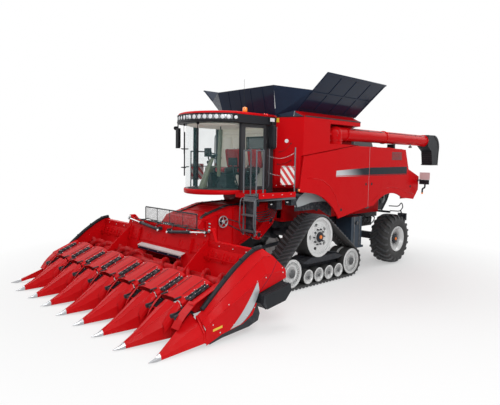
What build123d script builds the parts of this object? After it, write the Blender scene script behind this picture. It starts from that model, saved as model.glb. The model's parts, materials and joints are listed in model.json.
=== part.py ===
from build123d import *
import math
import os

"""Combine harvester on front tracks, with a folding eight-row maize header.

Millimetres. While modelling, +X is the machine's left, +Y its rear and +Z up;
Y = 0 is the front (track) axle and Z = 0 the ground. The finished nodes are
moved so that the origin is the bottom centre of the whole machine's box.
Pieces of the left side are modelled once and mirrored for the right side.
"""

# ------------------------------------------------------------------ clearances
SEAT = 0.3          # between curved faces that seat on each other
RUN = 8.0           # between bodies that move past each other
PIN_FIT = 0.4       # round a pin, a shaft or an axle

# ------------------------------------------------------------------ track units
TRACK_IN, TRACK_OUT = 1140, 1750          # belt's inner and outer edges, X
BELT_THICK = 60                           # carcass and lugs together
AXLE_Z = 1175
DRIVE_R = 497
IDLER_R = 341
ROLLER_R = 180
IDLER_Y = (-1006, 1350)
ROLLER_Y = (-400, 0, 400, 800)
WHEEL_INSET = 40                          # wheels stand in from the belt's edges
DRIVE_FACE = 1650                         # outer face of the drive wheel's dish, X
DRIVE_SLOTS = 5
SLOT_AT = 300                             # slots' distance from the wheel's axis
SLOT_R = 36
SLOT_HALF = 26                            # half the straight part of a slot
FRAME_WEB = 54                            # middle plate of the track frame
WEB_GAP = 8
UPRIGHT_THICK = 26
FINAL_DRIVE_R = 150
DRIVE_SHAFT_R = 60

# ------------------------------------------------------------------ frame and axles
RAIL_IN, RAIL_OUT = 480, 580
RAIL_Z = (1300, 1480)
RAIL_Y = (-420, 4300)
CROSS_Y = (-330, 1150, 2350, 3770)
CROSS_LEN = 120
AXLE_BEAM_R = 120
REAR_AXLE_Y = 3830
TYRE_R = 735
TYRE_WIDE = 590
TYRE_MID = 1365                           # tyre's middle plane, X
RIM_R = 375
KINGPIN_X = 930
KINGPIN_R = 35
AXLE_END_R = 75
AXLE_END_HIGH = 200
FORK_THICK = 50
SPINDLE_R = 55

# ------------------------------------------------------------------ body and tank
BODY_HALF = 780
BODY_Y = (-360, 4080)
BODY_TOP = 2560
BODY_WALL = 20
PANEL_IN, PANEL_OUT = 1580, 1620          # side panels, X
PANEL_TOP_FRONT = (-570, 3130)
PANEL_TOP_KNEE = (1520, 3440)
PANEL_SEAM = 2200
PANEL_HINGE_IN = 4                        # hinge line behind the panels' outer face
PANEL_TUBE_R = 8
SEAM_GAP = 16
LOWER_HALF = 1540                         # body behind the side panels, X
TANK_HALF = 1600
TANK_NOSE_HALF = 950
TANK_Y = (-870, 1900)
TANK_CORNER_Y = (-590, 1720)
TANK_TAIL_HALF = 1300
TANK_TOP = 4060
TANK_WALL = 12
TANK_FLOOR = 2580
SKIRT_LOW = 2370
POCKET_X = 1210                           # recess for the unloading auger
POCKET_Y = 420
POCKET_Z = (3460, 3955)
RIM_HINGE = (1320, 4215)                  # cover hinge, X and Z
COVER_LONG = 1195
COVER_TILT = 40.5                         # degrees above level when open
COVER_Y = (-560, 1880)
COVER_THICK = 12
COVER_TUBE_R = 14
FLAP_HIGH = 720
FLAP_LEAN = 14                            # degrees outward when open
FLAP_HALF = (925, 1020)                   # at its hinge and at its top
FLAP_THICK = 10
FLAP_HINGE_UP = 18                        # hinge line above the tank's edge
FLAP_TUBE_R = 13
FLAP_PIN_R = 6
GUSSET_GAP = 5
GUSSET_THICK = 5
GUSSET_ALONG = 0.55                       # how far up the cover's edge it reaches
DECK_Z = (3380, 3430)
DECK_Y = (1925, 4075)
ENGINE_BOX = (520, 2500, 3760, 2585, 3300)    # half width, Y from, Y to, Z from, Z to
HOOD_HALF = 1530
HOOD_WALL = 15

# ------------------------------------------------------------------ unloading auger
AUGER_PIVOT = (1430, 840)
AUGER_Z = 3735
AUGER_R = 170
AUGER_ELBOW_R = 185
AUGER_END_Y = 5700
AUGER_WALL = 6

# ------------------------------------------------------------------ cab and platform
CAB_FLOOR = (2250, 2330)
CAB_CEILING = 3850
CAB_BEAM_OUT = 840
CAB_BEAM_Y = -1800
ROOF_TOP = 4090
A_POST = (860, -1900)
C_POST = (950, -1160)
CAB_REAR = -930
NOSE_BULGE = 720                          # windscreen in front of the A posts
GLASS = 8
POST = 60
DOOR_HINGE_Z = (2560, 3440)
DOOR_HINGE_OUT = 8                        # hinge line outside the door's face
DOOR_KNUCKLE_R = 14
DOOR_PIN_R = 8
ROOF_HALF = 1010
ROOF_FRONT = -2120
ROOF_BULGE = 640
PLATFORM_X = (970, 1600)
PLATFORM_Y = (-2050, -640)
PLATFORM_Z = (2190, 2240)
RAIL_TUBE_R = 17
LADDER_X = (1200, 1560)
LADDER_LOW = 1370
LADDER_STEPS = (1480, 1830)               # tops of the treads, Z

# ------------------------------------------------------------------ feeder house
FEEDER_HALF = 690
FEEDER_WALL = 10
FEEDER_EAR = 26                           # plates that carry its pivot
TRUNNION_R = 70
TRUNNION_PIN_R = 30
FEEDER_PIVOT = (-420, 1880)
FEEDER_FRONT = -2860
LIFT_X = 620                              # lift cylinders, X
LIFT_BASE = (-60, 930)
LIFT_EYE = (-2150, 770)
LIFT_PIN_R = 25
LIFT_EYE_FREE = 8                         # round the pin in the rod's opened eye
LIFT_EYE_R = 50

# ------------------------------------------------------------------ header
ROW_PITCH = 750
CENTRE_ROWS, WING_ROWS = 4, 2
FOLD_X = CENTRE_ROWS * ROW_PITCH / 2      # joint between centre and wings, X
BEAM_Z = (1420, 1550)
WING_BEAM_Z = (1270, 1400)
TOOLBAR_Z = (500, 620)
FOLD_Z = BEAM_Z[1] + 50
FOLD_PIN_X = FOLD_X + 40
FOLD_EARS = ((-3335, -3305), (-3225, -3195))  # Y of the centre's hinge ears
FOLD_PIN_R = 25
SPLIT_GAP = 10
HEADER_BACK = -3300
AUGER_TROUGH = (-3740, 770)
TROUGH_R = 250
TROUGH_WALL = 8
CROSS_AUGER_R = 205
CROSS_AUGER_CORE = 90
AUGER_SHAFT_R = 45
THROAT_Z = (620, 960)
SCREEN_HALF = 1000
DEFLECTOR_HALF = 860                      # plate above the throat
HOOD_REAR_Y = -4010
SNOUT_TIP_Y = -5810
SNOUT_REAR_Y = -4930
ROW_ARM_OUT = 80
SNOUT_HALF = ROW_PITCH / 2 - ROW_ARM_OUT - SEAT
END_SETBACK = 160                         # end dividers' tips stand further back
DIVIDER_FOLD = FOLD_X + ROW_PITCH * WING_ROWS  # fold between an end divider's top and outer face, X
DIVIDER_IN = DIVIDER_FOLD - 120           # end dividers' inner side, X
END_X = DIVIDER_FOLD + 110                # outer face of the end dividers
GEARBOX_OUT = DIVIDER_FOLD + 240
DIVIDER_SKIN = 12

NODES = {}


# ------------------------------------------------------------------ shape helpers
def block(x0, x1, y0, y1, z0, z1):
    """A box given by its faces."""
    return Pos((x0 + x1) / 2, (y0 + y1) / 2, (z0 + z1) / 2) * Box(x1 - x0, y1 - y0, z1 - z0)


def rod(start, end, radius):
    """A round bar between two points."""
    along = Vector(*end) - Vector(*start)
    bar = Cylinder(radius, along.length, align=(Align.CENTER, Align.CENTER, Align.MIN))
    return Plane(origin=start, z_dir=along) * bar


def disc(x0, x1, y, z, radius, bore=0):
    """A disc or ring whose axis is parallel to X."""
    shape = rod((x0, y, z), (x1, y, z), radius)
    return shape - rod((x0 - 1, y, z), (x1 + 1, y, z), bore) if bore else shape


def bent_bar(points, radius):
    """Straight round bars joined by balls, as a handrail's corners."""
    shape = rod(points[0], points[1], radius)
    for here, there in zip(points[1:], points[2:]):
        shape += Pos(*here) * Sphere(radius) + rod(here, there, radius)
    return shape


PLACE = {"yz": lambda u, v, w: (w, u, v), "xz": lambda u, v, w: (u, w, v), "xy": lambda u, v, w: (u, v, w)}
NORMAL = {"yz": (1, 0, 0), "xz": (0, 1, 0), "xy": (0, 0, 1)}


def prism(plane, low, high, start, *moves):
    """Extrude a closed outline from low to high along the plane's normal.

    A move is (u, v) for a straight edge, or ((mid u, mid v), (u, v)) for an arc.
    """
    place = PLACE[plane]
    edges, here = [], start
    for move in (*moves, start):
        if isinstance(move[0], tuple):
            middle, end = move
            edges.append(Edge.make_three_point_arc(place(*here, low), place(*middle, low), place(*end, low)))
        else:
            end = move
            if math.dist(here, end) > 1e-6:
                edges.append(Edge.make_line(place(*here, low), place(*end, low)))
        here = end
    return Solid.extrude(Face(Wire(edges)), Vector(*NORMAL[plane]) * (high - low))


def sheet(corners, thickness):
    """A flat sheet on three or more corners, thickened along its normal."""
    face = Face(Wire.make_polygon([Vector(*corner) for corner in corners], close=True))
    return Solid.extrude(face, face.normal_at() * thickness)


def flipped(shape):
    """The same piece on the other side of the machine."""
    return mirror(shape, about=Plane.YZ)


def pair(shape):
    """A piece and its copy on the right side."""
    return [shape, flipped(shape)]


def add(name, *shapes):
    """Store the solids of one node."""
    solids = []
    for shape in shapes:
        for item in shape if isinstance(shape, list) else [shape]:
            solids.extend(item.solids())
    NODES.setdefault(name, []).extend(solids)


def add_sides(name, *shapes):
    """Store left_name and its mirror image right_name."""
    add("left_" + name, *shapes)
    add("right_" + name, *[flipped(shape) for shape in shapes])


# ------------------------------------------------------------------ track units
def track_wheels():
    """(Y, Z, radius) of every wheel that the belt runs round."""
    idlers = [(y, BELT_THICK + IDLER_R, IDLER_R) for y in IDLER_Y]
    return [(0, AXLE_Z, DRIVE_R)] + idlers


def belt_loop(extra):
    """The belt's outline at a distance from the wheels' rims."""
    circles = [Pos(y, z) * Circle(radius + extra) for y, z, radius in track_wheels()]
    return make_hull([edge for circle in circles for edge in circle.edges()])


def track_units():
    loop = belt_loop(BELT_THICK) - belt_loop(SEAT)
    add_sides("track_belt", extrude(Plane.YZ.offset(TRACK_IN) * loop, TRACK_OUT - TRACK_IN))

    inner, outer = TRACK_IN + WHEEL_INSET, TRACK_OUT - WHEEL_INSET
    drive = disc(inner, outer, 0, AXLE_Z, DRIVE_R - SEAT, DRIVE_R - 60)
    dish = disc(DRIVE_FACE - 40, DRIVE_FACE, 0, AXLE_Z, DRIVE_R - 50)
    for index in range(DRIVE_SLOTS):
        turn = math.radians(360 / DRIVE_SLOTS * index + 18)
        slot = disc(DRIVE_FACE - 60, DRIVE_FACE + 20, SLOT_HALF, 0, SLOT_R)
        slot += disc(DRIVE_FACE - 60, DRIVE_FACE + 20, -SLOT_HALF, 0, SLOT_R)
        slot += block(DRIVE_FACE - 60, DRIVE_FACE + 20, -SLOT_HALF, SLOT_HALF, -SLOT_R, SLOT_R)
        dish -= Pos(0, 0, AXLE_Z) * Rot(math.degrees(turn), 0, 0) * Pos(0, 0, SLOT_AT) * slot
    drive = drive + dish + disc(DRIVE_FACE - 110, DRIVE_FACE + 40, 0, AXLE_Z, 125)
    drive -= disc(inner, DRIVE_FACE, 0, AXLE_Z, DRIVE_SHAFT_R + PIN_FIT)
    add("drive_wheels", pair(drive))

    web_mid = (inner + outer) / 2
    web_in, web_out = web_mid - FRAME_WEB / 2, web_mid + FRAME_WEB / 2
    wheels = [(y, BELT_THICK + IDLER_R, IDLER_R, 48) for y in IDLER_Y]
    wheels += [(y, BELT_THICK + ROLLER_R, ROLLER_R, 32) for y in ROLLER_Y]
    rollers, web_holes = [], []
    for y, z, radius, shaft in wheels:
        rim = radius - SEAT
        wheel = disc(inner, web_in - WEB_GAP, y, z, rim) + disc(web_out + WEB_GAP, outer, y, z, rim)
        groove, hub = radius * 0.82, radius * 0.3
        wheel -= disc(outer - 45, outer + 1, y, z, groove) - disc(outer - 45, outer, y, z, hub)
        wheel -= disc(inner - 1, inner + 60, y, z, groove) - disc(inner, inner + 60, y, z, hub)
        rollers.append(wheel + disc(inner, outer, y, z, shaft))
        web_holes.append(disc(web_in - 1, web_out + 1, y, z, shaft + PIN_FIT))
    add("track_rollers", *[pair(roller) for roller in rollers])

    idler_z = BELT_THICK + IDLER_R
    web = prism("yz", web_in, web_out, (-1090, idler_z - 70), (-480, 165), (880, 165), (1435, idler_z - 70),
                (1435, idler_z + 80), (900, 650), (-560, 650), (-1090, idler_z + 80))
    for hole in web_holes:
        web -= hole
    upright_in = inner - UPRIGHT_THICK - 6
    beam = block(upright_in, web_in, -60, 460, 470, 600)
    upright = prism("yz", upright_in, upright_in + UPRIGHT_THICK, (-180, 470), (560, 470), (190, 1250),
                    ((0, 1370), (-190, 1250)))
    upright -= disc(upright_in - 1, inner, 0, AXLE_Z, FINAL_DRIVE_R + PIN_FIT)
    add("track_frames", pair(web + beam + upright))


# ------------------------------------------------------------------ chassis
def chassis():
    frame = pair(block(RAIL_IN, RAIL_OUT, *RAIL_Y, *RAIL_Z))
    shape = frame[0] + frame[1]
    for y in CROSS_Y:
        shape += block(-RAIL_IN, RAIL_IN, y, y + CROSS_LEN, *RAIL_Z)
    rear_z = TYRE_R + 105
    shape += block(-220, 220, CROSS_Y[-1], CROSS_Y[-1] + CROSS_LEN, rear_z, RAIL_Z[0])
    add("main_frame", shape)

    final_in = 900
    wheel_in = TRACK_IN + WHEEL_INSET
    axle = disc(-final_in, final_in, 0, AXLE_Z, AXLE_BEAM_R) + disc(-190, 190, 0, AXLE_Z - 20, 210)
    for side in (-1, 1):
        low, high = sorted((side * final_in, side * (wheel_in - 2)))
        axle += disc(low, high, 0, AXLE_Z, FINAL_DRIVE_R)
        low, high = sorted((side * (wheel_in - 2), side * (DRIVE_FACE - 4)))
        axle += disc(low, high, 0, AXLE_Z, DRIVE_SHAFT_R)
        low, high = sorted((side * RAIL_IN, side * RAIL_OUT))
        axle += block(low, high, -110, 110, AXLE_Z, RAIL_Z[0])
    for side in (-1, 1):
        low, high = sorted((side * (LIFT_X - 60), side * (LIFT_X + 60)))
        lug = prism("yz", low, high, (-100, AXLE_Z), (100, AXLE_Z), (LIFT_BASE[0] + 60, LIFT_BASE[1] - 50),
                    (LIFT_BASE[0] - 60, LIFT_BASE[1] - 50))
        mid = side * LIFT_X
        axle += lug - block(mid - 38, mid + 38, -400, 400, 800, AXLE_Z - AXLE_BEAM_R - 5)
        axle -= disc(mid - 70, mid + 70, *LIFT_BASE, LIFT_PIN_R + PIN_FIT)
    add("front_axle", axle)

    body = block(-BODY_HALF, BODY_HALF, *BODY_Y, RAIL_Z[1], BODY_TOP)
    body -= block(-BODY_HALF + BODY_WALL, BODY_HALF - BODY_WALL, BODY_Y[0] + BODY_WALL,
                  BODY_Y[1] - BODY_WALL, RAIL_Z[1] + BODY_WALL, BODY_TOP - BODY_WALL)
    body -= block(-BODY_HALF + 60, BODY_HALF - 60, BODY_Y[0] - 1, BODY_Y[0] + BODY_WALL + 1, 1560, 2100)
    body -= block(-BODY_HALF + 60, BODY_HALF - 60, BODY_Y[1] - BODY_WALL - 1, BODY_Y[1] + 1, 1600, 2400)
    x0, x1 = FEEDER_HALF + FEEDER_EAR + 6, BODY_HALF - BODY_WALL - 10
    y, z = FEEDER_PIVOT
    cheek = block(x0, x1, y - 80, BODY_Y[0] + BODY_WALL / 2, z - 100, z + 110)
    cheek += disc(FEEDER_HALF + FEEDER_EAR + SEAT, x1 - 1, y, z, TRUNNION_R - 16)
    cheek += disc(FEEDER_HALF - 6, x1 - 2, y, z, TRUNNION_PIN_R)
    add("threshing_body", body + cheek + flipped(cheek))

    tank_box = block(640, 1180, 2080, 2600, 620, RAIL_Z[1] - 10)
    tank_box += block(RAIL_OUT, 660, 2150, 2550, 1320, RAIL_Z[1] - 20)
    skid = block(760, 1200, 2060, 2680, 560, 620)
    add("fuel_tank", tank_box + skid)


def rear_axle():
    y, z = REAR_AXLE_Y, TYRE_R
    beam = block(-KINGPIN_X + 40, KINGPIN_X - 40, y - 80, y + 80, z - 95, z + 105)
    beam += block(-220, 220, y - 100, y + 100, z - 105, z + 105)
    for side in (-1, 1):
        x = side * KINGPIN_X
        beam += rod((x, y, z - AXLE_END_HIGH / 2), (x, y, z + AXLE_END_HIGH / 2), AXLE_END_R)
        beam -= rod((x, y, z - 200), (x, y, z + 200), KINGPIN_R + PIN_FIT)
    barrel = rod((-330, y + 190, z), (330, y + 190, z), 55)
    rams = rod((-640, y + 190, z), (640, y + 190, z), 25)
    clamp = block(-60, 60, y + 80, y + 150, z - 60, z + 60)
    add("rear_axle_beam", beam + clamp + barrel + rams)

    x = KINGPIN_X
    fork_z = AXLE_END_HIGH / 2 + 6
    knuckle = rod((x, y, z - fork_z - FORK_THICK), (x, y, z + fork_z + FORK_THICK), KINGPIN_R)
    for low in (-fork_z - FORK_THICK, fork_z):
        arm = block(x, x + 130, y - 70, y + 70, z + low, z + low + FORK_THICK)
        knuckle += arm + rod((x, y, z + low), (x, y, z + low + FORK_THICK), 70)
    web_in = x + AXLE_END_R + RUN
    knuckle += block(web_in, web_in + 40, y - 90, y + 90, z - fork_z - FORK_THICK, z + fork_z + FORK_THICK)
    knuckle += disc(web_in + 20, TYRE_MID + 30, y, z, SPINDLE_R)
    knuckle += disc(web_in + 40, web_in + 90, y, z, 150)
    add_sides("steering_knuckle", knuckle)

    half = TYRE_WIDE / 2
    low, high = TYRE_MID - half, TYRE_MID + half
    profile = prism("xz", 0, 1, (low + 60, RIM_R), (low, RIM_R + 90),
                    ((low + 12, TYRE_R - 130), (low + 70, TYRE_R - 25)),
                    ((TYRE_MID, TYRE_R), (high - 70, TYRE_R - 25)),
                    ((high - 12, TYRE_R - 130), (high, RIM_R + 90)),
                    (high - 60, RIM_R))
    section = profile.faces().sort_by(Axis.Y)[0]
    tyre = revolve(section, axis=Axis((0, 0, 0), (1, 0, 0)), revolution_arc=360)
    add_sides("rear_tyre", Pos(0, y, z) * tyre)

    rim = disc(low + 20, high - 20, y, z, RIM_R - SEAT, RIM_R - 22)
    rim += disc(TYRE_MID - 10, TYRE_MID + 12, y, z, RIM_R - 15, 100)
    hub = disc(TYRE_MID - 90, TYRE_MID + 70, y, z, 120)
    rim += hub - disc(TYRE_MID - 100, TYRE_MID + 40, y, z, SPINDLE_R + PIN_FIT)
    add_sides("rear_rim", rim)


# ------------------------------------------------------------------ body panels and grain tank
def panel_top(y, lift=0.0):
    """Height of the side panels' sloping top edge."""
    (y0, z0), (y1, z1) = PANEL_TOP_FRONT, PANEL_TOP_KNEE
    return z0 + (z1 - z0) * (y - y0) / (y1 - y0) + lift


def side_panels():
    seam = SEAM_GAP / 2
    front = prism("yz", PANEL_IN, PANEL_OUT, (-710, 2290), PANEL_TOP_FRONT, PANEL_TOP_KNEE,
                  (PANEL_SEAM - seam, PANEL_TOP_KNEE[1]), (PANEL_SEAM - seam, 1790), (850, 1560),
                  ((390, 2010), (-300, 2255)))
    rear = prism("yz", PANEL_IN, PANEL_OUT, (PANEL_SEAM + seam, 1790),
                 (PANEL_SEAM + seam, PANEL_TOP_KNEE[1]), (3280, 3440), (4140, 3410), (4360, 2830),
                 (5020, 2600),
                 (5000, 2190), (4730, 1900), (4040, 1970),
                 ((3250, 2120), (2480, 1800)))
    x = PANEL_OUT - PANEL_HINGE_IN
    tubes = {"front_panel": ((-300, -140), (1150, 1310)), "rear_panel": ((2350, 2510), (3050, 3210))}
    for name, panel in (("front_panel", front), ("rear_panel", rear)):
        skin = panel.edges().filter_by(lambda edge: edge.center().X > PANEL_OUT - 1)
        panel = chamfer(skin, 8)
        for y0, y1 in tubes[name]:
            z0, z1 = (panel_top(y0), panel_top(y1)) if name == "front_panel" else (PANEL_TOP_KNEE[1],) * 2
            panel += rod((x, y0, z0), (x, y1, z1), PANEL_TUBE_R)
        add_sides(name, panel)


def tank_plan(inset, low, high):
    """The grain tank's plan outline as a prism, its walls moved in by inset."""
    nose, tail = TANK_NOSE_HALF - inset * 0.5, TANK_TAIL_HALF - inset * 0.5
    half, front, rear = TANK_HALF - inset, TANK_Y[0] + inset, TANK_Y[1] - inset
    corner_front, corner_rear = TANK_CORNER_Y[0] + inset * 0.6, TANK_CORNER_Y[1] - inset * 0.6
    return prism("xy", low, high, (nose, front), (half, corner_front), (half, corner_rear), (tail, rear),
                 (-tail, rear), (-half, corner_rear), (-half, corner_front), (-nose, front))


def tank_hollows(grow):
    """The auger's pocket and the rebates behind the side panels, grown by grow."""
    pocket = block(POCKET_X - grow, 2000, POCKET_Y - grow, 2200, POCKET_Z[0] - grow, POCKET_Z[1] + grow)
    y0, y1 = TANK_Y[0] - 30, 2200
    knee = PANEL_TOP_KNEE[0]
    rebate = prism("yz", LOWER_HALF - grow, 1800, (y0, 2300), (y0, panel_top(y0, 18 + grow)),
                   (knee, panel_top(knee, 18 + grow)), (y1, panel_top(knee, 18 + grow)), (y1, 2300))
    return pocket + rebate + flipped(rebate)


def grain_tank():
    tank = tank_plan(0, TANK_FLOOR, TANK_TOP) - tank_hollows(0)
    tank -= tank_plan(TANK_WALL, TANK_FLOOR + TANK_WALL, TANK_TOP + 10) - tank_hollows(TANK_WALL)
    skirt = tank_plan(0, SKIRT_LOW, TANK_FLOOR) - tank_plan(TANK_WALL, SKIRT_LOW - 1, TANK_FLOOR + 1)
    skirt -= block(-BODY_HALF - 10, BODY_HALF + 10, -2000, 3000, 2000, TANK_FLOOR + 1)
    skirt -= block(-2000, 2000, TANK_CORNER_Y[0] - 10, 3000, 2000, TANK_FLOOR + 1)
    skirt -= tank_hollows(0)
    hinge_x, hinge_z = RIM_HINGE
    slope = prism("xz", COVER_Y[0], TANK_CORNER_Y[1], (TANK_HALF, TANK_TOP), (TANK_HALF, TANK_TOP + 16),
                  (hinge_x + 12, hinge_z - COVER_TUBE_R - SEAT),
                  (hinge_x - 14, hinge_z - COVER_TUBE_R - SEAT), (hinge_x - 14, hinge_z - 44),
                  (TANK_HALF - 24, TANK_TOP))
    saddle = block(-BODY_HALF, BODY_HALF, -200, 1800, BODY_TOP, TANK_FLOOR)
    add("grain_tank", tank, skirt, pair(slope), saddle)


def cover_plate():
    """The left tank cover, open, its hinge edge beside the rim."""
    hinge_x, hinge_z = RIM_HINGE
    plate = block(10, COVER_LONG, *COVER_Y, 0, COVER_THICK)
    plate += block(COVER_LONG - 30, COVER_LONG, *COVER_Y, -18, COVER_THICK)
    plate += rod((0, COVER_Y[0], 0), (0, COVER_Y[1], 0), COVER_TUBE_R)
    return Pos(hinge_x, 0, hinge_z) * Rot(0, -COVER_TILT, 0) * plate


def flap_plate(hinge_y, direction):
    """An end extension sheet of the tank, leaning outward (direction -1 is forward)."""
    low, high = FLAP_HALF
    plate = prism("xz", 0, FLAP_THICK, (-low, 12), (low, 12), (high, FLAP_HIGH), (-high, FLAP_HIGH))
    plate += rod((-low, FLAP_THICK / 2, 0), (low, FLAP_THICK / 2, 0), FLAP_TUBE_R)
    plate -= rod((-low - 1, FLAP_THICK / 2, 0), (low + 1, FLAP_THICK / 2, 0), FLAP_PIN_R + PIN_FIT)
    lean = Pos(0, hinge_y, TANK_TOP + FLAP_HINGE_UP) * Rot(-direction * FLAP_LEAN, 0, 0)
    return lean * Pos(0, -FLAP_THICK / 2, 0) * plate


def flap_lug(hinge_y):
    """The left lug and pin that carry an end flap."""
    low, z = FLAP_HALF[0], TANK_TOP + FLAP_HINGE_UP
    lug = block(low + 1, low + 13, hinge_y - FLAP_TUBE_R, hinge_y + FLAP_TUBE_R, TANK_TOP, z + FLAP_TUBE_R)
    return lug + rod((low - 40, hinge_y, z), (low + 2, hinge_y, z), FLAP_PIN_R)


def gusset(hinge_y, cover_y, direction):
    """The folding sheet between an end flap and the left cover, as two triangles."""
    low, high = FLAP_HALF
    lean = FLAP_HIGH * math.tan(math.radians(FLAP_LEAN))
    flap_foot = (low + 16, hinge_y, TANK_TOP + 42)
    flap_tip = (high + GUSSET_GAP, hinge_y + direction * lean, TANK_TOP + FLAP_HIGH)
    reach = GUSSET_ALONG * COVER_LONG
    tilt = math.radians(COVER_TILT)
    edge_y = cover_y + direction * GUSSET_GAP
    cover_foot = (RIM_HINGE[0], edge_y, RIM_HINGE[1])
    cover_point = (RIM_HINGE[0] + reach * math.cos(tilt), edge_y, RIM_HINGE[1] + reach * math.sin(tilt))
    lower = sheet([flap_foot, cover_point, cover_foot], -direction * GUSSET_THICK)
    upper = sheet([flap_foot, flap_tip, cover_point], -direction * GUSSET_THICK)
    return lower + upper


def tank_covers():
    add_sides("tank_cover", cover_plate())
    for name, y, direction in (("front_flap", TANK_Y[0] + 14, -1), ("rear_flap", TANK_Y[1] - 14, 1)):
        add(name, flap_plate(y, direction))
        add("grain_tank", pair(flap_lug(y)))
    for name, y, cover_y, direction in (("front_gussets", TANK_Y[0] + 14, COVER_Y[0], -1),
                                        ("rear_gussets", TANK_Y[1] - 14, COVER_Y[1], 1)):
        add(name, pair(gusset(y, cover_y, direction)))


def engine_deck():
    x0, x1 = -LOWER_HALF, LOWER_HALF
    deck = block(x0, x1, *DECK_Y, *DECK_Z)
    bonnet = prism("xz", 2250, 3900, (-1150, DECK_Z[1]), (650, DECK_Z[1]), (560, 3700), (-1060, 3700))
    screen = disc(-1500, -1180, 2700, 3680, 250) - block(-1600, -1100, 2400, 3000, 3300, DECK_Z[1])
    rest = block(AUGER_PIVOT[0] - 130, AUGER_PIVOT[0] + 90, 3600, 3680, DECK_Z[1], AUGER_Z - AUGER_R - 6)
    add("engine_deck", deck, bonnet, screen, rest)

    half, y0, y1, z0, z1 = ENGINE_BOX
    engine = block(-half, half, y0, y1, z0, z1)
    engine += block(-half + 60, half - 60, y0 + 80, y1 - 80, BODY_TOP, z0)
    engine += block(-half + 60, half - 60, y0 + 200, y1 - 200, z1, DECK_Z[0])
    add("engine_block", engine)

    posts = []
    for y in (1980, 2950, 3980):
        post = block(LOWER_HALF - 60, LOWER_HALF, y, y + 60, 2260, DECK_Z[0])
        post += block(BODY_HALF, LOWER_HALF - 60, y, y + 60, 2260, 2320)
        posts += pair(post)
        if y > PANEL_SEAM:
            z = PANEL_TOP_KNEE[1]
            posts += pair(block(LOWER_HALF, PANEL_IN - SEAT, y, y + 60, z - 200, z - 120))
    for y in (-340, 900):
        posts += pair(block(BODY_HALF, LOWER_HALF, y, y + 60, 2500, TANK_FLOOR))
        z = panel_top(y)
        add("grain_tank", pair(block(LOWER_HALF, PANEL_IN - SEAT, y, y + 60, z - 200, z - 120)))
    add("main_frame", *posts)

    arch = prism("yz", 960, 1000, (-230, 2140), (60, 2150), (820, 1790), (760, 1700), (40, 2030),
                 (-230, 2060))
    arch += block(BODY_HALF, 960, -200, 0, 2070, 2130)
    add("main_frame", pair(arch))


def cab_beams():
    """Two beams that carry the cab and the platforms, along the threshing body's front."""
    beam = block(BODY_HALF, CAB_BEAM_OUT, CAB_BEAM_Y, -200, 2130, CAB_FLOOR[0])
    add("main_frame", pair(beam))


def rear_hood():
    outer = prism("yz", -HOOD_HALF, HOOD_HALF, (BODY_Y[1], 3370), (4105, 3370), (4310, 2850), (4960, 2600),
                  (4950, 2210), (4700, 1930), (BODY_Y[1], 1930))
    inner = prism("yz", -HOOD_HALF + HOOD_WALL, HOOD_HALF - HOOD_WALL, (BODY_Y[1] - 1, 3350), (4092, 3350),
                  (4296, 2838), (4945, 2588), (4935, 2216), (4690, 1900), (BODY_Y[1] - 1, 1900))
    front_wall = block(-HOOD_HALF, HOOD_HALF, BODY_Y[1], BODY_Y[1] + HOOD_WALL, 2420, 3370)
    hood = (outer - inner) + front_wall
    add("rear_hood", hood)

    hitch = block(-60, 60, RAIL_Y[1] - 60, 4560, 1080, 1110)
    hitch += block(-110, 110, RAIL_Y[1], RAIL_Y[1] + 40, 1050, 1480)
    hitch += block(-RAIL_OUT, RAIL_OUT, RAIL_Y[1], RAIL_Y[1] + 40, *RAIL_Z)
    hitch -= rod((0, 4500, 1000), (0, 4500, 1200), 20)
    add("main_frame", hitch)


# ------------------------------------------------------------------ unloading auger
def unloading_auger():
    x, y = AUGER_PIVOT
    foot = rod((x, y, POCKET_Z[0]), (x, y, POCKET_Z[0] + 70), AUGER_ELBOW_R)
    foot += rod((x, y, POCKET_Z[0]), (x, y, POCKET_Z[0] + 20), AUGER_ELBOW_R - 10)
    foot -= rod((x, y, POCKET_Z[0] - 1), (x, y, POCKET_Z[0] + 71), AUGER_ELBOW_R - 30)
    add("grain_tank", foot)

    z0 = POCKET_Z[0] + 70 + SEAT
    elbow = rod((x, y, z0), (x, y, AUGER_Z), AUGER_ELBOW_R) + Pos(x, y, AUGER_Z) * Sphere(AUGER_ELBOW_R)
    tube = rod((x, y, AUGER_Z), (x, AUGER_END_Y, AUGER_Z), AUGER_R)
    hollow = rod((x, y, z0 - 1), (x, y, AUGER_Z), AUGER_ELBOW_R - 30)
    hollow += Pos(x, y, AUGER_Z) * Sphere(AUGER_ELBOW_R - 30)
    hollow += rod((x, y, AUGER_Z), (x, AUGER_END_Y + 1, AUGER_Z), AUGER_R - AUGER_WALL)
    add("auger_tube", (elbow + tube) - hollow)

    end, half = AUGER_END_Y, AUGER_R + 2
    boot = prism("yz", x - half - 8, x + half + 8, (end - 150, AUGER_Z + half + 8),
                 (end + 240, AUGER_Z + half + 18), ((end + 560, AUGER_Z + 40), (end + 630, 3440)),
                 (end + 570, 2960), (end + 190, 2950),
                 (end + 110, 3400), (end - 150, AUGER_Z - half - 8))
    boot -= prism("yz", x - half, x + half, (end - 142, AUGER_Z + half), (end + 238, AUGER_Z + half + 10),
                  ((end + 552, AUGER_Z + 36), (end + 621, 3440)), (end + 560, 2940), (end + 200, 2940),
                  (end + 118, 3404), (end - 142, AUGER_Z - half))
    boot -= rod((x, end - 160, AUGER_Z), (x, end, AUGER_Z), AUGER_R + SEAT)
    add("auger_spout", boot)


# ------------------------------------------------------------------ cab
def cab_plan(low, high, inset=0.0):
    """The cab's plan with its bowed front, as a prism."""
    (ax, ay), (cx, _) = A_POST, C_POST
    return prism("xy", low, high, (cx - inset, CAB_REAR - inset), (ax - inset, ay),
                 ((0, ay - NOSE_BULGE + inset), (-ax + inset, ay)), (-cx + inset, CAB_REAR - inset))


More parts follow.
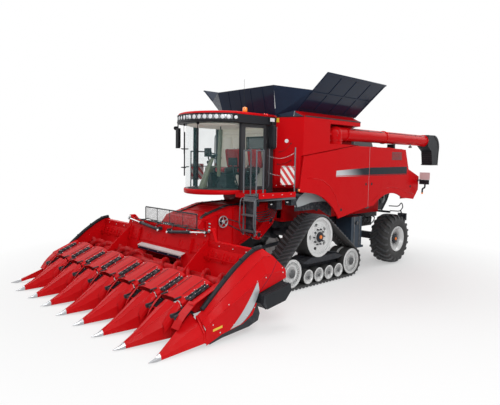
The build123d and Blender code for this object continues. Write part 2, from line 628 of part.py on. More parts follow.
def cab():
    (ax, ay), (cx, cy) = A_POST, C_POST
    floor = cab_plan(*CAB_FLOOR)
    shell = floor
    wall = block(-cx, cx, CAB_REAR - 40, CAB_REAR, CAB_FLOOR[0], CAB_CEILING)
    wall -= block(-cx + 170, cx - 170, CAB_REAR - 60, CAB_REAR + 20, 2980, 3700)
    shell += wall
    for side in (-1, 1):
        x0, x1 = sorted((side * (ax - POST), side * ax))
        shell += block(x0, x1, ay, ay + POST, CAB_FLOOR[1], CAB_CEILING)
        shell += prism("xy", CAB_FLOOR[1], CAB_CEILING, (side * cx, CAB_REAR - 40),
                       (side * (cx - 5), cy + 12), (side * (cx - 55), cy + 12),
                       (side * (cx - 50), CAB_REAR - 40))
    add("cab_shell", shell)
    add("cab_shell", *pair(block(840, 900, CAB_REAR, TANK_Y[0], SKIRT_LOW + 30, SKIRT_LOW + 110)))

    roof = prism("xy", CAB_CEILING, ROOF_TOP, (ROOF_HALF, CAB_REAR + 30), (ROOF_HALF, ROOF_FRONT),
                 ((0, ROOF_FRONT - ROOF_BULGE), (-ROOF_HALF, ROOF_FRONT)), (-ROOF_HALF, CAB_REAR + 30))
    roof = chamfer(roof.edges().group_by(Axis.Z)[-1], 45)
    add("cab_roof", roof)

    band = cab_plan(CAB_FLOOR[1], CAB_CEILING, POST * 0.2)
    band -= cab_plan(CAB_FLOOR[1] - 1, CAB_CEILING + 1, POST * 0.2 + GLASS)
    screen = band & block(-3000, 3000, ay - 2000, ay - 1, 0, 5000)
    add("cab_glass", screen)

    lean = math.degrees(math.atan2(cx - ax, cy - ay))
    side_long = math.dist((ax, ay + POST), (cx, cy)) - 6
    pane = block(-26, -26 + GLASS, 0, side_long - 4, CAB_FLOOR[1], CAB_CEILING)
    pane = Pos(ax, ay + POST + 4, 0) * Rot(0, 0, -lean) * pane
    rear_pane = block(-cx + 170 + SEAT, cx - 170 - SEAT, CAB_REAR - 24, CAB_REAR - 16,
                      2980 + SEAT, 3700 - SEAT)
    add("cab_glass", flipped(pane), rear_pane)

    door = block(-30, 0, 0, side_long - 4, CAB_FLOOR[1] + 12, CAB_CEILING - 12)
    door -= block(-40, 10, 70, side_long - 74, CAB_FLOOR[1] + 82, CAB_CEILING - 82)
    place = Pos(ax, ay + POST + 4, 0) * Rot(0, 0, -lean)
    u, v = DOOR_HINGE_OUT, side_long - 4
    lugs = []
    for z in DOOR_HINGE_Z:
        door -= rod((u, v, z - 33), (u, v, z), DOOR_KNUCKLE_R + 1)
        door += rod((u, v, z), (u, v, z + 60), DOOR_KNUCKLE_R)
        door -= rod((u, v, z - 1), (u, v, z + 61), DOOR_PIN_R + PIN_FIT)
        lug = rod((u, v, z - 31), (u, v, z - 1), DOOR_KNUCKLE_R)
        lug += rod((u, v, z - 31), (u, v, z + 58), DOOR_PIN_R)
        lugs.append(place * (lug + block(u - 12, u + 10, v, v + 36, z - 31, z - 1)))
    add("cab_shell", *lugs)
    add("cab_door", place * door)
    add("cab_door_glass", place * block(-20, -14, 70 + SEAT, side_long - 74 - SEAT, CAB_FLOOR[1] + 82 + SEAT,
                                        CAB_CEILING - 82 - SEAT))

    seats = []
    for x, y, wide in ((0, -1560, 260), (560, -1380, 200)):
        base = block(x - wide * 0.6, x + wide * 0.6, y - 200, y + 180, CAB_FLOOR[1], 2700)
        cushion = block(x - wide, x + wide, y - 260, y + 230, 2700, 2830)
        back = prism("yz", x - wide, x + wide, (y + 130, 2830 + SEAT), (y + 260, 2830 + SEAT),
                     (y + 340, 3480), (y + 240, 3500))
        seats += [base, cushion, back]
    add("seats", *seats)

    column = prism("yz", -70, 70, (-2330, CAB_FLOOR[1]), (-2150, CAB_FLOOR[1]), (-1960, 3050), (-2030, 3080))
    wheel = Torus(190, 15) + Cylinder(45, 30) + Box(360, 30, 16) + Box(30, 360, 16)
    wheel = Pos(0, -1985, 3110) * Rot(-22, 0, 0) * wheel
    stalk = rod((0, -1995, 3040), (0, -1985, 3110), 28)
    monitor = block(-420, -180, -1935, -1905, 3080, 3300) + rod((-300, -1920, 3085), (-300, -1800, 2800), 18)
    console = block(-480, -280, -1900, -1380, CAB_FLOOR[1], 2860)
    add("cab_controls", column + wheel + stalk, console + monitor)


def platform():
    x0, x1 = PLATFORM_X
    y0, y1 = PLATFORM_Y
    z0, z1 = PLATFORM_Z
    deck = block(x0, x1, y0, y1, z0, z1) + block(x1 - 40, x1, y0, y1 - 180, z0 - 60, z1 + 60)
    for y in (-1700, -1050):
        deck += block(CAB_BEAM_OUT, x0 + 1, y, y + 100, z0 - 50, z1)
    r = RAIL_TUBE_R
    outer = x1 - 20
    rails = bent_bar([(outer, -850, z1 + 60), (outer, -850, 3330)], r)
    deck += rails
    for x in (1120, outer - 60):
        deck += bent_bar([(x, y0 + 20, z1), (x, y0 + 20, 3230), (x, y0 + 230, 3230), (x, y0 + 230, z1)], r)
    add("platforms", deck)
    board = block(outer - 4, outer + 4, -1330, -850 - r - SEAT, 2470, 2900)
    add("warning_board", board)

    right = block(-x1, -x0, -1500, y1, z0, z1) + block(-x0 - 1, -CAB_BEAM_OUT, -1050, -950, z0 - 50, z1)
    right += bent_bar([(-outer, -1480, z1), (-outer, -1480, 3230), (-outer, -780, 3230),
                       (-outer, -780, z1)], r)
    add("platforms", right)
    add("warning_board", block(-outer - 4, -outer + 4, -1480 + r + SEAT, -1050, 2470, 2900))

    low, high = LADDER_X
    front, foot = y0 - 30, y0 - 50
    ladder = block(low, high, y0 - 55, y0, z0 - 60, z0 - 20)
    ladder += block(low, high, y0 - 40, y0, z0 - 30, z0 + 30)
    for x in LADDER_X:
        ladder += rod((x, front, z0), (x, foot, LADDER_LOW), 22)
    for z in LADDER_STEPS:
        ladder += block(low, high, y0 - 105, y0 + 15, z - 30, z)
    add("access_ladder", ladder)

    for name, x, y in (("left_mirror", 1070, -1090), ("right_mirror", -1330, -2080)):
        head = block(x - 70, x + 70, y - 35, y + 35, 3290, 3800)
        head = fillet(head.edges().filter_by(Axis.Z), 25)
        reach = -ROOF_HALF + 20 if x < 0 else ROOF_HALF - 20
        arm = bent_bar([(reach, y, 3900), (x, y, 3900), (x, y, 3790)], 15)
        arm -= block(min(-ROOF_HALF, ROOF_HALF), ROOF_HALF, -2300, 0, 3000, 4500)
        add("mirrors", head + arm)


# ------------------------------------------------------------------ feeder house
def feeder():
    outer = prism("yz", -FEEDER_HALF, FEEDER_HALF, (FEEDER_FRONT, 560), (FEEDER_FRONT, 1700), (-1960, 1940),
                  (-480, 1990), (-480, 1560), (-1000, 1330))
    w = FEEDER_WALL
    inner = prism("yz", -FEEDER_HALF + w, FEEDER_HALF - w, (FEEDER_FRONT - 1, 560 + 1.1 * w),
                  (FEEDER_FRONT - 1, 1700 - 1.1 * w), (-1960, 1940 - w), (-479, 1990 - w), (-479, 1560 + w),
                  (-1000, 1330 + 1.1 * w))
    house = outer - inner
    for side in (-1, 1):
        x0, x1 = sorted((side * FEEDER_HALF, side * (FEEDER_HALF + FEEDER_EAR)))
        house += prism("yz", x0, x1, (-900, 1930), (FEEDER_PIVOT[0] + 40, 1980),
                       (FEEDER_PIVOT[0] + 40, 1800), (-900, 1700))
        house += disc(x0, x1, *FEEDER_PIVOT, TRUNNION_R)
        house -= disc(x0 - FEEDER_WALL - 1, x1 + FEEDER_WALL + 1, *FEEDER_PIVOT, TRUNNION_PIN_R + PIN_FIT)
        x0, x1 = side * LIFT_X - 50, side * LIFT_X + 50
        eye_y, eye_z = LIFT_EYE
        lug = prism("yz", x0, x1, (eye_y - 90, eye_z + 65), (eye_y - 60, eye_z - 30),
                    ((eye_y, eye_z - 60), (eye_y + 60, eye_z - 30)),
                    (eye_y + 90, eye_z + 130))
        middle = side * LIFT_X
        house += lug - block(middle - 32, middle + 32, eye_y - 200, eye_y + 200, 500, eye_z + 62)
        house += disc(x0, x1, eye_y, eye_z, LIFT_PIN_R)
    add("feeder_house", house)


# ------------------------------------------------------------------ header
def back_wall_y(z):
    """Rear face of the header's sloping back wall at a height."""
    (y, low), top = AUGER_TROUGH, BEAM_Z[0]
    return y + TROUGH_R + (HEADER_BACK - 12 - y - TROUGH_R) * (z - low) / (top - low)


def snout_section(y, x, half, low, high, shoulder=0.55):
    """Roof-shaped cross-section of a snout or hood at one place along it."""
    rise = high - low
    crown = shoulder + (1 - shoulder) * 0.8
    left = [(half, low), (half * 0.93, low + shoulder * rise), (half * 0.5, low + crown * rise), (0, high)]
    points = left + [(-u, v) for u, v in reversed(left[:-1])]
    return Face(Wire.make_polygon([Vector(x + u, y, v) for u, v in points], close=True))


def shell_loft(x, stations, wall, shoulder):
    """A shell through stations (Y, half width, low, high), open below and at both ends."""
    outer = loft([snout_section(y, x, half, low, high, shoulder) for y, half, low, high in stations],
                 ruled=True)
    inner = []
    for index, (y, half, low, high) in enumerate(stations):
        y += 1 if index == len(stations) - 1 else 0
        inner.append(snout_section(y, x, half - wall, low - wall, high - wall, shoulder))
    return outer - loft(inner, ruled=True)


SNOUT = [  # Y, half width, low, high
    (-5690, 32, 10, 66),
    (-5340, 150, 45, 250),
    (SNOUT_REAR_Y, SNOUT_HALF, 90, 535),
    (-4450, SNOUT_HALF, 140, 850),
]
SNOUT_WALL = 10
SNOUT_PIVOT = (-4890, 460)                # bar between the row arms, Y and Z
SNOUT_PIVOT_R = 18
SNOUT_HOOD = [
    (-4720, SNOUT_HALF, 400, 680),
    (-4125, SNOUT_HALF, 640, 935),
    (HOOD_REAR_Y, SNOUT_HALF, 700, 815),
]
HOOD_SHEET = 8
HOOD_SHOULDER = 0.93
SNOUT_CUT = ((-4900, 742), (-4300, 250))  # line of the snouts' rear edges, Y and Z
SNOUT_CUT_GAP = 10                        # between that edge and the hood


def behind_snout(x, gap):
    """The space above and behind a snout's slanting rear edge, moved back by gap."""
    (y0, z0), (y1, z1) = SNOUT_CUT
    return prism("yz", x - ROW_PITCH / 2, x + ROW_PITCH / 2, (y0 + gap, z0), (y1 + gap, z1),
                 (HOOD_REAR_Y + 10, z1), (HOOD_REAR_Y + 10, 1200), (y0 + gap, 1200))


def snout_hood(x):
    """The flat board behind a snout, between two rows."""
    return shell_loft(x, SNOUT_HOOD, HOOD_SHEET, HOOD_SHOULDER) & behind_snout(x, SNOUT_CUT_GAP)


def snout(x):
    """One crop divider: steel tip, long snout and the hood behind it."""
    y, half, low, high = SNOUT[0]
    point = snout_section(SNOUT_TIP_Y, x, 3, 22, 30)
    tip = loft([point, snout_section(y, x, half, low, high)], ruled=True)
    front = loft([snout_section(y, x, half, low, high) for y, half, low, high in SNOUT], ruled=True)
    wall = SNOUT_WALL
    hollow = [snout_section(y, x, half - wall, low - wall, high - wall) for y, half, low, high in SNOUT[1:]]
    front -= loft(hollow, ruled=True)
    front += disc(x - SNOUT_HALF, x + SNOUT_HALF, *SNOUT_PIVOT, SNOUT_PIVOT_R)
    return [tip, front - behind_snout(x, 0), snout_hood(x)]


def header_frame(x0, x1, rows, beam):
    """Trough, back wall, beam and row arms from x0 to x1; beam gives its Z from and to."""
    (y, z), outer, inner = AUGER_TROUGH, TROUGH_R, TROUGH_R - TROUGH_WALL
    trough = prism("yz", x0, x1, (y - outer, z), ((y, z - outer), (y + outer, z)),
                   (HEADER_BACK - 12, beam[0]), (HEADER_BACK - 20, beam[0]), (y + inner, z),
                   ((y, z - inner), (y - inner, z)))
    frame = trough + block(x0, x1, HEADER_BACK - 20, HEADER_BACK + 100, *beam)
    frame += block(x0, x1, HEADER_BACK - 140, HEADER_BACK - 10, 430, 560)
    frame += block(x0, x1, y - outer - 130, y - outer, *TOOLBAR_Z)
    frame += prism("yz", x0, x1, (y - outer, TOOLBAR_Z[0]), (y - 120, TOOLBAR_Z[0]), (y - outer + 2, z),
                   (y - outer, z)) - disc(x0 - 1, x1 + 1, y, z, outer - 1)
    ends = []
    for low, high in ((x0, x0 + 12), (x1 - 12, x1)):
        end = prism("yz", low, high, (y - outer, z), ((y, z - outer), (y + outer, z)),
                    (HEADER_BACK - 20, beam[0]), (y + 40, z + 330), (y - outer, z + 60))
        frame += end - disc(low - 1, high + 1, y, z, AUGER_SHAFT_R + PIN_FIT)
    count = max(2, round((x1 - x0) / ROW_PITCH) + 1)
    for index in range(count):
        low = x0 + (x1 - x0 - 14) * index / (count - 1)
        rib = prism("yz", low, low + 14, (y + 20, 440), (HEADER_BACK - 12, beam[0]),
                    (HEADER_BACK + 90, beam[0]), (HEADER_BACK - 20, 440))
        frame += rib - disc(low - 1, low + 15, y, z, outer - 1) \
            - prism("yz", low - 1, low + 15, (y + 10, 300), (y + outer - 2, z), (HEADER_BACK - 14, beam[0]),
                    (y - 200, beam[0]), (y - 200, 300))
    for row in rows:
        for side in (-1, 1):
            low, high = sorted((row + side * 35, row + side * ROW_ARM_OUT))
            frame += prism("yz", low, high, (SNOUT_REAR_Y - 20, 430), (SNOUT_REAR_Y - 20, 490),
                           (y - outer, 745), (y - outer, 560), (y - outer - 180, 500))
    return frame


def cross_auger(x0, x1):
    """The header's auger between two end plates: core, flights and stub shafts."""
    y, z = AUGER_TROUGH
    low, high = x0 + 12 + RUN, x1 - 12 - RUN
    auger = disc(low, high, y, z, CROSS_AUGER_CORE) + disc(x0 + 1, x1 - 1, y, z, AUGER_SHAFT_R)
    count = round((high - low) / 290)
    step = (high - low) / count
    for index in range(count):
        flight = Rot(0, 90, 0) * Rot(14, 0, 0) * Cylinder(CROSS_AUGER_R, 8)
        auger += Pos(low + step * (index + 0.5), y, z) * flight
    return auger


def header_centre():
    edge = FOLD_X - SPLIT_GAP / 2
    rows = [ROW_PITCH * (index + 0.5) for index in range(-CENTRE_ROWS // 2, CENTRE_ROWS // 2)]
    frame = header_frame(-edge, edge, rows, BEAM_Z)
    gap = block(rows[-1] + ROW_ARM_OUT, edge + 1, -4300, AUGER_TROUGH[0] - TROUGH_R - 1, 500, 700)
    frame -= gap + flipped(gap)
    throat = FEEDER_HALF - 90
    frame -= block(-throat, throat, AUGER_TROUGH[0] + 100, HEADER_BACK + 101, *THROAT_Z)
    low, high = THROAT_Z[0] - 20, THROAT_Z[1] + 20
    (trough_y, trough_z), wall = AUGER_TROUGH, 12
    foot = trough_y + math.sqrt(TROUGH_R ** 2 - (trough_z - low) ** 2)
    tunnel = prism("yz", -FEEDER_HALF, FEEDER_HALF, (foot, low), (trough_y + TROUGH_R, trough_z),
                   (back_wall_y(high), high), (FEEDER_FRONT, 1690), (FEEDER_FRONT, 575))
    tunnel -= prism("yz", -FEEDER_HALF + wall, FEEDER_HALF - wall, (foot - 20, low + wall),
                    (trough_y + TROUGH_R - 20, trough_z), (back_wall_y(high) - 20, high - wall),
                    (FEEDER_FRONT + 1, 1676), (FEEDER_FRONT + 1, 589))
    frame += prism("yz", -DEFLECTOR_HALF, DEFLECTOR_HALF, (-3530, 935), (-3530, 1025), (-3420, 1062),
                   (-3420, 1046), (-3518, 1014), (-3518, 935))
    for side in (-1, 1):
        for y0, y1 in FOLD_EARS:
            ear = prism("xz", y0, y1, (side * (FOLD_X - 150), BEAM_Z[1]), (side * (FOLD_X - 10), BEAM_Z[1]),
                        (side * (FOLD_PIN_X + 30), FOLD_Z - 30), ((side * (FOLD_PIN_X + 45), FOLD_Z + 5),
                        (side * FOLD_PIN_X, FOLD_Z + 45)), (side * (FOLD_PIN_X - 60), FOLD_Z + 20))
            frame += ear
        pin_x = side * FOLD_PIN_X
        frame += rod((pin_x, FOLD_EARS[0][0], FOLD_Z), (pin_x, FOLD_EARS[1][1], FOLD_Z), FOLD_PIN_R)
    add("header_frame", frame + tunnel)

    for index in range(-CENTRE_ROWS // 2 + 1, CENTRE_ROWS // 2):
        add("header_snouts", *snout(index * ROW_PITCH))
    add("header_auger", cross_auger(-edge, edge))

    y = HEADER_BACK + 70
    mesh = block(-SCREEN_HALF, SCREEN_HALF, y - 3, y + 3, BEAM_Z[1] + 40, 1890)
    mesh += bent_bar([(-SCREEN_HALF, y, BEAM_Z[1]), (-SCREEN_HALF, y, 1890), (SCREEN_HALF, y, 1890),
                      (SCREEN_HALF, y, BEAM_Z[1])], 12)
    add("trash_screen", mesh)

    y = HEADER_BACK - 85
    foot, eye = (180, 1425), (FOLD_X - 10, 1565)
    for side in (-1, 1):
        start, end = (side * foot[0], y, foot[1]), (side * eye[0], y, eye[1])
        middle = tuple(0.4 * a + 0.6 * b for a, b in zip(start, end))
        ram = rod(start, middle, 36) + rod(middle, end, 18)
        ram += block(*sorted((side * 150, side * 210)), y - 20, HEADER_BACK - 20 - SEAT,
                     BEAM_Z[0] + 2, foot[1] + 70)
        ram += rod((end[0], y - 22, end[2]), (end[0], y + 22, end[2]), 32)
        add("fold_cylinders", ram)


def divider_section(y, top, fold):
    """Cross-section of an end divider's skin at one place along it."""
    skin = DIVIDER_SKIN
    outer = 120 + 0.75 * (fold - 120)
    points = [(DIVIDER_IN, top), (DIVIDER_FOLD, fold), (END_X, outer), (END_X, 0), (END_X - skin, 0),
              (END_X - skin, outer - 8), (DIVIDER_FOLD - 5, fold - skin), (DIVIDER_IN, top - skin)]
    return Face(Wire.make_polygon([Vector(x, y, z) for x, z in points], close=True))


def nose_section(y, points):
    """Cross-section of an end divider's nose at one place along it, its X from the fold."""
    return Face(Wire.make_polygon([Vector(DIVIDER_FOLD + x, y, z) for x, z in points], close=True))


DIVIDER = [  # Y, height of the inner top edge, height of the fold
    (-4640, 500, 400),
    (-4540, 565, 500),
    (-4270, 805, 680),
    (-3740, 1230, 1000),
    (-3290, 1440, 1300),
    (-2700, 1440, 1300),
]
DIVIDER_EDGE = [(-4640, 80), (-4309, 250), (-4092, 302), (-3560, 560), (-3460, 700), (-2765, 868),
                (-2788, 1035), (-3014, 1274), (-3181, 1420), (-3360, 1500), (-4640, 1500)]
NOSE_POINT = [(27, 22), (27, 28), (30, 31), (33, 28), (33, 22)]  # X from the fold, Z
NOSE_FRONT = [(-15, 12), (-12, 44), (12, 64), (42, 40), (47, 10)]
NOSE_REAR = [(-294, 250), (-284, 490), (-30, 372), (85, 235), (110, 94)]
NOSE_HOLLOW = ([(-82, 40), (-79, 146), (-10, 130), (34, 80), (42, 10)],
               [(-282, 200), (-272, 476), (-34, 360), (73, 226), (98, 60)])


def end_divider():
    """The left end divider: tip, nose, skin, last hood, gearbox and skid."""
    y0 = SNOUT_TIP_Y + END_SETBACK
    tip = loft([nose_section(y0, NOSE_POINT), nose_section(y0 + 130, NOSE_FRONT)], ruled=True)
    nose_end = DIVIDER[0][0] - 20
    nose = loft([nose_section(y0 + 130, NOSE_FRONT), nose_section(nose_end, NOSE_REAR)], ruled=True)
    nose -= loft([nose_section(y0 + 350, NOSE_HOLLOW[0]), nose_section(nose_end + 1, NOSE_HOLLOW[1])],
                 ruled=True)
    lap = DIVIDER_IN + DIVIDER_SKIN + SEAT
    nose += block(lap, lap + DIVIDER_SKIN, nose_end - 40, nose_end + 160, 345, 398)

    skin = loft([divider_section(*station) for station in DIVIDER], ruled=True)
    skin &= prism("yz", DIVIDER_IN - 50, END_X + 50, *DIVIDER_EDGE)
    inner = DIVIDER_IN
    bulkhead = prism("yz", inner, inner + DIVIDER_SKIN, (-4620, 340), (-4620, 490), (-4540, 550),
                     (-4270, 792), (-3740, 1218),
                     (-3290, 1430), (-3181, 1405), (-3060, 1300), (-3060, 560), (-3460, 540), (-4092, 330))

    hood = snout_hood(DIVIDER_FOLD) - block(DIVIDER_IN - SEAT, END_X + 400, -6000, 0, 0, 3000)
    gearbox = prism("yz", inner + DIVIDER_SKIN + SEAT, GEARBOX_OUT, (-3459, 683), (-2786, 785), (-2754, 649),
                    (-2912, 490), (-3377, 417), (-3479, 527))
    edge = [(y, z - SEAT) for y, z in DIVIDER_EDGE[:4]]
    skid = prism("yz", END_X - 110, END_X, *edge, (-3500, 500), (-3440, 330), (-3480, 215), (-3700, 150),
                 (-4300, 100), (-4560, 50))
    add_sides("end_divider", tip, nose, skin + bulkhead, hood, gearbox, skid)


def header_wing():
    """The left wing: two rows, their snouts and auger."""
    edge, tail = FOLD_X + SPLIT_GAP / 2, DIVIDER_IN - SEAT
    rows = [FOLD_X + ROW_PITCH * (index + 0.5) for index in range(WING_ROWS)]
    frame = header_frame(edge, tail, rows, WING_BEAM_Z)
    (_, y0), (y1, _) = FOLD_EARS
    top = WING_BEAM_Z[1]
    ear = prism("xz", y0 + RUN, y1 - RUN, (FOLD_X + 6, top), (FOLD_X + 190, top),
                (FOLD_PIN_X + 40, FOLD_Z + 30), ((FOLD_PIN_X, FOLD_Z + 45), (FOLD_PIN_X - 32, FOLD_Z + 22)))
    ear -= rod((FOLD_PIN_X, y0, FOLD_Z), (FOLD_PIN_X, y1, FOLD_Z), FOLD_PIN_R + PIN_FIT)
    add_sides("wing_frame", frame + ear)

    snouts = []
    for index in range(WING_ROWS):
        snouts += snout(FOLD_X + ROW_PITCH * index)
    cut = block(0, FOLD_X - SNOUT_HALF + RUN, -7000, -3000, -100, 2000)
    add_sides("wing_snouts", *[piece - cut for piece in snouts])
    add_sides("wing_auger", cross_auger(edge, tail))


def lift_cylinders():
    """Header lift cylinders, each a barrel on the axle and a rod on the feeder house."""
    (y0, z0), (y1, z1) = LIFT_BASE, LIFT_EYE
    long = math.dist(LIFT_BASE, LIFT_EYE)
    along = ((y1 - y0) / long, (z1 - z0) / long)

    def at(distance):
        return (LIFT_X, y0 + along[0] * distance, z0 + along[1] * distance)
    barrel = rod(at(140), at(1250), 48) - rod(at(220), at(1251), 30 + PIN_FIT) + rod(at(0), at(141), 30)
    barrel += disc(LIFT_X - 34, LIFT_X + 34, y0, z0, 45)
    barrel += disc(LIFT_X - 60, LIFT_X + 60, y0, z0, LIFT_PIN_R)
    piston = rod(at(300), at(long - 40), 30) + disc(LIFT_X - 28, LIFT_X + 28, y1, z1, LIFT_EYE_R)
    piston -= disc(LIFT_X - 40, LIFT_X + 40, y1, z1, LIFT_PIN_R + LIFT_EYE_FREE)
    add("lift_barrels", pair(barrel))
    add("lift_rods", pair(piston))


# ------------------------------------------------------------------ assembly
def build():
    track_units()
    chassis()
    rear_axle()
    side_panels()
    grain_tank()
    tank_covers()
    engine_deck()
    cab_beams()
    rear_hood()
    unloading_auger()
    cab()
    platform()
    feeder()
    lift_cylinders()
    header_centre()
    header_wing()
    end_divider()


def origin_shift():
    """Moves the bottom centre of the whole machine's box to the origin."""
    boxes = [solid.bounding_box() for solids in NODES.values() for solid in solids]
    low = [min(getattr(box.min, axis) for box in boxes) for axis in "XYZ"]
    high = [max(getattr(box.max, axis) for box in boxes) for axis in "XYZ"]
    return Vector(-(low[0] + high[0]) / 2, -(low[1] + high[1]) / 2, -low[2])


def write_nodes():
    shift = origin_shift()
    os.makedirs("parts", exist_ok=True)
    for name, solids in NODES.items():
        moved = [Pos(shift.X, shift.Y, shift.Z) * solid for solid in solids]
        export_step(Compound(children=moved) if len(moved) > 1 else moved[0], f"parts/{name}.step")
    print(f"{len(NODES)} nodes, shift {shift.X:.3f} {shift.Y:.3f} {shift.Z:.3f}")


build()
write_nodes()
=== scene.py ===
"""Dress the combine harvester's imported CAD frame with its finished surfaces.

Every size is in metres and in the machine's own axes: +X is its left, +Y its rear,
+Z up, Y = 0 at the front axle. Workshop.piece moves a finished draft into the row frame.
"""

import json
import logging
import math
import random
from collections.abc import Callable, Iterable, Sequence
from dataclasses import dataclass, field
from enum import Enum

import bmesh
import bpy
from mathutils import Matrix, Vector

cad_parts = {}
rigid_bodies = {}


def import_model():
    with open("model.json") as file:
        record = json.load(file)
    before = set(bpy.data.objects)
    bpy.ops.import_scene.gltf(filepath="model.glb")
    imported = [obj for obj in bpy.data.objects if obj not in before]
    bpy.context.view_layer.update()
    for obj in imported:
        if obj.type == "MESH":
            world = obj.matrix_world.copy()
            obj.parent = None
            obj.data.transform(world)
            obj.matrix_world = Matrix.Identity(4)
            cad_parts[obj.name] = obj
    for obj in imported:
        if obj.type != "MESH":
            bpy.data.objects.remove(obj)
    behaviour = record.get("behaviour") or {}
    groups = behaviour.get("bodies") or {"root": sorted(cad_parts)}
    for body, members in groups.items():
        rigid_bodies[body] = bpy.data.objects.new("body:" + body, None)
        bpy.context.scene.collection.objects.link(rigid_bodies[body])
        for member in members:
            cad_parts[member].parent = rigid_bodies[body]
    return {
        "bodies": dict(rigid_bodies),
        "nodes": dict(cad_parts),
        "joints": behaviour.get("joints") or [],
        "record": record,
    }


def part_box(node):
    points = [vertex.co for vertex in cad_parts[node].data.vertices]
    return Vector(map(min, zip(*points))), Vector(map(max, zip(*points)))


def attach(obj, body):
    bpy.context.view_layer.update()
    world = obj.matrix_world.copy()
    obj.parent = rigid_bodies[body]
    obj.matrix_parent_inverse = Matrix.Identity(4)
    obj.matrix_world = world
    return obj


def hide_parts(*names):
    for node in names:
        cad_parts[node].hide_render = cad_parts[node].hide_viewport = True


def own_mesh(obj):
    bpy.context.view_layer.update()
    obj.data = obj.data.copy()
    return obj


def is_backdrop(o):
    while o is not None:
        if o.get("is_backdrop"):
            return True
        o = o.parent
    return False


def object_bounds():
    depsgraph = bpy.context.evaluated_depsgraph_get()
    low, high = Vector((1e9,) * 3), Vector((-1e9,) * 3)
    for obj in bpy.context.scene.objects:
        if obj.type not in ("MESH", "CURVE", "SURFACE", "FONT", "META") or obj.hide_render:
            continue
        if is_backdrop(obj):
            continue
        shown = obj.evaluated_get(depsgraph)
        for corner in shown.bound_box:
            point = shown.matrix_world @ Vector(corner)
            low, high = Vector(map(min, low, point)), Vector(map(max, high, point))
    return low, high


LOG = logging.getLogger("harvester")
JOIN = 0.00001  # corners nearer to each other than this are one corner
Point = tuple[float, float, float]
Colour = tuple[float, float, float]
Flat = tuple[float, float]
SIDES = (1, -1)
X_AXIS, Y_AXIS, Z_AXIS = Vector((1, 0, 0)), Vector((0, 1, 0)), Vector((0, 0, 1))


class Side(Enum):
    """The two sides of the machine, with the sign of their X."""

    LEFT = 1
    RIGHT = -1


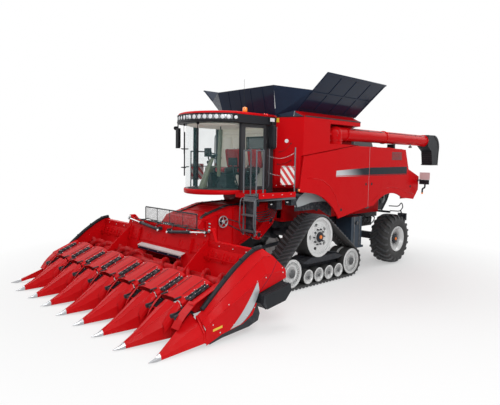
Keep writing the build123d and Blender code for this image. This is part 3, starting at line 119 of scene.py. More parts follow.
# ---------------------------------------------------------------- drafts
class Draft:
    """The faces of one piece while it is drawn."""

    def __init__(self) -> None:
        """Start empty."""
        self.points: list[Vector] = []
        self.faces: list[tuple[int, ...]] = []
        self.smooth: list[bool] = []

    def add(self, points: Iterable[Sequence[float]], faces: Iterable[Sequence[int]],
            smooth: bool = False) -> None:
        """Add points and the faces between them.

        Args:
            points: corners of the new faces.
            faces: indices into points, one sequence a face.
            smooth: whether the faces are shaded smooth.
        """
        base = len(self.points)
        self.points.extend(Vector(p) for p in points)
        for face in faces:
            self.faces.append(tuple(base + i for i in face))
            self.smooth.append(smooth)

    def merge(self, other: "Draft", move: Matrix | None = None) -> None:
        """Add another draft's faces, moved by a matrix.

        Args:
            other: the draft whose faces are added.
            move: a matrix that places them, or None.
        """
        points = other.points if move is None else [move @ p for p in other.points]
        base = len(self.points)
        self.points.extend(points)
        self.faces.extend(tuple(base + i for i in face) for face in other.faces)
        self.smooth.extend(other.smooth)

    def flipped(self) -> "Draft":
        """Return the same draft on the other side of the machine.

        Returns:
            The mirrored draft.
        """
        twin = Draft()
        twin.points = [Vector((-p.x, p.y, p.z)) for p in self.points]
        twin.faces = [tuple(reversed(face)) for face in self.faces]
        twin.smooth = list(self.smooth)
        return twin

    def both(self) -> "Draft":
        """Return this draft together with its twin on the other side.

        Returns:
            A draft that holds both.
        """
        whole = Draft()
        whole.merge(self)
        whole.merge(self.flipped())
        return whole

    def on(self, side: Side) -> "Draft":
        """Return the draft, drawn for the left, for one side."""
        return self if side is Side.LEFT else self.flipped()

    def loft(self, rings: Sequence[Sequence[Sequence[float]]], caps: bool = True, smooth: bool = False,
             closed: bool = False) -> None:
        """Join rings of as many points each into a skin.

        Args:
            rings: the cross-sections, in order.
            caps: whether the first and last ring are closed with a face.
            smooth: whether the skin is shaded smooth.
            closed: whether the last ring joins the first.
        """
        size = len(rings[0])
        points = [p for ring in rings for p in ring]
        faces = []
        for k in range(len(rings) if closed else len(rings) - 1):
            here, there = k * size, (k + 1) % len(rings) * size
            faces += [(here + i, here + (i + 1) % size, there + (i + 1) % size, there + i)
                      for i in range(size)]
        self.add(points, faces, smooth)
        if caps and not closed:
            self.add(rings[0], [tuple(reversed(range(size)))])
            self.add(rings[-1], [tuple(range(size))])

    def prism(self, outline: Sequence[Sequence[float]], along: Sequence[float]) -> None:
        """Sweep a flat outline straight along a vector."""
        step = Vector(along)
        self.loft([[Vector(p) for p in outline], [Vector(p) + step for p in outline]])

    def box(self, low: Point, high: Point, turn: Matrix | None = None) -> None:
        """Add a box, turned about its own middle when turn is given.

        Args:
            low: its lowest corner.
            high: its highest corner.
            turn: a rotation about its middle, or None.
        """
        x0, y0, z0 = low
        x1, y1, z1 = high
        ring = [Vector(p) for p in ((x0, y0, z0), (x1, y0, z0), (x1, y1, z0), (x0, y1, z0))]
        top = [p + Vector((0, 0, z1 - z0)) for p in ring]
        if turn is not None:
            middle = (Vector(low) + Vector(high)) / 2
            ring, top = ([middle + turn @ (p - middle) for p in half] for half in (ring, top))
        self.loft([ring, top])

    def bar(self, start: Sequence[float], end: Sequence[float], wide: float, high: float,
            up: Vector = Z_AXIS) -> None:
        """Add a straight bar of rectangular section between two points.

        Args:
            start: middle of one end.
            end: middle of the other end.
            wide: size across the bar, square to up.
            high: size of its section toward up.
            up: the direction that high is measured along.
        """
        a, b = Vector(start), Vector(end)
        along = (b - a).normalized()
        side = along.cross(up).normalized() * wide / 2
        rise = side.normalized().cross(along) * high / 2
        self.loft([[p + s * side + r * rise for s, r in ((-1, -1), (1, -1), (1, 1), (-1, 1))]
                   for p in (a, b)])

    def tube(self, path: Sequence[Sequence[float]], radius: float, sides: int = 10,
             closed: bool = False) -> None:
        """Sweep a round section along a line of points.

        Args:
            path: points of its middle line.
            radius: radius of its section.
            sides: faces round it.
            closed: whether the line runs back to its start.
        """
        line = [Vector(p) for p in path]
        count = len(line)
        rings = []
        normal = None
        for i, point in enumerate(line):
            before = line[i - 1] if i or closed else point
            after = line[(i + 1) % count] if i < count - 1 or closed else point
            along = (after - before).normalized()
            if normal is None:
                normal = along.orthogonal().normalized()
            normal = (normal - along * normal.dot(along)).normalized()
            other = along.cross(normal)
            stretch = 1.0
            if point is not before and point is not after:
                half = (point - before).angle(after - point, 0.0) / 2
                stretch = 1 / max(0.5, math.cos(half))
            bend = ((after - point).normalized() - (point - before).normalized()) if stretch > 1.001 else None
            ring = []
            for k in range(sides):
                turn = 2 * math.pi * k / sides
                arm = (normal * math.cos(turn) + other * math.sin(turn)) * radius
                if bend is not None and bend.length > 1e-6:
                    arm += bend.normalized() * arm.dot(bend.normalized()) * (stretch - 1)
                ring.append(point + arm)
            rings.append(ring)
        self.loft(rings, caps=not closed, smooth=True, closed=closed)

    def lathe(self, centre: Sequence[float], axis: Vector, profile: Sequence[Flat], sides: int = 32,
              smooth: bool = True, ring: bool = False) -> None:
        """Turn a profile about an axis.

        Args:
            centre: a point of the axis.
            axis: its direction, of length 1.
            profile: (radius, distance along the axis) pairs.
            sides: how many faces go round.
            smooth: whether the skin is shaded smooth.
            ring: whether the profile closes on itself, for a piece with a hole.
        """
        middle = Vector(centre)
        first = axis.orthogonal().normalized()
        second = axis.cross(first)
        rings = []
        for radius, along in profile:
            around = []
            for k in range(sides):
                turn = 2 * math.pi * k / sides
                around.append(middle + axis * along + (first * math.cos(turn) + second * math.sin(turn))
                              * radius)
            rings.append(around)
        self.loft(rings, caps=not ring, smooth=smooth, closed=ring)

    def rod(self, start: Sequence[float], end: Sequence[float], radius: float, sides: int = 16) -> None:
        """Add a straight round bar with softened ends.

        Args:
            start: middle of one end.
            end: middle of the other end.
            radius: its radius.
            sides: faces round it.
        """
        a, b = Vector(start), Vector(end)
        long, soft = (b - a).length, min(radius * 0.15, 0.004)
        profile = [(radius - soft, 0), (radius, soft), (radius, long - soft), (radius - soft, long)]
        self.lathe(a, (b - a).normalized(), profile, sides)

    def head(self, place: Sequence[float], axis: Vector, radius: float, high: float, crown: float,
             top: float) -> None:
        """Add one hexagon bolt head."""
        self.lathe(place, axis, [(radius, 0.0), (radius, high), (crown, top)], 6, smooth=False)

    def bolts(self, centre: Sequence[float], axis: Vector, ring: float, count: int, radius: float,
              high: float, start: float = 0.0) -> None:
        """Add a ring of hexagon bolt heads about an axis.

        Args:
            centre: the ring's middle, under the heads.
            axis: the way that the heads point, of length 1.
            ring: radius of the ring.
            count: how many heads.
            radius: radius of a head.
            high: height of a head.
            start: the first head's angle, in radians.
        """
        first = Y_AXIS if abs(axis.y) < 0.5 else X_AXIS
        second = axis.cross(first)
        for k in range(count):
            turn = 2 * math.pi * k / count + start
            place = Vector(centre) + (first * math.cos(turn) + second * math.sin(turn)) * ring
            self.lathe(place, axis, [(radius, -0.002), (radius, high * 0.8), (radius * 0.8, high)], 6,
                       smooth=False)


def rounded(corners: Sequence[Sequence[float]], radius: float, steps: int = 5) -> list[Vector]:
    """Return a line of points with its inner corners rounded.

    Args:
        corners: the line's corner points.
        radius: how far from a corner its rounding starts.
        steps: faces round each corner.

    Returns:
        The rounded line's points.
    """
    line = [Vector(c) for c in corners]
    made = [line[0]]
    for before, here, after in zip(line, line[1:], line[2:]):
        reach = min(radius, (here - before).length * 0.45, (after - here).length * 0.45)
        start = here + (before - here).normalized() * reach
        end = here + (after - here).normalized() * reach
        for i in range(steps + 1):
            t = i / steps
            made.append(start * (1 - t) ** 2 + here * 2 * t * (1 - t) + end * t ** 2)
    return made + [line[-1]]


def settle(place: Point, angle: float, axis: str) -> Matrix:
    """Return the matrix that turns a draft about one of its axes and then moves it to its place."""
    return Matrix.Translation(Vector(place)) @ Matrix.Rotation(angle, 4, axis)


def spoke(angle: float) -> tuple[Vector, Vector]:
    """Return the directions out along a wheel's spoke and across it, for a wheel that turns about X."""
    return Vector((0, math.cos(angle), math.sin(angle))), Vector((0, -math.sin(angle), math.cos(angle)))


def sagging(start: Sequence[float], end: Sequence[float], sag: float, count: int = 14) -> list[Vector]:
    """Return a line hanging between two points."""
    a, b = Vector(start), Vector(end)
    return [a.lerp(b, i / count) - Z_AXIS * sag * 4 * (i / count) * (1 - i / count) for i in range(count + 1)]


# ---------------------------------------------------------------- finishes
class Effect(Enum):
    """Shader node groups that several finishes share."""

    SURFACE = "surface_detail"
    FIELD_DUST = "field_dust"
    EDGE_RUB = "edge_rub"


def socket(tree: bpy.types.NodeTree, name: str, kind: str, default: object = None, out: bool = False) -> None:
    """Give a node group one named input or output.

    Args:
        tree: the group's node tree.
        name: the socket's name.
        kind: its type.
        default: its value until it is linked, or None.
        out: whether it is an output.
    """
    made = tree.interface.new_socket(name, in_out="OUTPUT" if out else "INPUT",
                                     socket_type=f"NodeSocket{kind}")
    if default is not None:
        made.default_value = default


class Wires:
    """Short calls for building one node tree."""

    def __init__(self, tree: bpy.types.NodeTree) -> None:
        """Keep the tree that is being wired."""
        self.tree = tree

    def node(self, kind: str, links: dict[str | int, object] | None = None,
             **settings: object) -> bpy.types.Node:
        """Add a node, set its properties and feed its inputs.

        Args:
            kind: the node's type without its ShaderNode prefix, or NodeGroup names.
            links: input name or index to a value or to an output socket.
            settings: the node's own properties.

        Returns:
            The new node.
        """
        prefix = "" if kind.startswith("NodeGroup") else "ShaderNode"
        made = self.tree.nodes.new(prefix + kind)
        for key, value in settings.items():
            setattr(made, key, value)
        for key, value in (links or {}).items():
            if isinstance(value, bpy.types.NodeSocket):
                self.tree.links.new(value, made.inputs[key])
            else:
                made.inputs[key].default_value = value
        return made

    def math(self, operation: str, a: object, b: object = 0.0, clamp: bool = False) -> bpy.types.NodeSocket:
        """Return the result of one math node."""
        return self.node("Math", {0: a, 1: b}, operation=operation, use_clamp=clamp).outputs[0]

    def mix(self, share: object, a: object, b: object) -> bpy.types.NodeSocket:
        """Return a mix of two colours.

        Args:
            share: how much of the second colour shows.
            a: the first colour.
            b: the second colour.

        Returns:
            The socket with the mixed colour.
        """
        made = self.node("Mix", data_type="RGBA")
        for index, value in ((0, share), (6, a), (7, b)):
            if isinstance(value, bpy.types.NodeSocket):
                self.tree.links.new(value, made.inputs[index])
            else:
                made.inputs[index].default_value = value
        return made.outputs[2]

    def ramp(self, value: object, low: float, high: float) -> bpy.types.NodeSocket:
        """Return value spread from low..high to 0..1, held at its ends."""
        return self.node("MapRange", {0: value, 1: low, 2: high}).outputs[0]


def new_group(effect: Effect) -> Wires:
    """Return the empty tree of a shared effect."""
    return Wires(bpy.data.node_groups.new(effect.value, "ShaderNodeTree"))


def build_surface_detail() -> None:
    """Colour drift, roughness drift and fine grain of any painted, cast or moulded face."""
    wires = new_group(Effect.SURFACE)
    tree = wires.tree
    socket(tree, "Colour", "Color")
    socket(tree, "Drift", "Float", 0.05)
    socket(tree, "Roughness", "Float", 0.4)
    socket(tree, "Grain Scale", "Float", 60.0)
    socket(tree, "Colour", "Color", out=True)
    socket(tree, "Roughness", "Float", out=True)
    socket(tree, "Height", "Float", out=True)
    source = wires.node("NodeGroupInput").outputs
    place = wires.node("TexCoord").outputs["Object"]
    broad = wires.node("TexNoise", {"Vector": place, "Scale": 1.7, "Detail": 3.0}).outputs[0]
    fine = wires.node("TexNoise", {"Vector": place, "Scale": source["Grain Scale"], "Detail": 2.0}).outputs[0]
    swing = wires.math("MULTIPLY", wires.math("SUBTRACT", broad, 0.5), source["Drift"])
    bright = wires.math("ADD", wires.math("MULTIPLY", swing, 2.0), 1.0)
    shade = wires.node("VectorMath", {0: source["Colour"], 3: bright}, operation="SCALE").outputs[0]
    rough = wires.math("ADD", source["Roughness"], wires.math("MULTIPLY", swing, 1.2))
    rough = wires.math("ADD", rough, wires.math("MULTIPLY", wires.math("SUBTRACT", fine, 0.5), 0.06),
                       clamp=True)
    wires.node("NodeGroupOutput", {"Colour": shade, "Roughness": rough, "Height": fine})


def build_field_dust() -> None:
    """A mask of pale dust that gathers low down and on faces that look up."""
    wires = new_group(Effect.FIELD_DUST)
    tree = wires.tree
    socket(tree, "Amount", "Float", 0.2)
    socket(tree, "Top Height", "Float", 1.0)
    socket(tree, "Mask", "Float", out=True)
    source = wires.node("NodeGroupInput").outputs
    place = wires.node("TexCoord").outputs["Object"]
    high = wires.node("SeparateXYZ", {0: place}).outputs[2]
    up = wires.node("SeparateXYZ", {0: wires.node("NewGeometry").outputs["Normal"]}).outputs[2]
    patchy = wires.node("TexNoise",
                        {"Vector": place, "Scale": 5.0, "Detail": 6.0, "Roughness": 0.65}).outputs[0]
    low_down = wires.math("SUBTRACT", 1.0, wires.math("DIVIDE", high, source["Top Height"]), clamp=True)
    spread = wires.math("ADD", wires.math("MULTIPLY", low_down, 0.7), wires.math("MULTIPLY", up, 0.25),
                        clamp=True)
    mask = wires.math("MULTIPLY", wires.math("MULTIPLY", spread, wires.ramp(patchy, 0.35, 0.75)),
                      source["Amount"])
    wires.node("NodeGroupOutput", {"Mask": mask})


def build_edge_rub() -> None:
    """A mask of corners that hands, boots and stalks rub bare."""
    wires = new_group(Effect.EDGE_RUB)
    tree = wires.tree
    socket(tree, "Amount", "Float", 0.3)
    socket(tree, "Mask", "Float", out=True)
    source = wires.node("NodeGroupInput").outputs
    place = wires.node("TexCoord").outputs["Object"]
    sharp = wires.ramp(wires.node("NewGeometry").outputs["Pointiness"], 0.53, 0.6)
    patchy = wires.node("TexNoise", {"Vector": place, "Scale": 14.0, "Detail": 4.0}).outputs[0]
    mask = wires.math("MULTIPLY", wires.math("MULTIPLY", sharp, wires.ramp(patchy, 0.45, 0.62)),
                      source["Amount"])
    wires.node("NodeGroupOutput", {"Mask": mask})


DUST_COLOUR = (0.30, 0.25, 0.19, 1.0)
BARE_METAL = (0.42, 0.42, 0.43, 1.0)


@dataclass(frozen=True)
class Finish:
    """One opaque finish: paint, plastic, rubber, cast metal or cloth."""

    name: str
    colour: Colour
    slot: str
    roughness: float = 0.4
    metallic: float = 0.0
    coat: float = 0.0
    drift: float = 0.05
    grain_scale: float = 60.0
    grain_depth: float = 0.0006
    dust: float = 0.12
    dust_top: float = 1.2
    rub: float = 0.0
    # Emission in the finish's own colour: lamps glow by it, and on the cab lining it is painted light.
    glow: float = 0.0
    specular: float = 0.5
    extra: Callable[[Wires, bpy.types.Node, bpy.types.NodeSocket], None] | None = None

    def material(self) -> bpy.types.Material:
        """Return this finish's material, built on first use."""
        known = bpy.data.materials.get(self.name)
        return known if known is not None else self.build()

    def build(self) -> bpy.types.Material:
        """Wire the material's nodes.

        Returns:
            The new material.
        """
        made = bpy.data.materials.new(self.name)
        made.use_nodes = True
        made.node_tree.nodes.clear()
        wires = Wires(made.node_tree)
        detail = wires.node("Group", node_tree=bpy.data.node_groups[Effect.SURFACE.value])
        detail.inputs["Colour"].default_value = (*self.colour, 1.0)
        detail.inputs["Drift"].default_value = self.drift
        detail.inputs["Roughness"].default_value = self.roughness
        detail.inputs["Grain Scale"].default_value = self.grain_scale
        colour, rough = detail.outputs["Colour"], detail.outputs["Roughness"]
        metal: object = self.metallic
        if self.rub:
            rub = wires.node("Group", node_tree=bpy.data.node_groups[Effect.EDGE_RUB.value])
            rub.inputs["Amount"].default_value = self.rub
            colour = wires.mix(rub.outputs["Mask"], colour, BARE_METAL)
        if self.dust:
            dust = wires.node("Group", node_tree=bpy.data.node_groups[Effect.FIELD_DUST.value])
            dust.inputs["Amount"].default_value = self.dust
            dust.inputs["Top Height"].default_value = self.dust_top
            colour = wires.mix(dust.outputs["Mask"], colour, DUST_COLOUR)
            rough = wires.math("ADD", rough, wires.math("MULTIPLY", dust.outputs["Mask"], 0.4), clamp=True)
        bump = wires.node("Bump", {"Height": detail.outputs["Height"], "Distance": self.grain_depth,
                                   "Strength": 0.6})
        shader = wires.node("BsdfPrincipled", {"Base Color": colour, "Roughness": rough, "Metallic": metal,
                                               "Coat Weight": self.coat, "Coat Roughness": 0.06,
                                               "Specular IOR Level": self.specular,
                                               "Normal": bump.outputs[0]})
        if self.glow:
            shader.inputs["Emission Color"].default_value = (*self.colour, 1.0)
            shader.inputs["Emission Strength"].default_value = self.glow
        if self.extra is not None:
            self.extra(wires, shader, colour)
        wires.node("OutputMaterial", {"Surface": shader.outputs[0]})
        made.diffuse_color = (*self.colour, 1.0)
        return made


@dataclass(frozen=True)
class Glazing:
    """Clear or tinted glass, thin enough to show what is behind it."""

    name: str
    tint: Colour
    slot: str
    alpha: float = 0.14

    def material(self) -> bpy.types.Material:
        """Return this glass's material, built on first use.

        Returns:
            The material.
        """
        known = bpy.data.materials.get(self.name)
        if known is not None:
            return known
        made = bpy.data.materials.new(self.name)
        made.use_nodes = True
        made.node_tree.nodes.clear()
        wires = Wires(made.node_tree)
        place = wires.node("TexCoord").outputs["Object"]
        smear = wires.node("TexNoise", {"Vector": place, "Scale": 3.0, "Detail": 5.0}).outputs[0]
        rough = wires.math("ADD", wires.math("MULTIPLY", wires.ramp(smear, 0.5, 0.9), 0.08), 0.02)
        weight = wires.math("ADD", wires.math("MULTIPLY", wires.ramp(smear, 0.45, 0.95), 0.04), self.alpha)
        shader = wires.node("BsdfPrincipled", {"Base Color": (*self.tint, 1.0), "Roughness": rough,
                                               "Alpha": weight, "Specular IOR Level": 0.2})
        wires.node("OutputMaterial", {"Surface": shader.outputs[0]})
        return made


RED_PAINT = Finish("red_gloss_paint", (0.62, 0.004, 0.007), "red_paint", 0.34, coat=0.02, drift=0.05,
                   dust=0.02, specular=0.04)
RED_PANEL = Finish("red_panel_gloss", (0.63, 0.004, 0.007), "red_panels", 0.28, coat=0.03, drift=0.04,
                   dust=0.015, specular=0.04)
RED_SNOUT = Finish("red_snout_plastic", (0.58, 0.005, 0.008), "red_snouts", 0.32, coat=0.03, drift=0.10,
                   grain_scale=180.0, dust=0.05, dust_top=0.4, specular=0.07)
RED_HOOD = Finish("red_hood_gloss", (0.62, 0.004, 0.007), "red_hood", 0.32, coat=0.02, drift=0.04, dust=0.015,
                  specular=0.04)
RED_AUGER = Finish("red_auger_steel", (0.50, 0.006, 0.009), "auger_steel", 0.38, coat=0.02, drift=0.12,
                   dust=0.04, rub=0.08, specular=0.08)
BLACK_FRAME = Finish("black_frame_paint", (0.022, 0.025, 0.032), "black_frame", 0.45, coat=0.03, drift=0.12,
                     dust=0.12, rub=0.15, specular=0.15)
BLACK_COVER = Finish("black_cover_gloss", (0.008, 0.017, 0.040), "black_cover", 0.14, coat=0.02, drift=0.2,
                     dust=0.01, specular=0.12)
BLACK_PLASTIC = Finish("black_moulded_plastic", (0.016, 0.018, 0.022), "black_plastic", 0.46,
                       grain_scale=300.0, drift=0.08, dust=0.05, specular=0.15)
CAB_FRAME = Finish("cab_frame_paint", (0.035, 0.036, 0.04), "cab_structure", 0.38, coat=0.1, dust=0.02,
                   specular=0.25)
CONTROL_GREY = Finish("control_grey_plastic", (0.22, 0.23, 0.18), "cab_trim", 0.55, grain_scale=260.0,
                      dust=0.0)
SEAT_CLOTH = Finish("seat_red_cloth", (0.30, 0.012, 0.02), "seat_cloth", 0.85, grain_scale=420.0,
                    grain_depth=0.0015, dust=0.0)
# The belt's own black rubber, darkened further as painted shade between the bars.
TRACK_RUBBER = Finish("track_rubber", (0.010, 0.010, 0.012), "track_rubber", 0.62, grain_scale=90.0,
                      grain_depth=0.0012, drift=0.2, dust=0.08, dust_top=1.8, specular=0.12)
# The belt's bars are the belt's own rubber painted lighter: a painted highlight on their lit tops.
PAINTED_LIT_BAR_RUBBER = Finish("belt_bar_rubber", (0.062, 0.066, 0.074), "track_rubber", 0.46, grain_scale=90.0,
                    grain_depth=0.0010, drift=0.3, dust=0.12, dust_top=1.8, specular=0.4)
TYRE_RUBBER = Finish("tyre_rubber", (0.014, 0.015, 0.018), "tyre_rubber", 0.5, grain_scale=90.0,
                     grain_depth=0.0012, drift=0.2, dust=0.10, dust_top=1.6, specular=0.25)
# The tyre's bars are the tyre's own rubber painted lighter: a painted highlight on their lit tops.
TYRE_PAINTED_LIT_BAR_RUBBER = Finish("tyre_bar_rubber", (0.040, 0.043, 0.048), "tyre_rubber", 0.46, grain_scale=90.0,
                         grain_depth=0.0010, drift=0.3, dust=0.12, dust_top=1.6, specular=0.4)
SILVER = Finish("silver_wheel_paint", (0.70, 0.71, 0.71), "silver_wheels", 0.34, metallic=0.15, coat=0.2,
                drift=0.06, dust=0.18)
GREY_STEEL = Finish("grey_tube_paint", (0.30, 0.31, 0.32), "grey_steel", 0.36, metallic=0.5, drift=0.08,
                    dust=0.08)
SLATE_SHELL = Finish("slate_tank_shell", (0.020, 0.040, 0.066), "black_plastic", 0.36, coat=0.10, drift=0.25,
                     dust=0.22, specular=0.3)
PALE_SHEET = Finish("pale_fender_sheet", (0.50, 0.54, 0.55), "grey_steel", 0.45, drift=0.15, dust=0.15,
                    specular=0.2)
MARKER_BOARD = Finish("pale_marker_board", (0.66, 0.50, 0.50), "board_white", 0.4, drift=0.1, dust=0.12,
                      specular=0.2)
DARK_STEEL = Finish("dark_zinc_steel", (0.11, 0.115, 0.12), "grey_steel", 0.4, metallic=0.8, drift=0.12,
                    dust=0.12, rub=0.3)
BRIGHT_STEEL = Finish("bright_steel", (0.62, 0.63, 0.64), "grey_steel", 0.24, metallic=1.0, drift=0.06,
                      dust=0.06)
ENGINE_METAL = Finish("engine_casting", (0.13, 0.13, 0.13), "engine_metal", 0.6, metallic=0.4, drift=0.2,
                      grain_scale=120.0, grain_depth=0.002)
CAB_GLASS = Glazing("cab_clear_glass", (0.16, 0.36, 0.38), "cab_glazing", 0.055)


def stripe_fade(wires: Wires, shader: bpy.types.Node, colour: bpy.types.NodeSocket) -> None:
    """Fade a band from silver at its front to near black at its rear, with a brushed sheen.

    Args:
        wires: the finish's node tree.
        shader: the shader that the nodes feed.
        colour: the finish's colour so far.
    """
    place = wires.node("TexCoord").outputs["Object"]
    parts = wires.node("SeparateXYZ", {0: place}).outputs
    lean = wires.math("ADD", parts[1], wires.math("MULTIPLY", parts[2], 0.9))
    fade = wires.node("MapRange", {0: lean, 1: 2.95, 2: 4.15}, interpolation_type="SMOOTHSTEP").outputs[0]
    tone = wires.mix(fade, (0.66, 0.68, 0.70, 1.0), (0.006, 0.010, 0.018, 1.0))
    grain = wires.node("TexNoise", {"Vector": place, "Scale": 22.0, "Detail": 3.0}).outputs[0]
    tone = wires.mix(wires.math("MULTIPLY", grain, 0.08), tone, (0.10, 0.11, 0.13, 1.0))
    wires.tree.links.new(tone, shader.inputs["Base Color"])


def board_stripes(wires: Wires, shader: bpy.types.Node, colour: bpy.types.NodeSocket) -> None:
    """Paint red and white diagonal bars across a warning board.

    Args:
        wires: the finish's node tree.
        shader: the shader that the nodes feed.
        colour: the finish's colour so far.
    """
    parts = wires.node("SeparateXYZ", {0: wires.node("TexCoord").outputs["Object"]}).outputs
    slant = wires.math("ADD", parts[1], parts[2])
    wave = wires.math("FRACT", wires.math("MULTIPLY", wires.math("ADD", slant, 0.06), 5.0))
    bar = wires.math("GREATER_THAN", wave, 0.5)
    wires.tree.links.new(wires.mix(bar, colour, (0.62, 0.012, 0.016, 1.0)), shader.inputs["Base Color"])


def tread_plate(wires: Wires, shader: bpy.types.Node, colour: bpy.types.NodeSocket) -> None:
    """Raise a non-slip pattern on a walking surface.

    Args:
        wires: the finish's node tree.
        shader: the shader that the nodes feed.
        colour: the finish's colour so far.
    """
    place = wires.node("TexCoord").outputs["Object"]
    cells = wires.node("TexVoronoi", {"Vector": place, "Scale": 34.0, "Randomness": 0.0})
    stud = wires.ramp(cells.outputs["Distance"], 0.42, 0.25)
    bump = wires.node("Bump", {"Height": stud, "Distance": 0.003, "Strength": 0.9})
    wires.tree.links.new(bump.outputs[0], shader.inputs["Normal"])
    worn = wires.mix(wires.math("MULTIPLY", stud, 0.55), colour, (0.34, 0.35, 0.36, 1.0))
    wires.tree.links.new(worn, shader.inputs["Base Color"])


def cloth_weave(wires: Wires, shader: bpy.types.Node, colour: bpy.types.NodeSocket) -> None:
    """Weave a fabric: crossing threads as bump and a soft sheen of tone.

    Args:
        wires: the finish's node tree.
        shader: the shader that the nodes feed.
        colour: the finish's colour so far.
    """
    place = wires.node("TexCoord").outputs["Object"]
    warp = wires.node("TexWave", {"Vector": place, "Scale": 130.0, "Distortion": 0.6},
                      bands_direction="X").outputs[1]
    weft = wires.node("TexWave", {"Vector": place, "Scale": 130.0, "Distortion": 0.6},
                      bands_direction="DIAGONAL").outputs[1]
    thread = wires.math("MAXIMUM", warp, weft)
    bump = wires.node("Bump", {"Height": thread, "Distance": 0.0014, "Strength": 0.8})
    wires.tree.links.new(bump.outputs[0], shader.inputs["Normal"])
    dark = wires.node("VectorMath", {0: colour, 3: 0.55}, operation="SCALE").outputs[0]
    wires.tree.links.new(wires.mix(wires.math("MULTIPLY", thread, 0.8), dark, colour),
                         shader.inputs["Base Color"])
    shader.inputs["Sheen Weight"].default_value = 0.35
    shader.inputs["Sheen Roughness"].default_value = 0.5


def leather_pores(wires: Wires, shader: bpy.types.Node, colour: bpy.types.NodeSocket) -> None:
    """Grain a leathery cover with fine creases between small cells.

    Args:
        wires: the finish's node tree.
        shader: the shader that the nodes feed.
        colour: the finish's colour so far.
    """
    place = wires.node("TexCoord").outputs["Object"]
    cells = wires.node("TexVoronoi", {"Vector": place, "Scale": 240.0},
                       feature="DISTANCE_TO_EDGE").outputs["Distance"]
    crease = wires.ramp(cells, 0.0, 0.12)
    bump = wires.node("Bump", {"Height": crease, "Distance": 0.0012, "Strength": 0.7})
    wires.tree.links.new(bump.outputs[0], shader.inputs["Normal"])


def mesh_holes(wires: Wires, shader: bpy.types.Node, colour: bpy.types.NodeSocket) -> None:
    """Darken and sink the small round holes of a perforated screen.

    Args:
        wires: the finish's node tree.
        shader: the shader that the nodes feed.
        colour: the finish's colour so far.
    """
    place = wires.node("TexCoord").outputs["Object"]
    cells = wires.node("TexVoronoi", {"Vector": place, "Scale": 62.0, "Randomness": 0.0}).outputs["Distance"]
    hole = wires.ramp(cells, 0.42, 0.34)
    wires.tree.links.new(wires.mix(hole, colour, (0.004, 0.004, 0.005, 1.0)), shader.inputs["Base Color"])
    bump = wires.node("Bump", {"Height": hole, "Distance": 0.002, "Strength": 1.0}, invert=True)
    wires.tree.links.new(bump.outputs[0], shader.inputs["Normal"])


ORANGE_CAP = Finish("orange_cap_plastic", (0.85, 0.20, 0.02), "silver_wheels", 0.38, grain_scale=200.0,
                    dust=0.08)
STRIPE_BAND = Finish("silver_to_black_band", (0.4, 0.4, 0.42), "red_panels", 0.26, coat=0.04, dust=0.0,
                     specular=0.1, extra=stripe_fade)
# Silver film on the dividers; on the side panels' seam the same finish is a painted highlight.
SILVER_FILM_AND_HIGHLIGHT = Finish("silver_accent_film", (0.50, 0.52, 0.54), "red_snouts", 0.3, metallic=0.45, coat=0.4,
                       dust=0.1, drift=0.12)
WARNING_SHEET = Finish("red_white_board_sheet", (0.80, 0.80, 0.78), "board_white", 0.32, dust=0.0,
                       extra=board_stripes)
TREAD_STEEL = Finish("tread_plate_steel", (0.16, 0.165, 0.17), "grey_steel", 0.5, metallic=0.4, dust=0.2,
                     dust_top=3.0, extra=tread_plate)
RAIL_GREY = Finish("handrail_grey_paint", (0.085, 0.095, 0.11), "grey_steel", 0.34, metallic=0.2, coat=0.2,
                   dust=0.03, rub=0.2)
SEAT_FABRIC = Finish("seat_red_fabric", (0.50, 0.012, 0.022), "seat_cloth", 0.85, grain_scale=420.0, dust=0.0,
                     extra=cloth_weave)
SEAT_LEATHER = Finish("seat_black_leather", (0.018, 0.018, 0.020), "seat_cloth", 0.5, grain_scale=300.0,
                      dust=0.0, extra=leather_pores)
# The lining's glow is painted light that lifts it out of the cab's shade; it is no lamp.
CREAM_TRIM_PAINTED_GLOW = Finish("cream_cab_lining", (0.80, 0.77, 0.68), "cab_trim", 0.65, grain_scale=320.0,
                    grain_depth=0.001, dust=0.0, glow=0.10)
OLIVE_PLASTIC = Finish("olive_column_plastic", (0.16, 0.18, 0.12), "cab_trim", 0.5, grain_scale=300.0,
                       dust=0.0)
SCREEN_GLASS = Finish("dark_monitor_screen", (0.006, 0.008, 0.012), "cab_trim", 0.08, coat=0.8, dust=0.0)
REAR_GLASS = Finish("grey_rear_window", (0.10, 0.12, 0.12), "cab_trim", 0.12, coat=0.3, dust=0.0)
FLOOR_MAT = Finish("ribbed_floor_mat", (0.012, 0.012, 0.013), "cab_trim", 0.75, grain_scale=90.0,
                   grain_depth=0.003, dust=0.1, dust_top=4.0)
LAMP_WHITE = Finish("white_lamp_lens", (0.72, 0.75, 0.78), "black_plastic", 0.10, coat=0.4, dust=0.0,
                    glow=0.12)
LAMP_CHROME = Finish("lamp_reflector", (0.34, 0.35, 0.37), "black_plastic", 0.22, metallic=0.8, dust=0.0,
                     drift=0.5)
LAMP_AMBER = Finish("amber_lens", (0.90, 0.24, 0.01), "black_plastic", 0.14, coat=0.7, dust=0.0, glow=0.25)
LAMP_RED = Finish("red_lens", (0.72, 0.01, 0.01), "black_plastic", 0.16, coat=0.7, dust=0.0, glow=0.15)
MIRROR_FACE = Finish("mirror_silver", (0.75, 0.77, 0.78), "black_plastic", 0.04, metallic=1.0, dust=0.0,
                     drift=0.02)
HOSE_RUBBER = Finish("hydraulic_hose_rubber", (0.014, 0.014, 0.016), "black_plastic", 0.5, grain_scale=260.0,
                     grain_depth=0.001, dust=0.15)
TIP_STEEL = Finish("polished_tip_steel", (0.46, 0.47, 0.49), "grey_steel", 0.32, metallic=0.75, dust=0.12,
                   drift=0.14, rub=0.2)
CHAIN_STEEL = Finish("gathering_chain_steel", (0.035, 0.037, 0.04), "grey_steel", 0.42, metallic=0.7,
                     dust=0.15, drift=0.2)
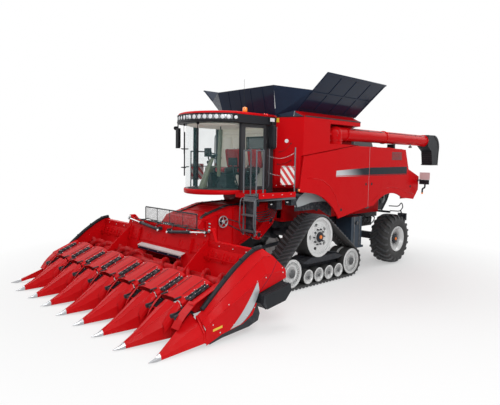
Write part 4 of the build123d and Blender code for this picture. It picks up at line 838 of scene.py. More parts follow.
PERFORATED = Finish("perforated_screen", (0.10, 0.10, 0.105), "engine_metal", 0.45, metallic=0.6,
                    extra=mesh_holes)
RUBBER_LIP = Finish("rubber_seal", (0.014, 0.014, 0.015), "black_plastic", 0.7, grain_scale=200.0, dust=0.08)
LABEL_BARE = Finish("bare_label_yellow", (0.78, 0.52, 0.03), "red_snouts", 0.4, coat=0.2, dust=0.1)
CORNER_CLOTH = Finish("cover_corner_cloth", (0.010, 0.020, 0.045), "black_cover", 0.34, coat=0.02, drift=0.2,
                      dust=0.02, specular=0.14, extra=leather_pores)

# The finish of each CAD node and the width of its softened edges.
CAD_FINISH: dict[str, tuple[Finish | Glazing, float]] = {
    "drive_wheels": (SILVER, 0.004),
    "track_rollers": (SILVER, 0.004),
    "track_frames": (BLACK_FRAME, 0.008),
    "left_track_belt": (TRACK_RUBBER, 0.0),
    "right_track_belt": (TRACK_RUBBER, 0.0),
    "left_rear_tyre": (TYRE_RUBBER, 0.0),
    "right_rear_tyre": (TYRE_RUBBER, 0.0),
    "main_frame": (BLACK_FRAME, 0.004),
    "front_axle": (BLACK_FRAME, 0.006),
    "threshing_body": (RED_PAINT, 0.004),
    "fuel_tank": (SLATE_SHELL, 0.02),
    "rear_axle_beam": (BLACK_FRAME, 0.006),
    "left_steering_knuckle": (BLACK_FRAME, 0.006),
    "right_steering_knuckle": (BLACK_FRAME, 0.006),
    "left_rear_rim": (SILVER, 0.003),
    "right_rear_rim": (SILVER, 0.003),
    "left_front_panel": (RED_PANEL, 0.0),
    "right_front_panel": (RED_PANEL, 0.0),
    "left_rear_panel": (RED_PANEL, 0.0),
    "right_rear_panel": (RED_PANEL, 0.0),
    "grain_tank": (RED_PAINT, 0.006),
    "left_tank_cover": (BLACK_COVER, 0.002),
    "right_tank_cover": (BLACK_COVER, 0.002),
    "front_flap": (BLACK_COVER, 0.002),
    "rear_flap": (BLACK_COVER, 0.002),
    "front_gussets": (BLACK_COVER, 0.0),
    "rear_gussets": (BLACK_COVER, 0.0),
    "engine_deck": (BLACK_PLASTIC, 0.01),
    "engine_block": (ENGINE_METAL, 0.01),
    "rear_hood": (RED_HOOD, 0.004),
    "auger_tube": (RED_PAINT, 0.0),
    "auger_spout": (BLACK_PLASTIC, 0.01),
    "cab_shell": (CAB_FRAME, 0.006),
    "cab_roof": (BLACK_PLASTIC, 0.006),
    "cab_glass": (CAB_GLASS, 0.0),
    "cab_door": (CAB_FRAME, 0.004),
    "cab_door_glass": (CAB_GLASS, 0.0),
    "seats": (SEAT_CLOTH, 0.03),
    "cab_controls": (CONTROL_GREY, 0.006),
    "platforms": (RAIL_GREY, 0.002),
    "warning_board": (WARNING_SHEET, 0.001),
    "access_ladder": (RAIL_GREY, 0.002),
    "mirrors": (BLACK_PLASTIC, 0.010),
    "feeder_house": (RED_PAINT, 0.004),
    "lift_barrels": (BLACK_FRAME, 0.003),
    "lift_rods": (BRIGHT_STEEL, 0.002),
    "header_frame": (RED_PAINT, 0.003),
    "header_snouts": (RED_SNOUT, 0.0),
    "header_auger": (RED_AUGER, 0.0),
    "trash_screen": (GREY_STEEL, 0.0),
    "fold_cylinders": (BLACK_FRAME, 0.003),
    "left_wing_frame": (RED_PAINT, 0.003),
    "right_wing_frame": (RED_PAINT, 0.003),
    "left_wing_snouts": (RED_SNOUT, 0.0),
    "right_wing_snouts": (RED_SNOUT, 0.0),
    "left_end_divider": (RED_SNOUT, 0.004),
    "right_end_divider": (RED_SNOUT, 0.004),
    "left_wing_auger": (RED_AUGER, 0.0),
    "right_wing_auger": (RED_AUGER, 0.0),
}


def on_gearbox(p: Vector) -> bool:
    """Tell whether a place of an end divider is on its gearbox."""
    return abs(p.x) > 2.8925 and -3.485 < p.y < -2.75 and 0.40 < p.z < 0.79


def on_skid(p: Vector) -> bool:
    """Tell whether a place of an end divider is on the skid under its skin.

    Args:
        p: the place, in the machine's axes.

    Returns:
        Whether it is on the skid.
    """
    edge = ((-4.64, 0.08), (-4.309, 0.25), (-4.092, 0.302), (-3.56, 0.56), (-3.40, 0.56))
    for (y0, z0), (y1, z1) in zip(edge, edge[1:]):
        if y0 <= p.y <= y1:
            return abs(p.x) > 2.99 and p.z < z0 + (z1 - z0) * (p.y - y0) / (y1 - y0) - 0.0006
    return False


def on_row_arm(p: Vector) -> bool:
    """Tell whether a place of a header frame is on its row arms or tool bars."""
    return (p.y < -3.995 and p.z < 0.76) or (-3.45 < p.y < -3.305 and 0.42 < p.z < 0.565)


def on_deck(p: Vector) -> bool:
    """Tell whether a place of a platform is on the underside of its deck."""
    return 2.18 < p.z < 2.2395


def on_ram(p: Vector) -> bool:
    """Tell whether a place of a fold cylinder is on its bright rod."""
    return 0.968 < abs(p.x) < 1.455


def on_tread(p: Vector) -> bool:
    """Tell whether a place of a track wheel is on the face that the belt runs on.

    Args:
        p: the place, in the machine's axes.

    Returns:
        Whether it is on a rolling face.
    """
    wheels = ((0.0, 1.175, 0.497), (-1.006, 0.401, 0.341), (1.350, 0.401, 0.341), (-0.4, 0.24, 0.18),
              (0.0, 0.24, 0.18), (0.4, 0.24, 0.18), (0.8, 0.24, 0.18))
    return abs(p.x) < 1.64 and any(0.93 < math.hypot(p.y - y, p.z - z) / r < 1.02 for y, z, r in wheels)


# Faces of a node in a second finish, and the test that picks them.
CAD_PARTS: dict[str, tuple[tuple[Finish, Callable[[Vector], bool]], ...]] = {
    "left_end_divider": ((BLACK_PLASTIC, on_gearbox), (BLACK_FRAME, on_skid)),
    "right_end_divider": ((BLACK_PLASTIC, on_gearbox), (BLACK_FRAME, on_skid)),
    "header_frame": ((BLACK_FRAME, on_row_arm),),
    "left_wing_frame": ((BLACK_FRAME, on_row_arm),),
    "right_wing_frame": ((BLACK_FRAME, on_row_arm),),
    "platforms": ((BLACK_FRAME, on_deck),),
    "fold_cylinders": ((BRIGHT_STEEL, on_ram),),
    "drive_wheels": ((TRACK_RUBBER, on_tread),),
    "track_rollers": ((TRACK_RUBBER, on_tread),),
}


# ---------------------------------------------------------------- workshop
class Workshop:
    """Turns drafts into pieces that ride on the CAD bodies."""

    def __init__(self) -> None:
        """Load the frame and find the front axle in it."""
        self.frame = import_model()
        self.size = [list(corner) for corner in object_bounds()]
        low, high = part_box("front_axle")
        self.shift = Vector((0, (low.y + high.y) / 2, 0))
        self.bodies = {node: body for body, nodes in self.frame["record"]["behaviour"]["bodies"].items()
                       for node in nodes}

    def piece(self, draft: Draft, name: str, finish: Finish | Glazing, body: str = "chassis",
              bevel: float = 0.0, stands_for: Sequence[str] = ()) -> bpy.types.Object:
        """Make an object from a draft and let it ride on a body.

        Args:
            draft: the piece's faces, in the machine's axes.
            name: the piece's name.
            finish: what it is made of.
            body: the CAD body that it moves with.
            bevel: width of its softened edges, or 0.
            stands_for: CAD nodes that it replaces.

        Returns:
            The new object.
        """
        mesh = bpy.data.meshes.new(name)
        mesh.from_pydata([p + self.shift for p in draft.points], [], draft.faces)
        mesh.polygons.foreach_set("use_smooth", draft.smooth)
        shell = bmesh.new()
        shell.from_mesh(mesh)
        bmesh.ops.remove_doubles(shell, verts=shell.verts, dist=JOIN)
        bmesh.ops.recalc_face_normals(shell, faces=shell.faces)
        shell.to_mesh(mesh)
        shell.free()
        made = bpy.data.objects.new(name, mesh)
        bpy.context.scene.collection.objects.link(made)
        made.data.materials.append(finish.material())
        if bevel:
            self.soften(made, bevel)
        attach(made, body)
        if stands_for:
            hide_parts(*stands_for)
        LOG.info("%s rides on %s", name, body)
        return made

    @staticmethod
    def soften(target: bpy.types.Object, width: float, weld: bool = False) -> None:
        """Round an object's sharp edges with modifiers.

        Args:
            target: the object.
            width: how wide the rounding is.
            weld: whether its corners are joined first.
        """
        if weld:
            target.modifiers.new("weld", "WELD").merge_threshold = 0.00005
        bevel = target.modifiers.new("bevel", "BEVEL")
        bevel.width = width
        bevel.segments = 2
        bevel.limit_method = "ANGLE"
        bevel.angle_limit = math.radians(35)
        bevel.harden_normals = False

    def dress_nodes(self) -> None:
        """Give every CAD node its finish and softened edges."""
        for name, (finish, bevel) in CAD_FINISH.items():
            node = self.frame["nodes"][name]
            if node.hide_render:
                continue
            node.data.materials.clear()
            node.data.materials.append(finish.material())
            for other, test in CAD_PARTS.get(name, ()):
                node.data.materials.append(other.material())
                for face in node.data.polygons:
                    if test(face.center - self.shift):
                        face.material_index = len(node.data.materials) - 1
            if bevel:
                self.soften(node, bevel, weld=True)
            LOG.info("%s wears %s", name, finish.name)


# ---------------------------------------------------------------- running gear
class Loop:
    """The closed line of a belt round wheels whose axes lie along X."""

    def __init__(self, wheels: Sequence[Point]) -> None:
        """Find the arcs and straights round wheels given as (Y, Z, radius), anticlockwise.

        Args:
            wheels: each wheel's (Y, Z, radius), anticlockwise.
        """
        count = len(wheels)
        angles = []
        for (y0, z0, r0), (y1, z1, r1) in zip(wheels, (*wheels[1:], wheels[0])):
            along = Vector((y1 - y0, z1 - z0))
            lean = (r0 - r1) / along.length
            along.normalize()
            normal = along * lean + Vector((along.y, -along.x)) * math.sqrt(1 - lean * lean)
            angles.append(math.atan2(normal.y, normal.x))
        self.parts: list[tuple[float, float, float, float, float, float]] = []
        self.length = 0.0
        for i, (y, z, radius) in enumerate(wheels):
            turn = (angles[i] - angles[i - 1]) % (2 * math.pi)
            there = wheels[(i + 1) % count]
            straight = math.sqrt((there[0] - y) ** 2 + (there[1] - z) ** 2 - (there[2] - radius) ** 2)
            self.parts.append((y, z, radius, angles[i - 1], turn, straight))
            self.length += radius * turn + straight

    def at(self, distance: float, high: float) -> Flat:
        """Return (Y, Z) at a distance along the line and a height above it.

        Args:
            distance: how far along the line.
            high: how far outside it.

        Returns:
            (Y, Z) of the place.
        """
        distance %= self.length
        for y, z, radius, start, turn, straight in self.parts:
            if distance < radius * turn:
                angle = start + distance / radius
                return y + (radius + high) * math.cos(angle), z + (radius + high) * math.sin(angle)
            distance -= radius * turn
            if distance < straight:
                angle = start + turn
                out, along = (math.cos(angle), math.sin(angle)), (-math.sin(angle), math.cos(angle))
                return (y + (radius + high) * out[0] + distance * along[0],
                        z + (radius + high) * out[1] + distance * along[1])
            distance -= straight
        return self.at(0.0, high)


@dataclass
class TrackUnit:
    """A rubber belt with its drive wheel, idlers and rollers; drawn for the left."""

    inner: float = 1.14
    outer: float = 1.75
    carcass: float = 0.026
    thick: float = 0.0595
    lugs: int = 58
    sweep: float = 0.15
    drive: Point = (0.0, 1.175, 0.4975)
    idlers: tuple[Point, ...] = ((-1.006, 0.401, 0.3415), (1.350, 0.401, 0.3415))
    rollers: tuple[float, ...] = (-0.4, 0.0, 0.4, 0.8)
    roller_radius: float = 0.18
    belt_thick: float = 0.06

    def belt(self) -> tuple[Draft, Draft]:
        """Draw the carcass with its guide blocks, and its staggered bars.

        Returns:
            The carcass and the bars.
        """
        loop = Loop((*self.idlers, self.drive))
        draft, bars = Draft(), Draft()
        steps = 150
        lip = 0.012
        rings = []
        for i in range(steps):
            s = loop.length * i / steps
            (y0, z0), (y1, z1), (y2, z2) = (loop.at(s, high)
                                            for high in (0.0005, self.carcass - lip, self.carcass))
            rings.append([(self.inner, y0, z0), (self.outer, y0, z0), (self.outer, y1, z1),
                          (self.outer - lip, y2, z2), (self.inner + lip, y2, z2), (self.inner, y1, z1)])
        draft.loft(rings, closed=True, smooth=True)
        middle = (self.inner + self.outer) / 2
        pitch = loop.length / self.lugs
        for k in range(self.lugs):
            self.bar(bars, loop, (k + 0.5) * pitch, middle - 0.012, self.outer - 0.004)
            self.bar(bars, loop, k * pitch, middle + 0.012, self.inner + 0.004)
            self.guide(draft, loop, k * pitch, middle)
        return draft, bars

    def bar(self, draft: Draft, loop: Loop, place: float, start: float, end: float) -> None:
        """Draw one slanting bar from the belt's middle to its edge.

        Args:
            draft: what it is drawn into.
            loop: the belt's inner line.
            place: the bar's distance along the line.
            start: X of its inner end.
            end: X of its outer end.
        """
        rings = []
        for t in (0.0, 0.12, 0.35, 0.6, 0.85, 1.0):
            x = start + (end - start) * t
            s = place - self.sweep * t ** 1.15
            wide = 0.031 + 0.006 * t
            top = wide * (0.66 if 0 < t < 1 else 0.5)
            high = self.thick if t < 1 else self.thick - 0.008
            ring = [(s - wide, self.carcass - 0.003), (s + wide, self.carcass - 0.003),
                    (s + top, high - 0.004), (s + top - 0.005, high), (s - top + 0.005, high),
                    (s - top, high - 0.004)]
            rings.append([(x, *loop.at(along, up)) for along, up in ring])
        draft.loft(rings)

    def guide(self, draft: Draft, loop: Loop, place: float, middle: float) -> None:
        """Draw one guide block inside the belt, away from the drive wheel.

        Args:
            draft: what it is drawn into.
            loop: the belt's inner line.
            place: the block's distance along the line.
            middle: X of the belt's middle.
        """
        y, z = loop.at(place, -0.03)
        if math.hypot(y - self.drive[0], z - self.drive[1]) < self.drive[2] + 0.05:
            return
        foot = [loop.at(place + off, 0.002) for off in (-0.035, 0.035)]
        top = [loop.at(place + off, -0.06) for off in (-0.02, 0.02)]
        rings = []
        for half, ends in ((0.026, foot), (0.016, top)):
            rings.append([(middle + sx * half, *end) for end, signs in zip(ends, ((-1, 1), (1, -1)))
                          for sx in signs])
        draft.loft(rings)

    def drive_face(self) -> tuple[Draft, Draft, Draft]:
        """Draw the drive wheel's pressed face, its dark hub and its cap.

        Returns:
            The silver face, the dark hub and the cap.
        """
        y, z, radius = self.drive
        centre = (0.0, y, z)
        silver, dark, cap = Draft(), Draft(), Draft()
        silver.lathe(centre, X_AXIS, [(radius - 0.012, 1.703), (radius - 0.004, 1.713),
                                      (radius - 0.014, 1.716), (radius - 0.03, 1.700), (radius - 0.05, 1.652),
                                      (radius - 0.062, 1.6535), (radius - 0.062, 1.650),
                                      (radius - 0.03, 1.650)], 64, ring=True)
        silver.lathe(centre, X_AXIS, [(0.405, 1.6495), (0.398, 1.6565), (0.385, 1.6565), (0.378, 1.6495)], 64,
                     ring=True)
        silver.lathe(centre, X_AXIS, [(0.225, 1.6495), (0.216, 1.662), (0.150, 1.666), (0.140, 1.690),
                                      (0.12, 1.694)], 48, ring=True)
        dark.lathe(centre, X_AXIS, [(0.128, 1.688), (0.126, 1.712), (0.112, 1.722), (0.060, 1.724),
                                    (0.05, 1.728)], 40)
        dark.bolts((1.690, y, z), X_AXIS, 0.190, 10, 0.017, 0.022)
        dark.bolts((1.660, y, z), X_AXIS, 0.190, 10, 0.024, 0.012)
        dark.lathe(centre, X_AXIS, [(0.43, 1.56), (0.43, 1.575), (0.14, 1.575), (0.14, 1.56)], 32, ring=True)
        for turn in range(5):
            angle = math.radians(72 * turn + 54)
            cy, cz = y + 0.3 * math.cos(angle), z + 0.3 * math.sin(angle)
            out, across = spoke(angle)
            middle = Vector((1.651, cy, cz))
            oval = [middle + across * (s * 0.026 + 0.039 * math.cos(a)) + out * 0.039 * math.sin(a)
                    for s, low in ((1, -90), (-1, 90))
                    for a in (math.radians(low + 22.5 * k) for k in range(9))]
            silver.tube(oval, 0.005, 8, closed=True)
        cap.lathe(centre, X_AXIS, [(0.048, 1.722), (0.046, 1.742), (0.034, 1.752), (0.008, 1.755)], 28)
        return silver, dark, cap

    def idler_faces(self) -> tuple[Draft, Draft]:
        """Draw the idlers' spoked faces and rollers' dished faces, with their hubs.

        Returns:
            The silver faces and the dark hubs.
        """
        silver, dark = Draft(), Draft()
        edge = self.outer - 0.04
        for y, z, radius in self.idlers:
            centre = (0, y, z)
            silver.lathe(centre, X_AXIS, [(radius - 0.010, edge - 0.004), (radius - 0.004, edge + 0.004),
                                          (radius - 0.022, edge + 0.006), (radius - 0.034, edge - 0.002)], 56,
                         ring=True)
            silver.lathe(centre, X_AXIS, [(radius * 0.83, edge - 0.034), (radius * 0.60, edge - 0.020),
                                          (radius * 0.36, edge - 0.014), (radius * 0.31, edge + 0.002)], 48,
                         ring=True)
            for k in range(28):
                angle = 2 * math.pi * k / 28
                out, across = spoke(angle)
                near, far = Vector(centre) + out * radius * 0.37, Vector(centre) + out * radius * 0.83
                ring = [near + across * s * 0.005 + X_AXIS * x
                        for s, x in ((-1, edge - 0.02), (1, edge - 0.02), (0.6, edge - 0.002),
                                     (-0.6, edge - 0.002))]
                tail = [far + across * s * 0.009 + X_AXIS * x
                        for s, x in ((-1, edge - 0.036), (1, edge - 0.036), (0.6, edge - 0.006),
                                     (-0.6, edge - 0.006))]
                silver.loft([ring, tail])
            dark.lathe(centre, X_AXIS, [(0.098, edge - 0.002), (0.096, edge + 0.010), (0.075, edge + 0.014),
                                        (0.060, edge + 0.030), (0.02, edge + 0.034)], 32)
            dark.bolts((edge + 0.010, y, z), X_AXIS, 0.084, 8, 0.010, 0.012)
        for y in self.rollers:
            centre = (0, y, self.belt_thick + self.roller_radius)
            silver.lathe(centre, X_AXIS,
                         [(self.roller_radius - 0.006, edge - 0.002),
                          (self.roller_radius - 0.004, edge + 0.004), (0.150, edge + 0.004),
                          (0.140, edge - 0.010), (0.085, edge - 0.018), (0.072, edge - 0.002), (0.05, edge)],
                         40, ring=True)
            dark.lathe(centre, X_AXIS, [(0.046, edge - 0.002), (0.045, edge + 0.010), (0.030, edge + 0.016),
                                        (0.01, edge + 0.018)], 24)
            dark.bolts((edge - 0.014, *centre[1:]), X_AXIS, 0.108, 6, 0.010, 0.012)
        return silver, dark

    def frame_details(self) -> Draft:
        """Draw the guards, grease lines and tensioner on the track frame.

        Returns:
            The dark fittings.
        """
        dark = Draft()
        middle = (self.inner + self.outer) / 2
        dark.tube(rounded([(middle + 0.10, 0.42, 0.74), (middle + 0.16, 0.80, 0.70),
                           (middle + 0.17, 1.02, 0.58), (middle + 0.12, 1.16, 0.50)], 0.1), 0.02, 10)
        dark.rod((middle + 0.05, 0.10, 0.70), (middle + 0.05, 0.78, 0.62), 0.052)
        dark.rod((middle + 0.05, 0.78, 0.62), (middle + 0.05, 1.14, 0.50), 0.028)
        for side in SIDES:
            outline = [(middle + side * 0.05, -0.62, 0.60), (middle + side * 0.05, -0.30, 0.69),
                       (middle + side * 0.05, 0.66, 0.69), (middle + side * 0.05, 0.98, 0.60),
                       (middle + side * 0.05, 0.80, 0.55), (middle + side * 0.05, -0.44, 0.55)]
            dark.prism(outline, (side * 0.20, 0, 0))
        return dark

    def build(self, shop: Workshop) -> None:
        """Make the pieces of both track units.

        Args:
            shop: the workshop that makes the pieces.
        """
        belt, bars = self.belt()
        silver, hub, cap = self.drive_face()
        rims, bearings = self.idler_faces()
        for side in Side:
            name = side.name.lower()
            shop.piece(belt.on(side), f"{name}_lugged_belt", TRACK_RUBBER, stands_for=[f"{name}_track_belt"])
            # The bars' lighter rubber is a painted highlight.
            shop.piece(bars.on(side), f"{name}_belt_bars", PAINTED_LIT_BAR_RUBBER)
            shop.piece(silver.on(side), f"{name}_drive_wheel_face", SILVER)
            shop.piece(hub.on(side), f"{name}_drive_hub", BLACK_FRAME)
            shop.piece(cap.on(side), f"{name}_drive_cap", ORANGE_CAP)
            shop.piece(rims.on(side), f"{name}_idler_faces", SILVER)
            shop.piece(bearings.on(side), f"{name}_bearing_caps", DARK_STEEL)
            shop.piece(self.frame_details().on(side), f"{name}_track_guards", BLACK_FRAME, bevel=0.004)


@dataclass
class RearWheel:
    """A steered rear wheel with its barred tyre; drawn for the left."""

    middle: Point = (1.365, 3.83, 0.735)
    radius: float = 0.735
    half: float = 0.295
    bars: int = 21

    def tyre(self) -> tuple[Draft, Draft]:
        """Draw the casing, and its slanting bars.

        Returns:
            The casing and the bars.
        """
        x, y, z = self.middle
        h = self.half
        draft, bars = Draft(), Draft()
        half_section = [(h - 0.062, 0.378), (h - 0.030, 0.392), (h - 0.012, 0.430), (h - 0.002, 0.500),
                        (h - 0.006, 0.570), (h - 0.030, 0.630), (h - 0.075, 0.672), (h - 0.150, 0.690),
                        (0.0, 0.697)]
        section = half_section + [(-u, v) for u, v in reversed(half_section[:-1])]
        section += [(-h + 0.070, 0.376), (h - 0.070, 0.376)]
        rings = []
        for k in range(72):
            angle = 2 * math.pi * k / 72
            rings.append([(x + u, y + v * math.cos(angle), z + v * math.sin(angle)) for u, v in section])
        draft.loft(rings, closed=True, smooth=True)
        for k in range(self.bars):
            for side in SIDES:
                angle = 2 * math.pi * (k + (0.25 if side > 0 else -0.25)) / self.bars
                self.bar(bars, angle, side)
        return draft, bars

    def bar(self, draft: Draft, angle: float, side: int) -> None:
        """Draw one bar from the tread's middle down over the shoulder.

        Args:
            draft: what it is drawn into.
            angle: where it starts round the wheel, in radians.
            side: 1 toward +X of the tread's middle, -1 toward -X.
        """
        x, y, z = self.middle
        rings = []
        line = [(-0.025, 0.0, self.radius - 0.003, 0.692), (0.05, 0.09, self.radius - 0.002, 0.690),
                (0.13, 0.19, self.radius - 0.004, 0.686), (0.205, 0.27, self.radius - 0.016, 0.670),
                (self.half - 0.028, 0.315, 0.690, 0.628), (self.half - 0.006, 0.33, 0.640, 0.560)]
        for index, (out, lead, top, foot) in enumerate(line):
            wide = 0.034 if index else 0.028
            crown = wide * 0.74
            turn = angle + lead * 0.82
            ring = []
            for across, radius in ((-wide, foot), (wide, foot), (crown, top), (-crown, top)):
                a = turn + across / self.radius
                ring.append((x + side * out, y + radius * math.cos(a), z + radius * math.sin(a)))
            rings.append(ring)
        draft.loft(rings)

    def dish(self) -> tuple[Draft, Draft, Draft]:
        """Draw the wheel's dish, its dark hub and its cap.

        Returns:
            The silver dish, the dark hub and the cap.
        """
        x, y, z = self.middle
        centre = (0, y, z)
        silver, dark, cap = Draft(), Draft(), Draft()
        edge = x + self.half
        silver.lathe(centre, X_AXIS, [(0.372, edge - 0.050), (0.380, edge - 0.036), (0.372, edge - 0.026),
                                      (0.350, edge - 0.034), (0.342, edge - 0.060), (0.338, edge - 0.150),
                                      (0.318, edge - 0.175), (0.290, edge - 0.170), (0.200, edge - 0.130),
                                      (0.150, edge - 0.120), (0.13, edge - 0.122)], 64, ring=True)
        dark.lathe(centre, X_AXIS, [(0.128, edge - 0.160), (0.124, edge - 0.105), (0.100, edge - 0.090),
                                    (0.075, edge - 0.084), (0.05, edge - 0.080)], 40)
        dark.bolts((edge - 0.124, y, z), X_AXIS, 0.166, 10, 0.016, 0.020)
        cap.lathe(centre, X_AXIS, [(0.048, edge - 0.084), (0.046, edge - 0.066), (0.034, edge - 0.056),
                                   (0.008, edge - 0.053)], 28)
        for k in range(8):
            angle = 2 * math.pi * (k + 0.5) / 8
            cy, cz = y + 0.245 * math.cos(angle), z + 0.245 * math.sin(angle)
            dark.lathe((0, cy, cz), X_AXIS,
                       [(0.020, edge - 0.152), (0.019, edge - 0.1475), (0.004, edge - 0.147)], 16)
        return silver, dark, cap

    def build(self, shop: Workshop) -> None:
        """Make the pieces of both rear wheels.

        Args:
            shop: the workshop that makes the pieces.
        """
        tyre, bars = self.tyre()
        silver, hub, cap = self.dish()
        for side in Side:
            name = side.name.lower()
            body = f"{name}_rear_wheel"
            shop.piece(tyre.on(side), f"{name}_barred_tyre", TYRE_RUBBER, body,
                       stands_for=[f"{name}_rear_tyre"])
            # The bars' lighter rubber is a painted highlight.
            shop.piece(bars.on(side), f"{name}_tyre_bars", TYRE_PAINTED_LIT_BAR_RUBBER, body)
            shop.piece(silver.on(side), f"{name}_wheel_dish", SILVER, body)
            shop.piece(hub.on(side), f"{name}_wheel_hub", BLACK_FRAME, body)
            shop.piece(cap.on(side), f"{name}_wheel_cap", ORANGE_CAP, body)


# ---------------------------------------------------------------- body, tank and rear
@dataclass
class BodySides:
    """Bands, silver seam strips (painted highlights), catches and folds of the side panels, and the sheets
    over the tracks.
    """

    skin: float = 1.62
    seam: float = 2.2
    front_edge: tuple[Flat, ...] = ((0.69, 2.663), (2.188, 2.672))
    front_top: tuple[Flat, ...] = ((0.705, 2.790), (2.188, 2.872))
    rear_edge: tuple[Flat, ...] = ((2.212, 2.673), (4.245, 2.692))
    rear_top: tuple[Flat, ...] = ((2.212, 2.874), (4.245, 2.903))

    def strip(self, low: Sequence[Flat], high: Sequence[Flat], proud: float = 0.0016) -> Draft:
        """Draw a thin band on the panel between a low and a high line.

        Args:
            low: (Y, Z) of the band's lower ends.
            high: (Y, Z) of its upper ends.
            proud: how far it stands off the panel.

        Returns:
            The band.
        """
        draft = Draft()
        count = 24
        rings = []
        for i in range(count + 1):
            t = i / count
            (ya, za), (yb, zb) = low
            (yc, zc), (yd, zd) = high
            a = (ya + (yb - ya) * t, za + (zb - za) * t)
            b = (yc + (yd - yc) * t, zc + (zd - zc) * t)
            rings.append([(self.skin + 0.0002, *a), (self.skin + proud, a[0], a[1] + 0.001),
                          (self.skin + proud, b[0], b[1] - 0.001), (self.skin + 0.0002, *b)])
        draft.loft(rings)
        return draft

    def line(self, low: Sequence[Flat], drop: float, high: float) -> Draft:
        """Draw the narrow line under a band.

        Args:
            low: (Y, Z) of the band's lower ends.
            drop: the gap under the band.
            high: the line's height.

        Returns:
            The line.
        """
        below = [(y, z - drop - high) for y, z in low]
        above = [(y, z - drop) for y, z in low]
        return self.strip(below, above)

    def catches(self, places: Sequence[Flat]) -> Draft:
        """Draw flush pull catches in round recess plates.

        Args:
            places: (Y, Z) of each catch.

        Returns:
            The catches.
        """
        draft = Draft()
        for y, z in places:
            draft.lathe((self.skin - 0.001, y, z), X_AXIS, [(0.040, 0.0), (0.038, 0.0035), (0.030, 0.0045),
                                                            (0.027, 0.0015), (0.004, 0.0015)], 28)
            draft.box((self.skin + 0.0005, y - 0.022, z - 0.006), (self.skin + 0.006, y + 0.022, z + 0.006))
        return draft

    def fold(self, line: Sequence[Flat], wide: float = 0.012, proud: float = 0.004) -> Draft:
        """Draw a raised pressed fold along a line on the panel.

        Args:
            line: the (Y, Z) points of the fold.
            wide: half the fold's width.
            proud: how far it stands off the panel.

        Returns:
            The fold.
        """
        draft = Draft()
        rings = []
        for i, (y, z) in enumerate(line):
            before, after = line[max(0, i - 1)], line[min(len(line) - 1, i + 1)]
            along = Vector((after[0] - before[0], after[1] - before[1])).normalized()
            side = Vector((-along.y, along.x)) * wide
            high = proud if 0 < i < len(line) - 1 else 0.0008
            rings.append([(self.skin - 0.0005, y - side.x, z - side.y),
                          (self.skin + high, y - side.x * 0.3, z - side.y * 0.3),
                          (self.skin + high, y + side.x * 0.3, z + side.y * 0.3),
                          (self.skin - 0.0005, y + side.x, z + side.y)])
        draft.loft(rings, smooth=True)
        return draft

    def louvres(self) -> Draft:
        """Draw the cooling slots high on the rear panel.

        Returns:
            The slots' lips.
        """
        draft = Draft()
        for k in range(7):
            z = 3.10 + 0.034 * k
            draft.prism([(self.skin - 0.001, 3.35, z), (self.skin + 0.007, 3.35, z),
                         (self.skin - 0.001, 3.35, z + 0.022)], (0, 0.56, 0))
        return draft

    def fender(self) -> tuple[Draft, Draft]:
        """Draw the pale sheet that stands over the track inside the arch, and its dark rim.

        Returns:
            The pale sheet and the dark rim.
        """
        sheet, rim = Draft(), Draft()
        crown = [(-0.52, 2.02), (-0.40, 2.16), (-0.18, 2.27), (0.10, 2.33), (0.52, 2.34), (0.95, 2.30)]
        foot = [(y, max(1.90, z - 0.34)) for y, z in crown]
        edge = [(1.31, y, z) for y, z in crown] + [(1.31, y, z) for y, z in foot[::-1]]
        sheet.prism(edge, X_AXIS * 0.006)
        for start, end in zip(crown, crown[1:]):
            rim.bar((1.325, *start), (1.325, *end), 0.04, 0.022, X_AXIS)
        rim.bar((1.325, -0.52, 2.02), (1.325, -0.46, 1.90), 0.04, 0.022, X_AXIS)
        for y in (-0.30, 0.30, 0.80):
            rim.bar((0.78, y, 2.22), (1.31, y, 2.22), 0.03, 0.03)
        lower = foot + [(0.95, 1.58), (0.72, 1.66), (0.45, 1.80), (-0.52, 1.80)]
        rim.prism([(1.300, y, z) for y, z in lower], X_AXIS * 0.006)
        return sheet, rim

    def build(self, shop: Workshop) -> None:
        """Make the pieces of the panels on both sides.

        Args:
            shop: the workshop that makes the pieces.
        """
        front_fold = [(-0.45, 2.62), (-0.2, 2.60), (0.15, 2.555), (0.45, 2.40), (0.70, 2.15), (0.86, 1.85)]
        rear_fold = [(2.45, 1.95), (2.9, 2.22), (3.3, 2.32), (3.8, 2.26), (4.3, 2.13), (4.75, 2.05)]
        for side in Side:
            name = side.name.lower()
            front, rear = f"{name}_front_panel", f"{name}_rear_panel"
            shop.piece(self.strip(self.front_edge, self.front_top).on(side), f"{name}_front_band",
                       STRIPE_BAND, front)
            shop.piece(self.strip(self.rear_edge, self.rear_top).on(side), f"{name}_rear_band", STRIPE_BAND,
                       rear)
            shop.piece(self.line(self.front_edge, 0.016, 0.012).on(side), f"{name}_front_line", STRIPE_BAND,
                       front)
            shop.piece(self.line(self.rear_edge, 0.016, 0.012).on(side), f"{name}_rear_line", STRIPE_BAND,
                       rear)
            shop.piece(self.fold(front_fold).on(side), f"{name}_front_fold", RED_PANEL, front)
            shop.piece(self.fold(rear_fold).on(side), f"{name}_rear_fold", RED_PANEL, rear)
            shop.piece(self.louvres().on(side), f"{name}_louvres", BLACK_PLASTIC, rear)
            shop.piece(self.catches(((2.06, 2.42), (0.95, 1.78))).on(side), f"{name}_front_catches",
                       BLACK_PLASTIC, front)
            shop.piece(self.catches(((2.34, 2.42), (4.5, 2.3))).on(side), f"{name}_rear_catches",
                       BLACK_PLASTIC, rear)
            sheet, rim = self.fender()
            shop.piece(sheet.on(side), f"{name}_fender_sheet", PALE_SHEET)
            shop.piece(rim.on(side), f"{name}_fender_rim", BLACK_FRAME)
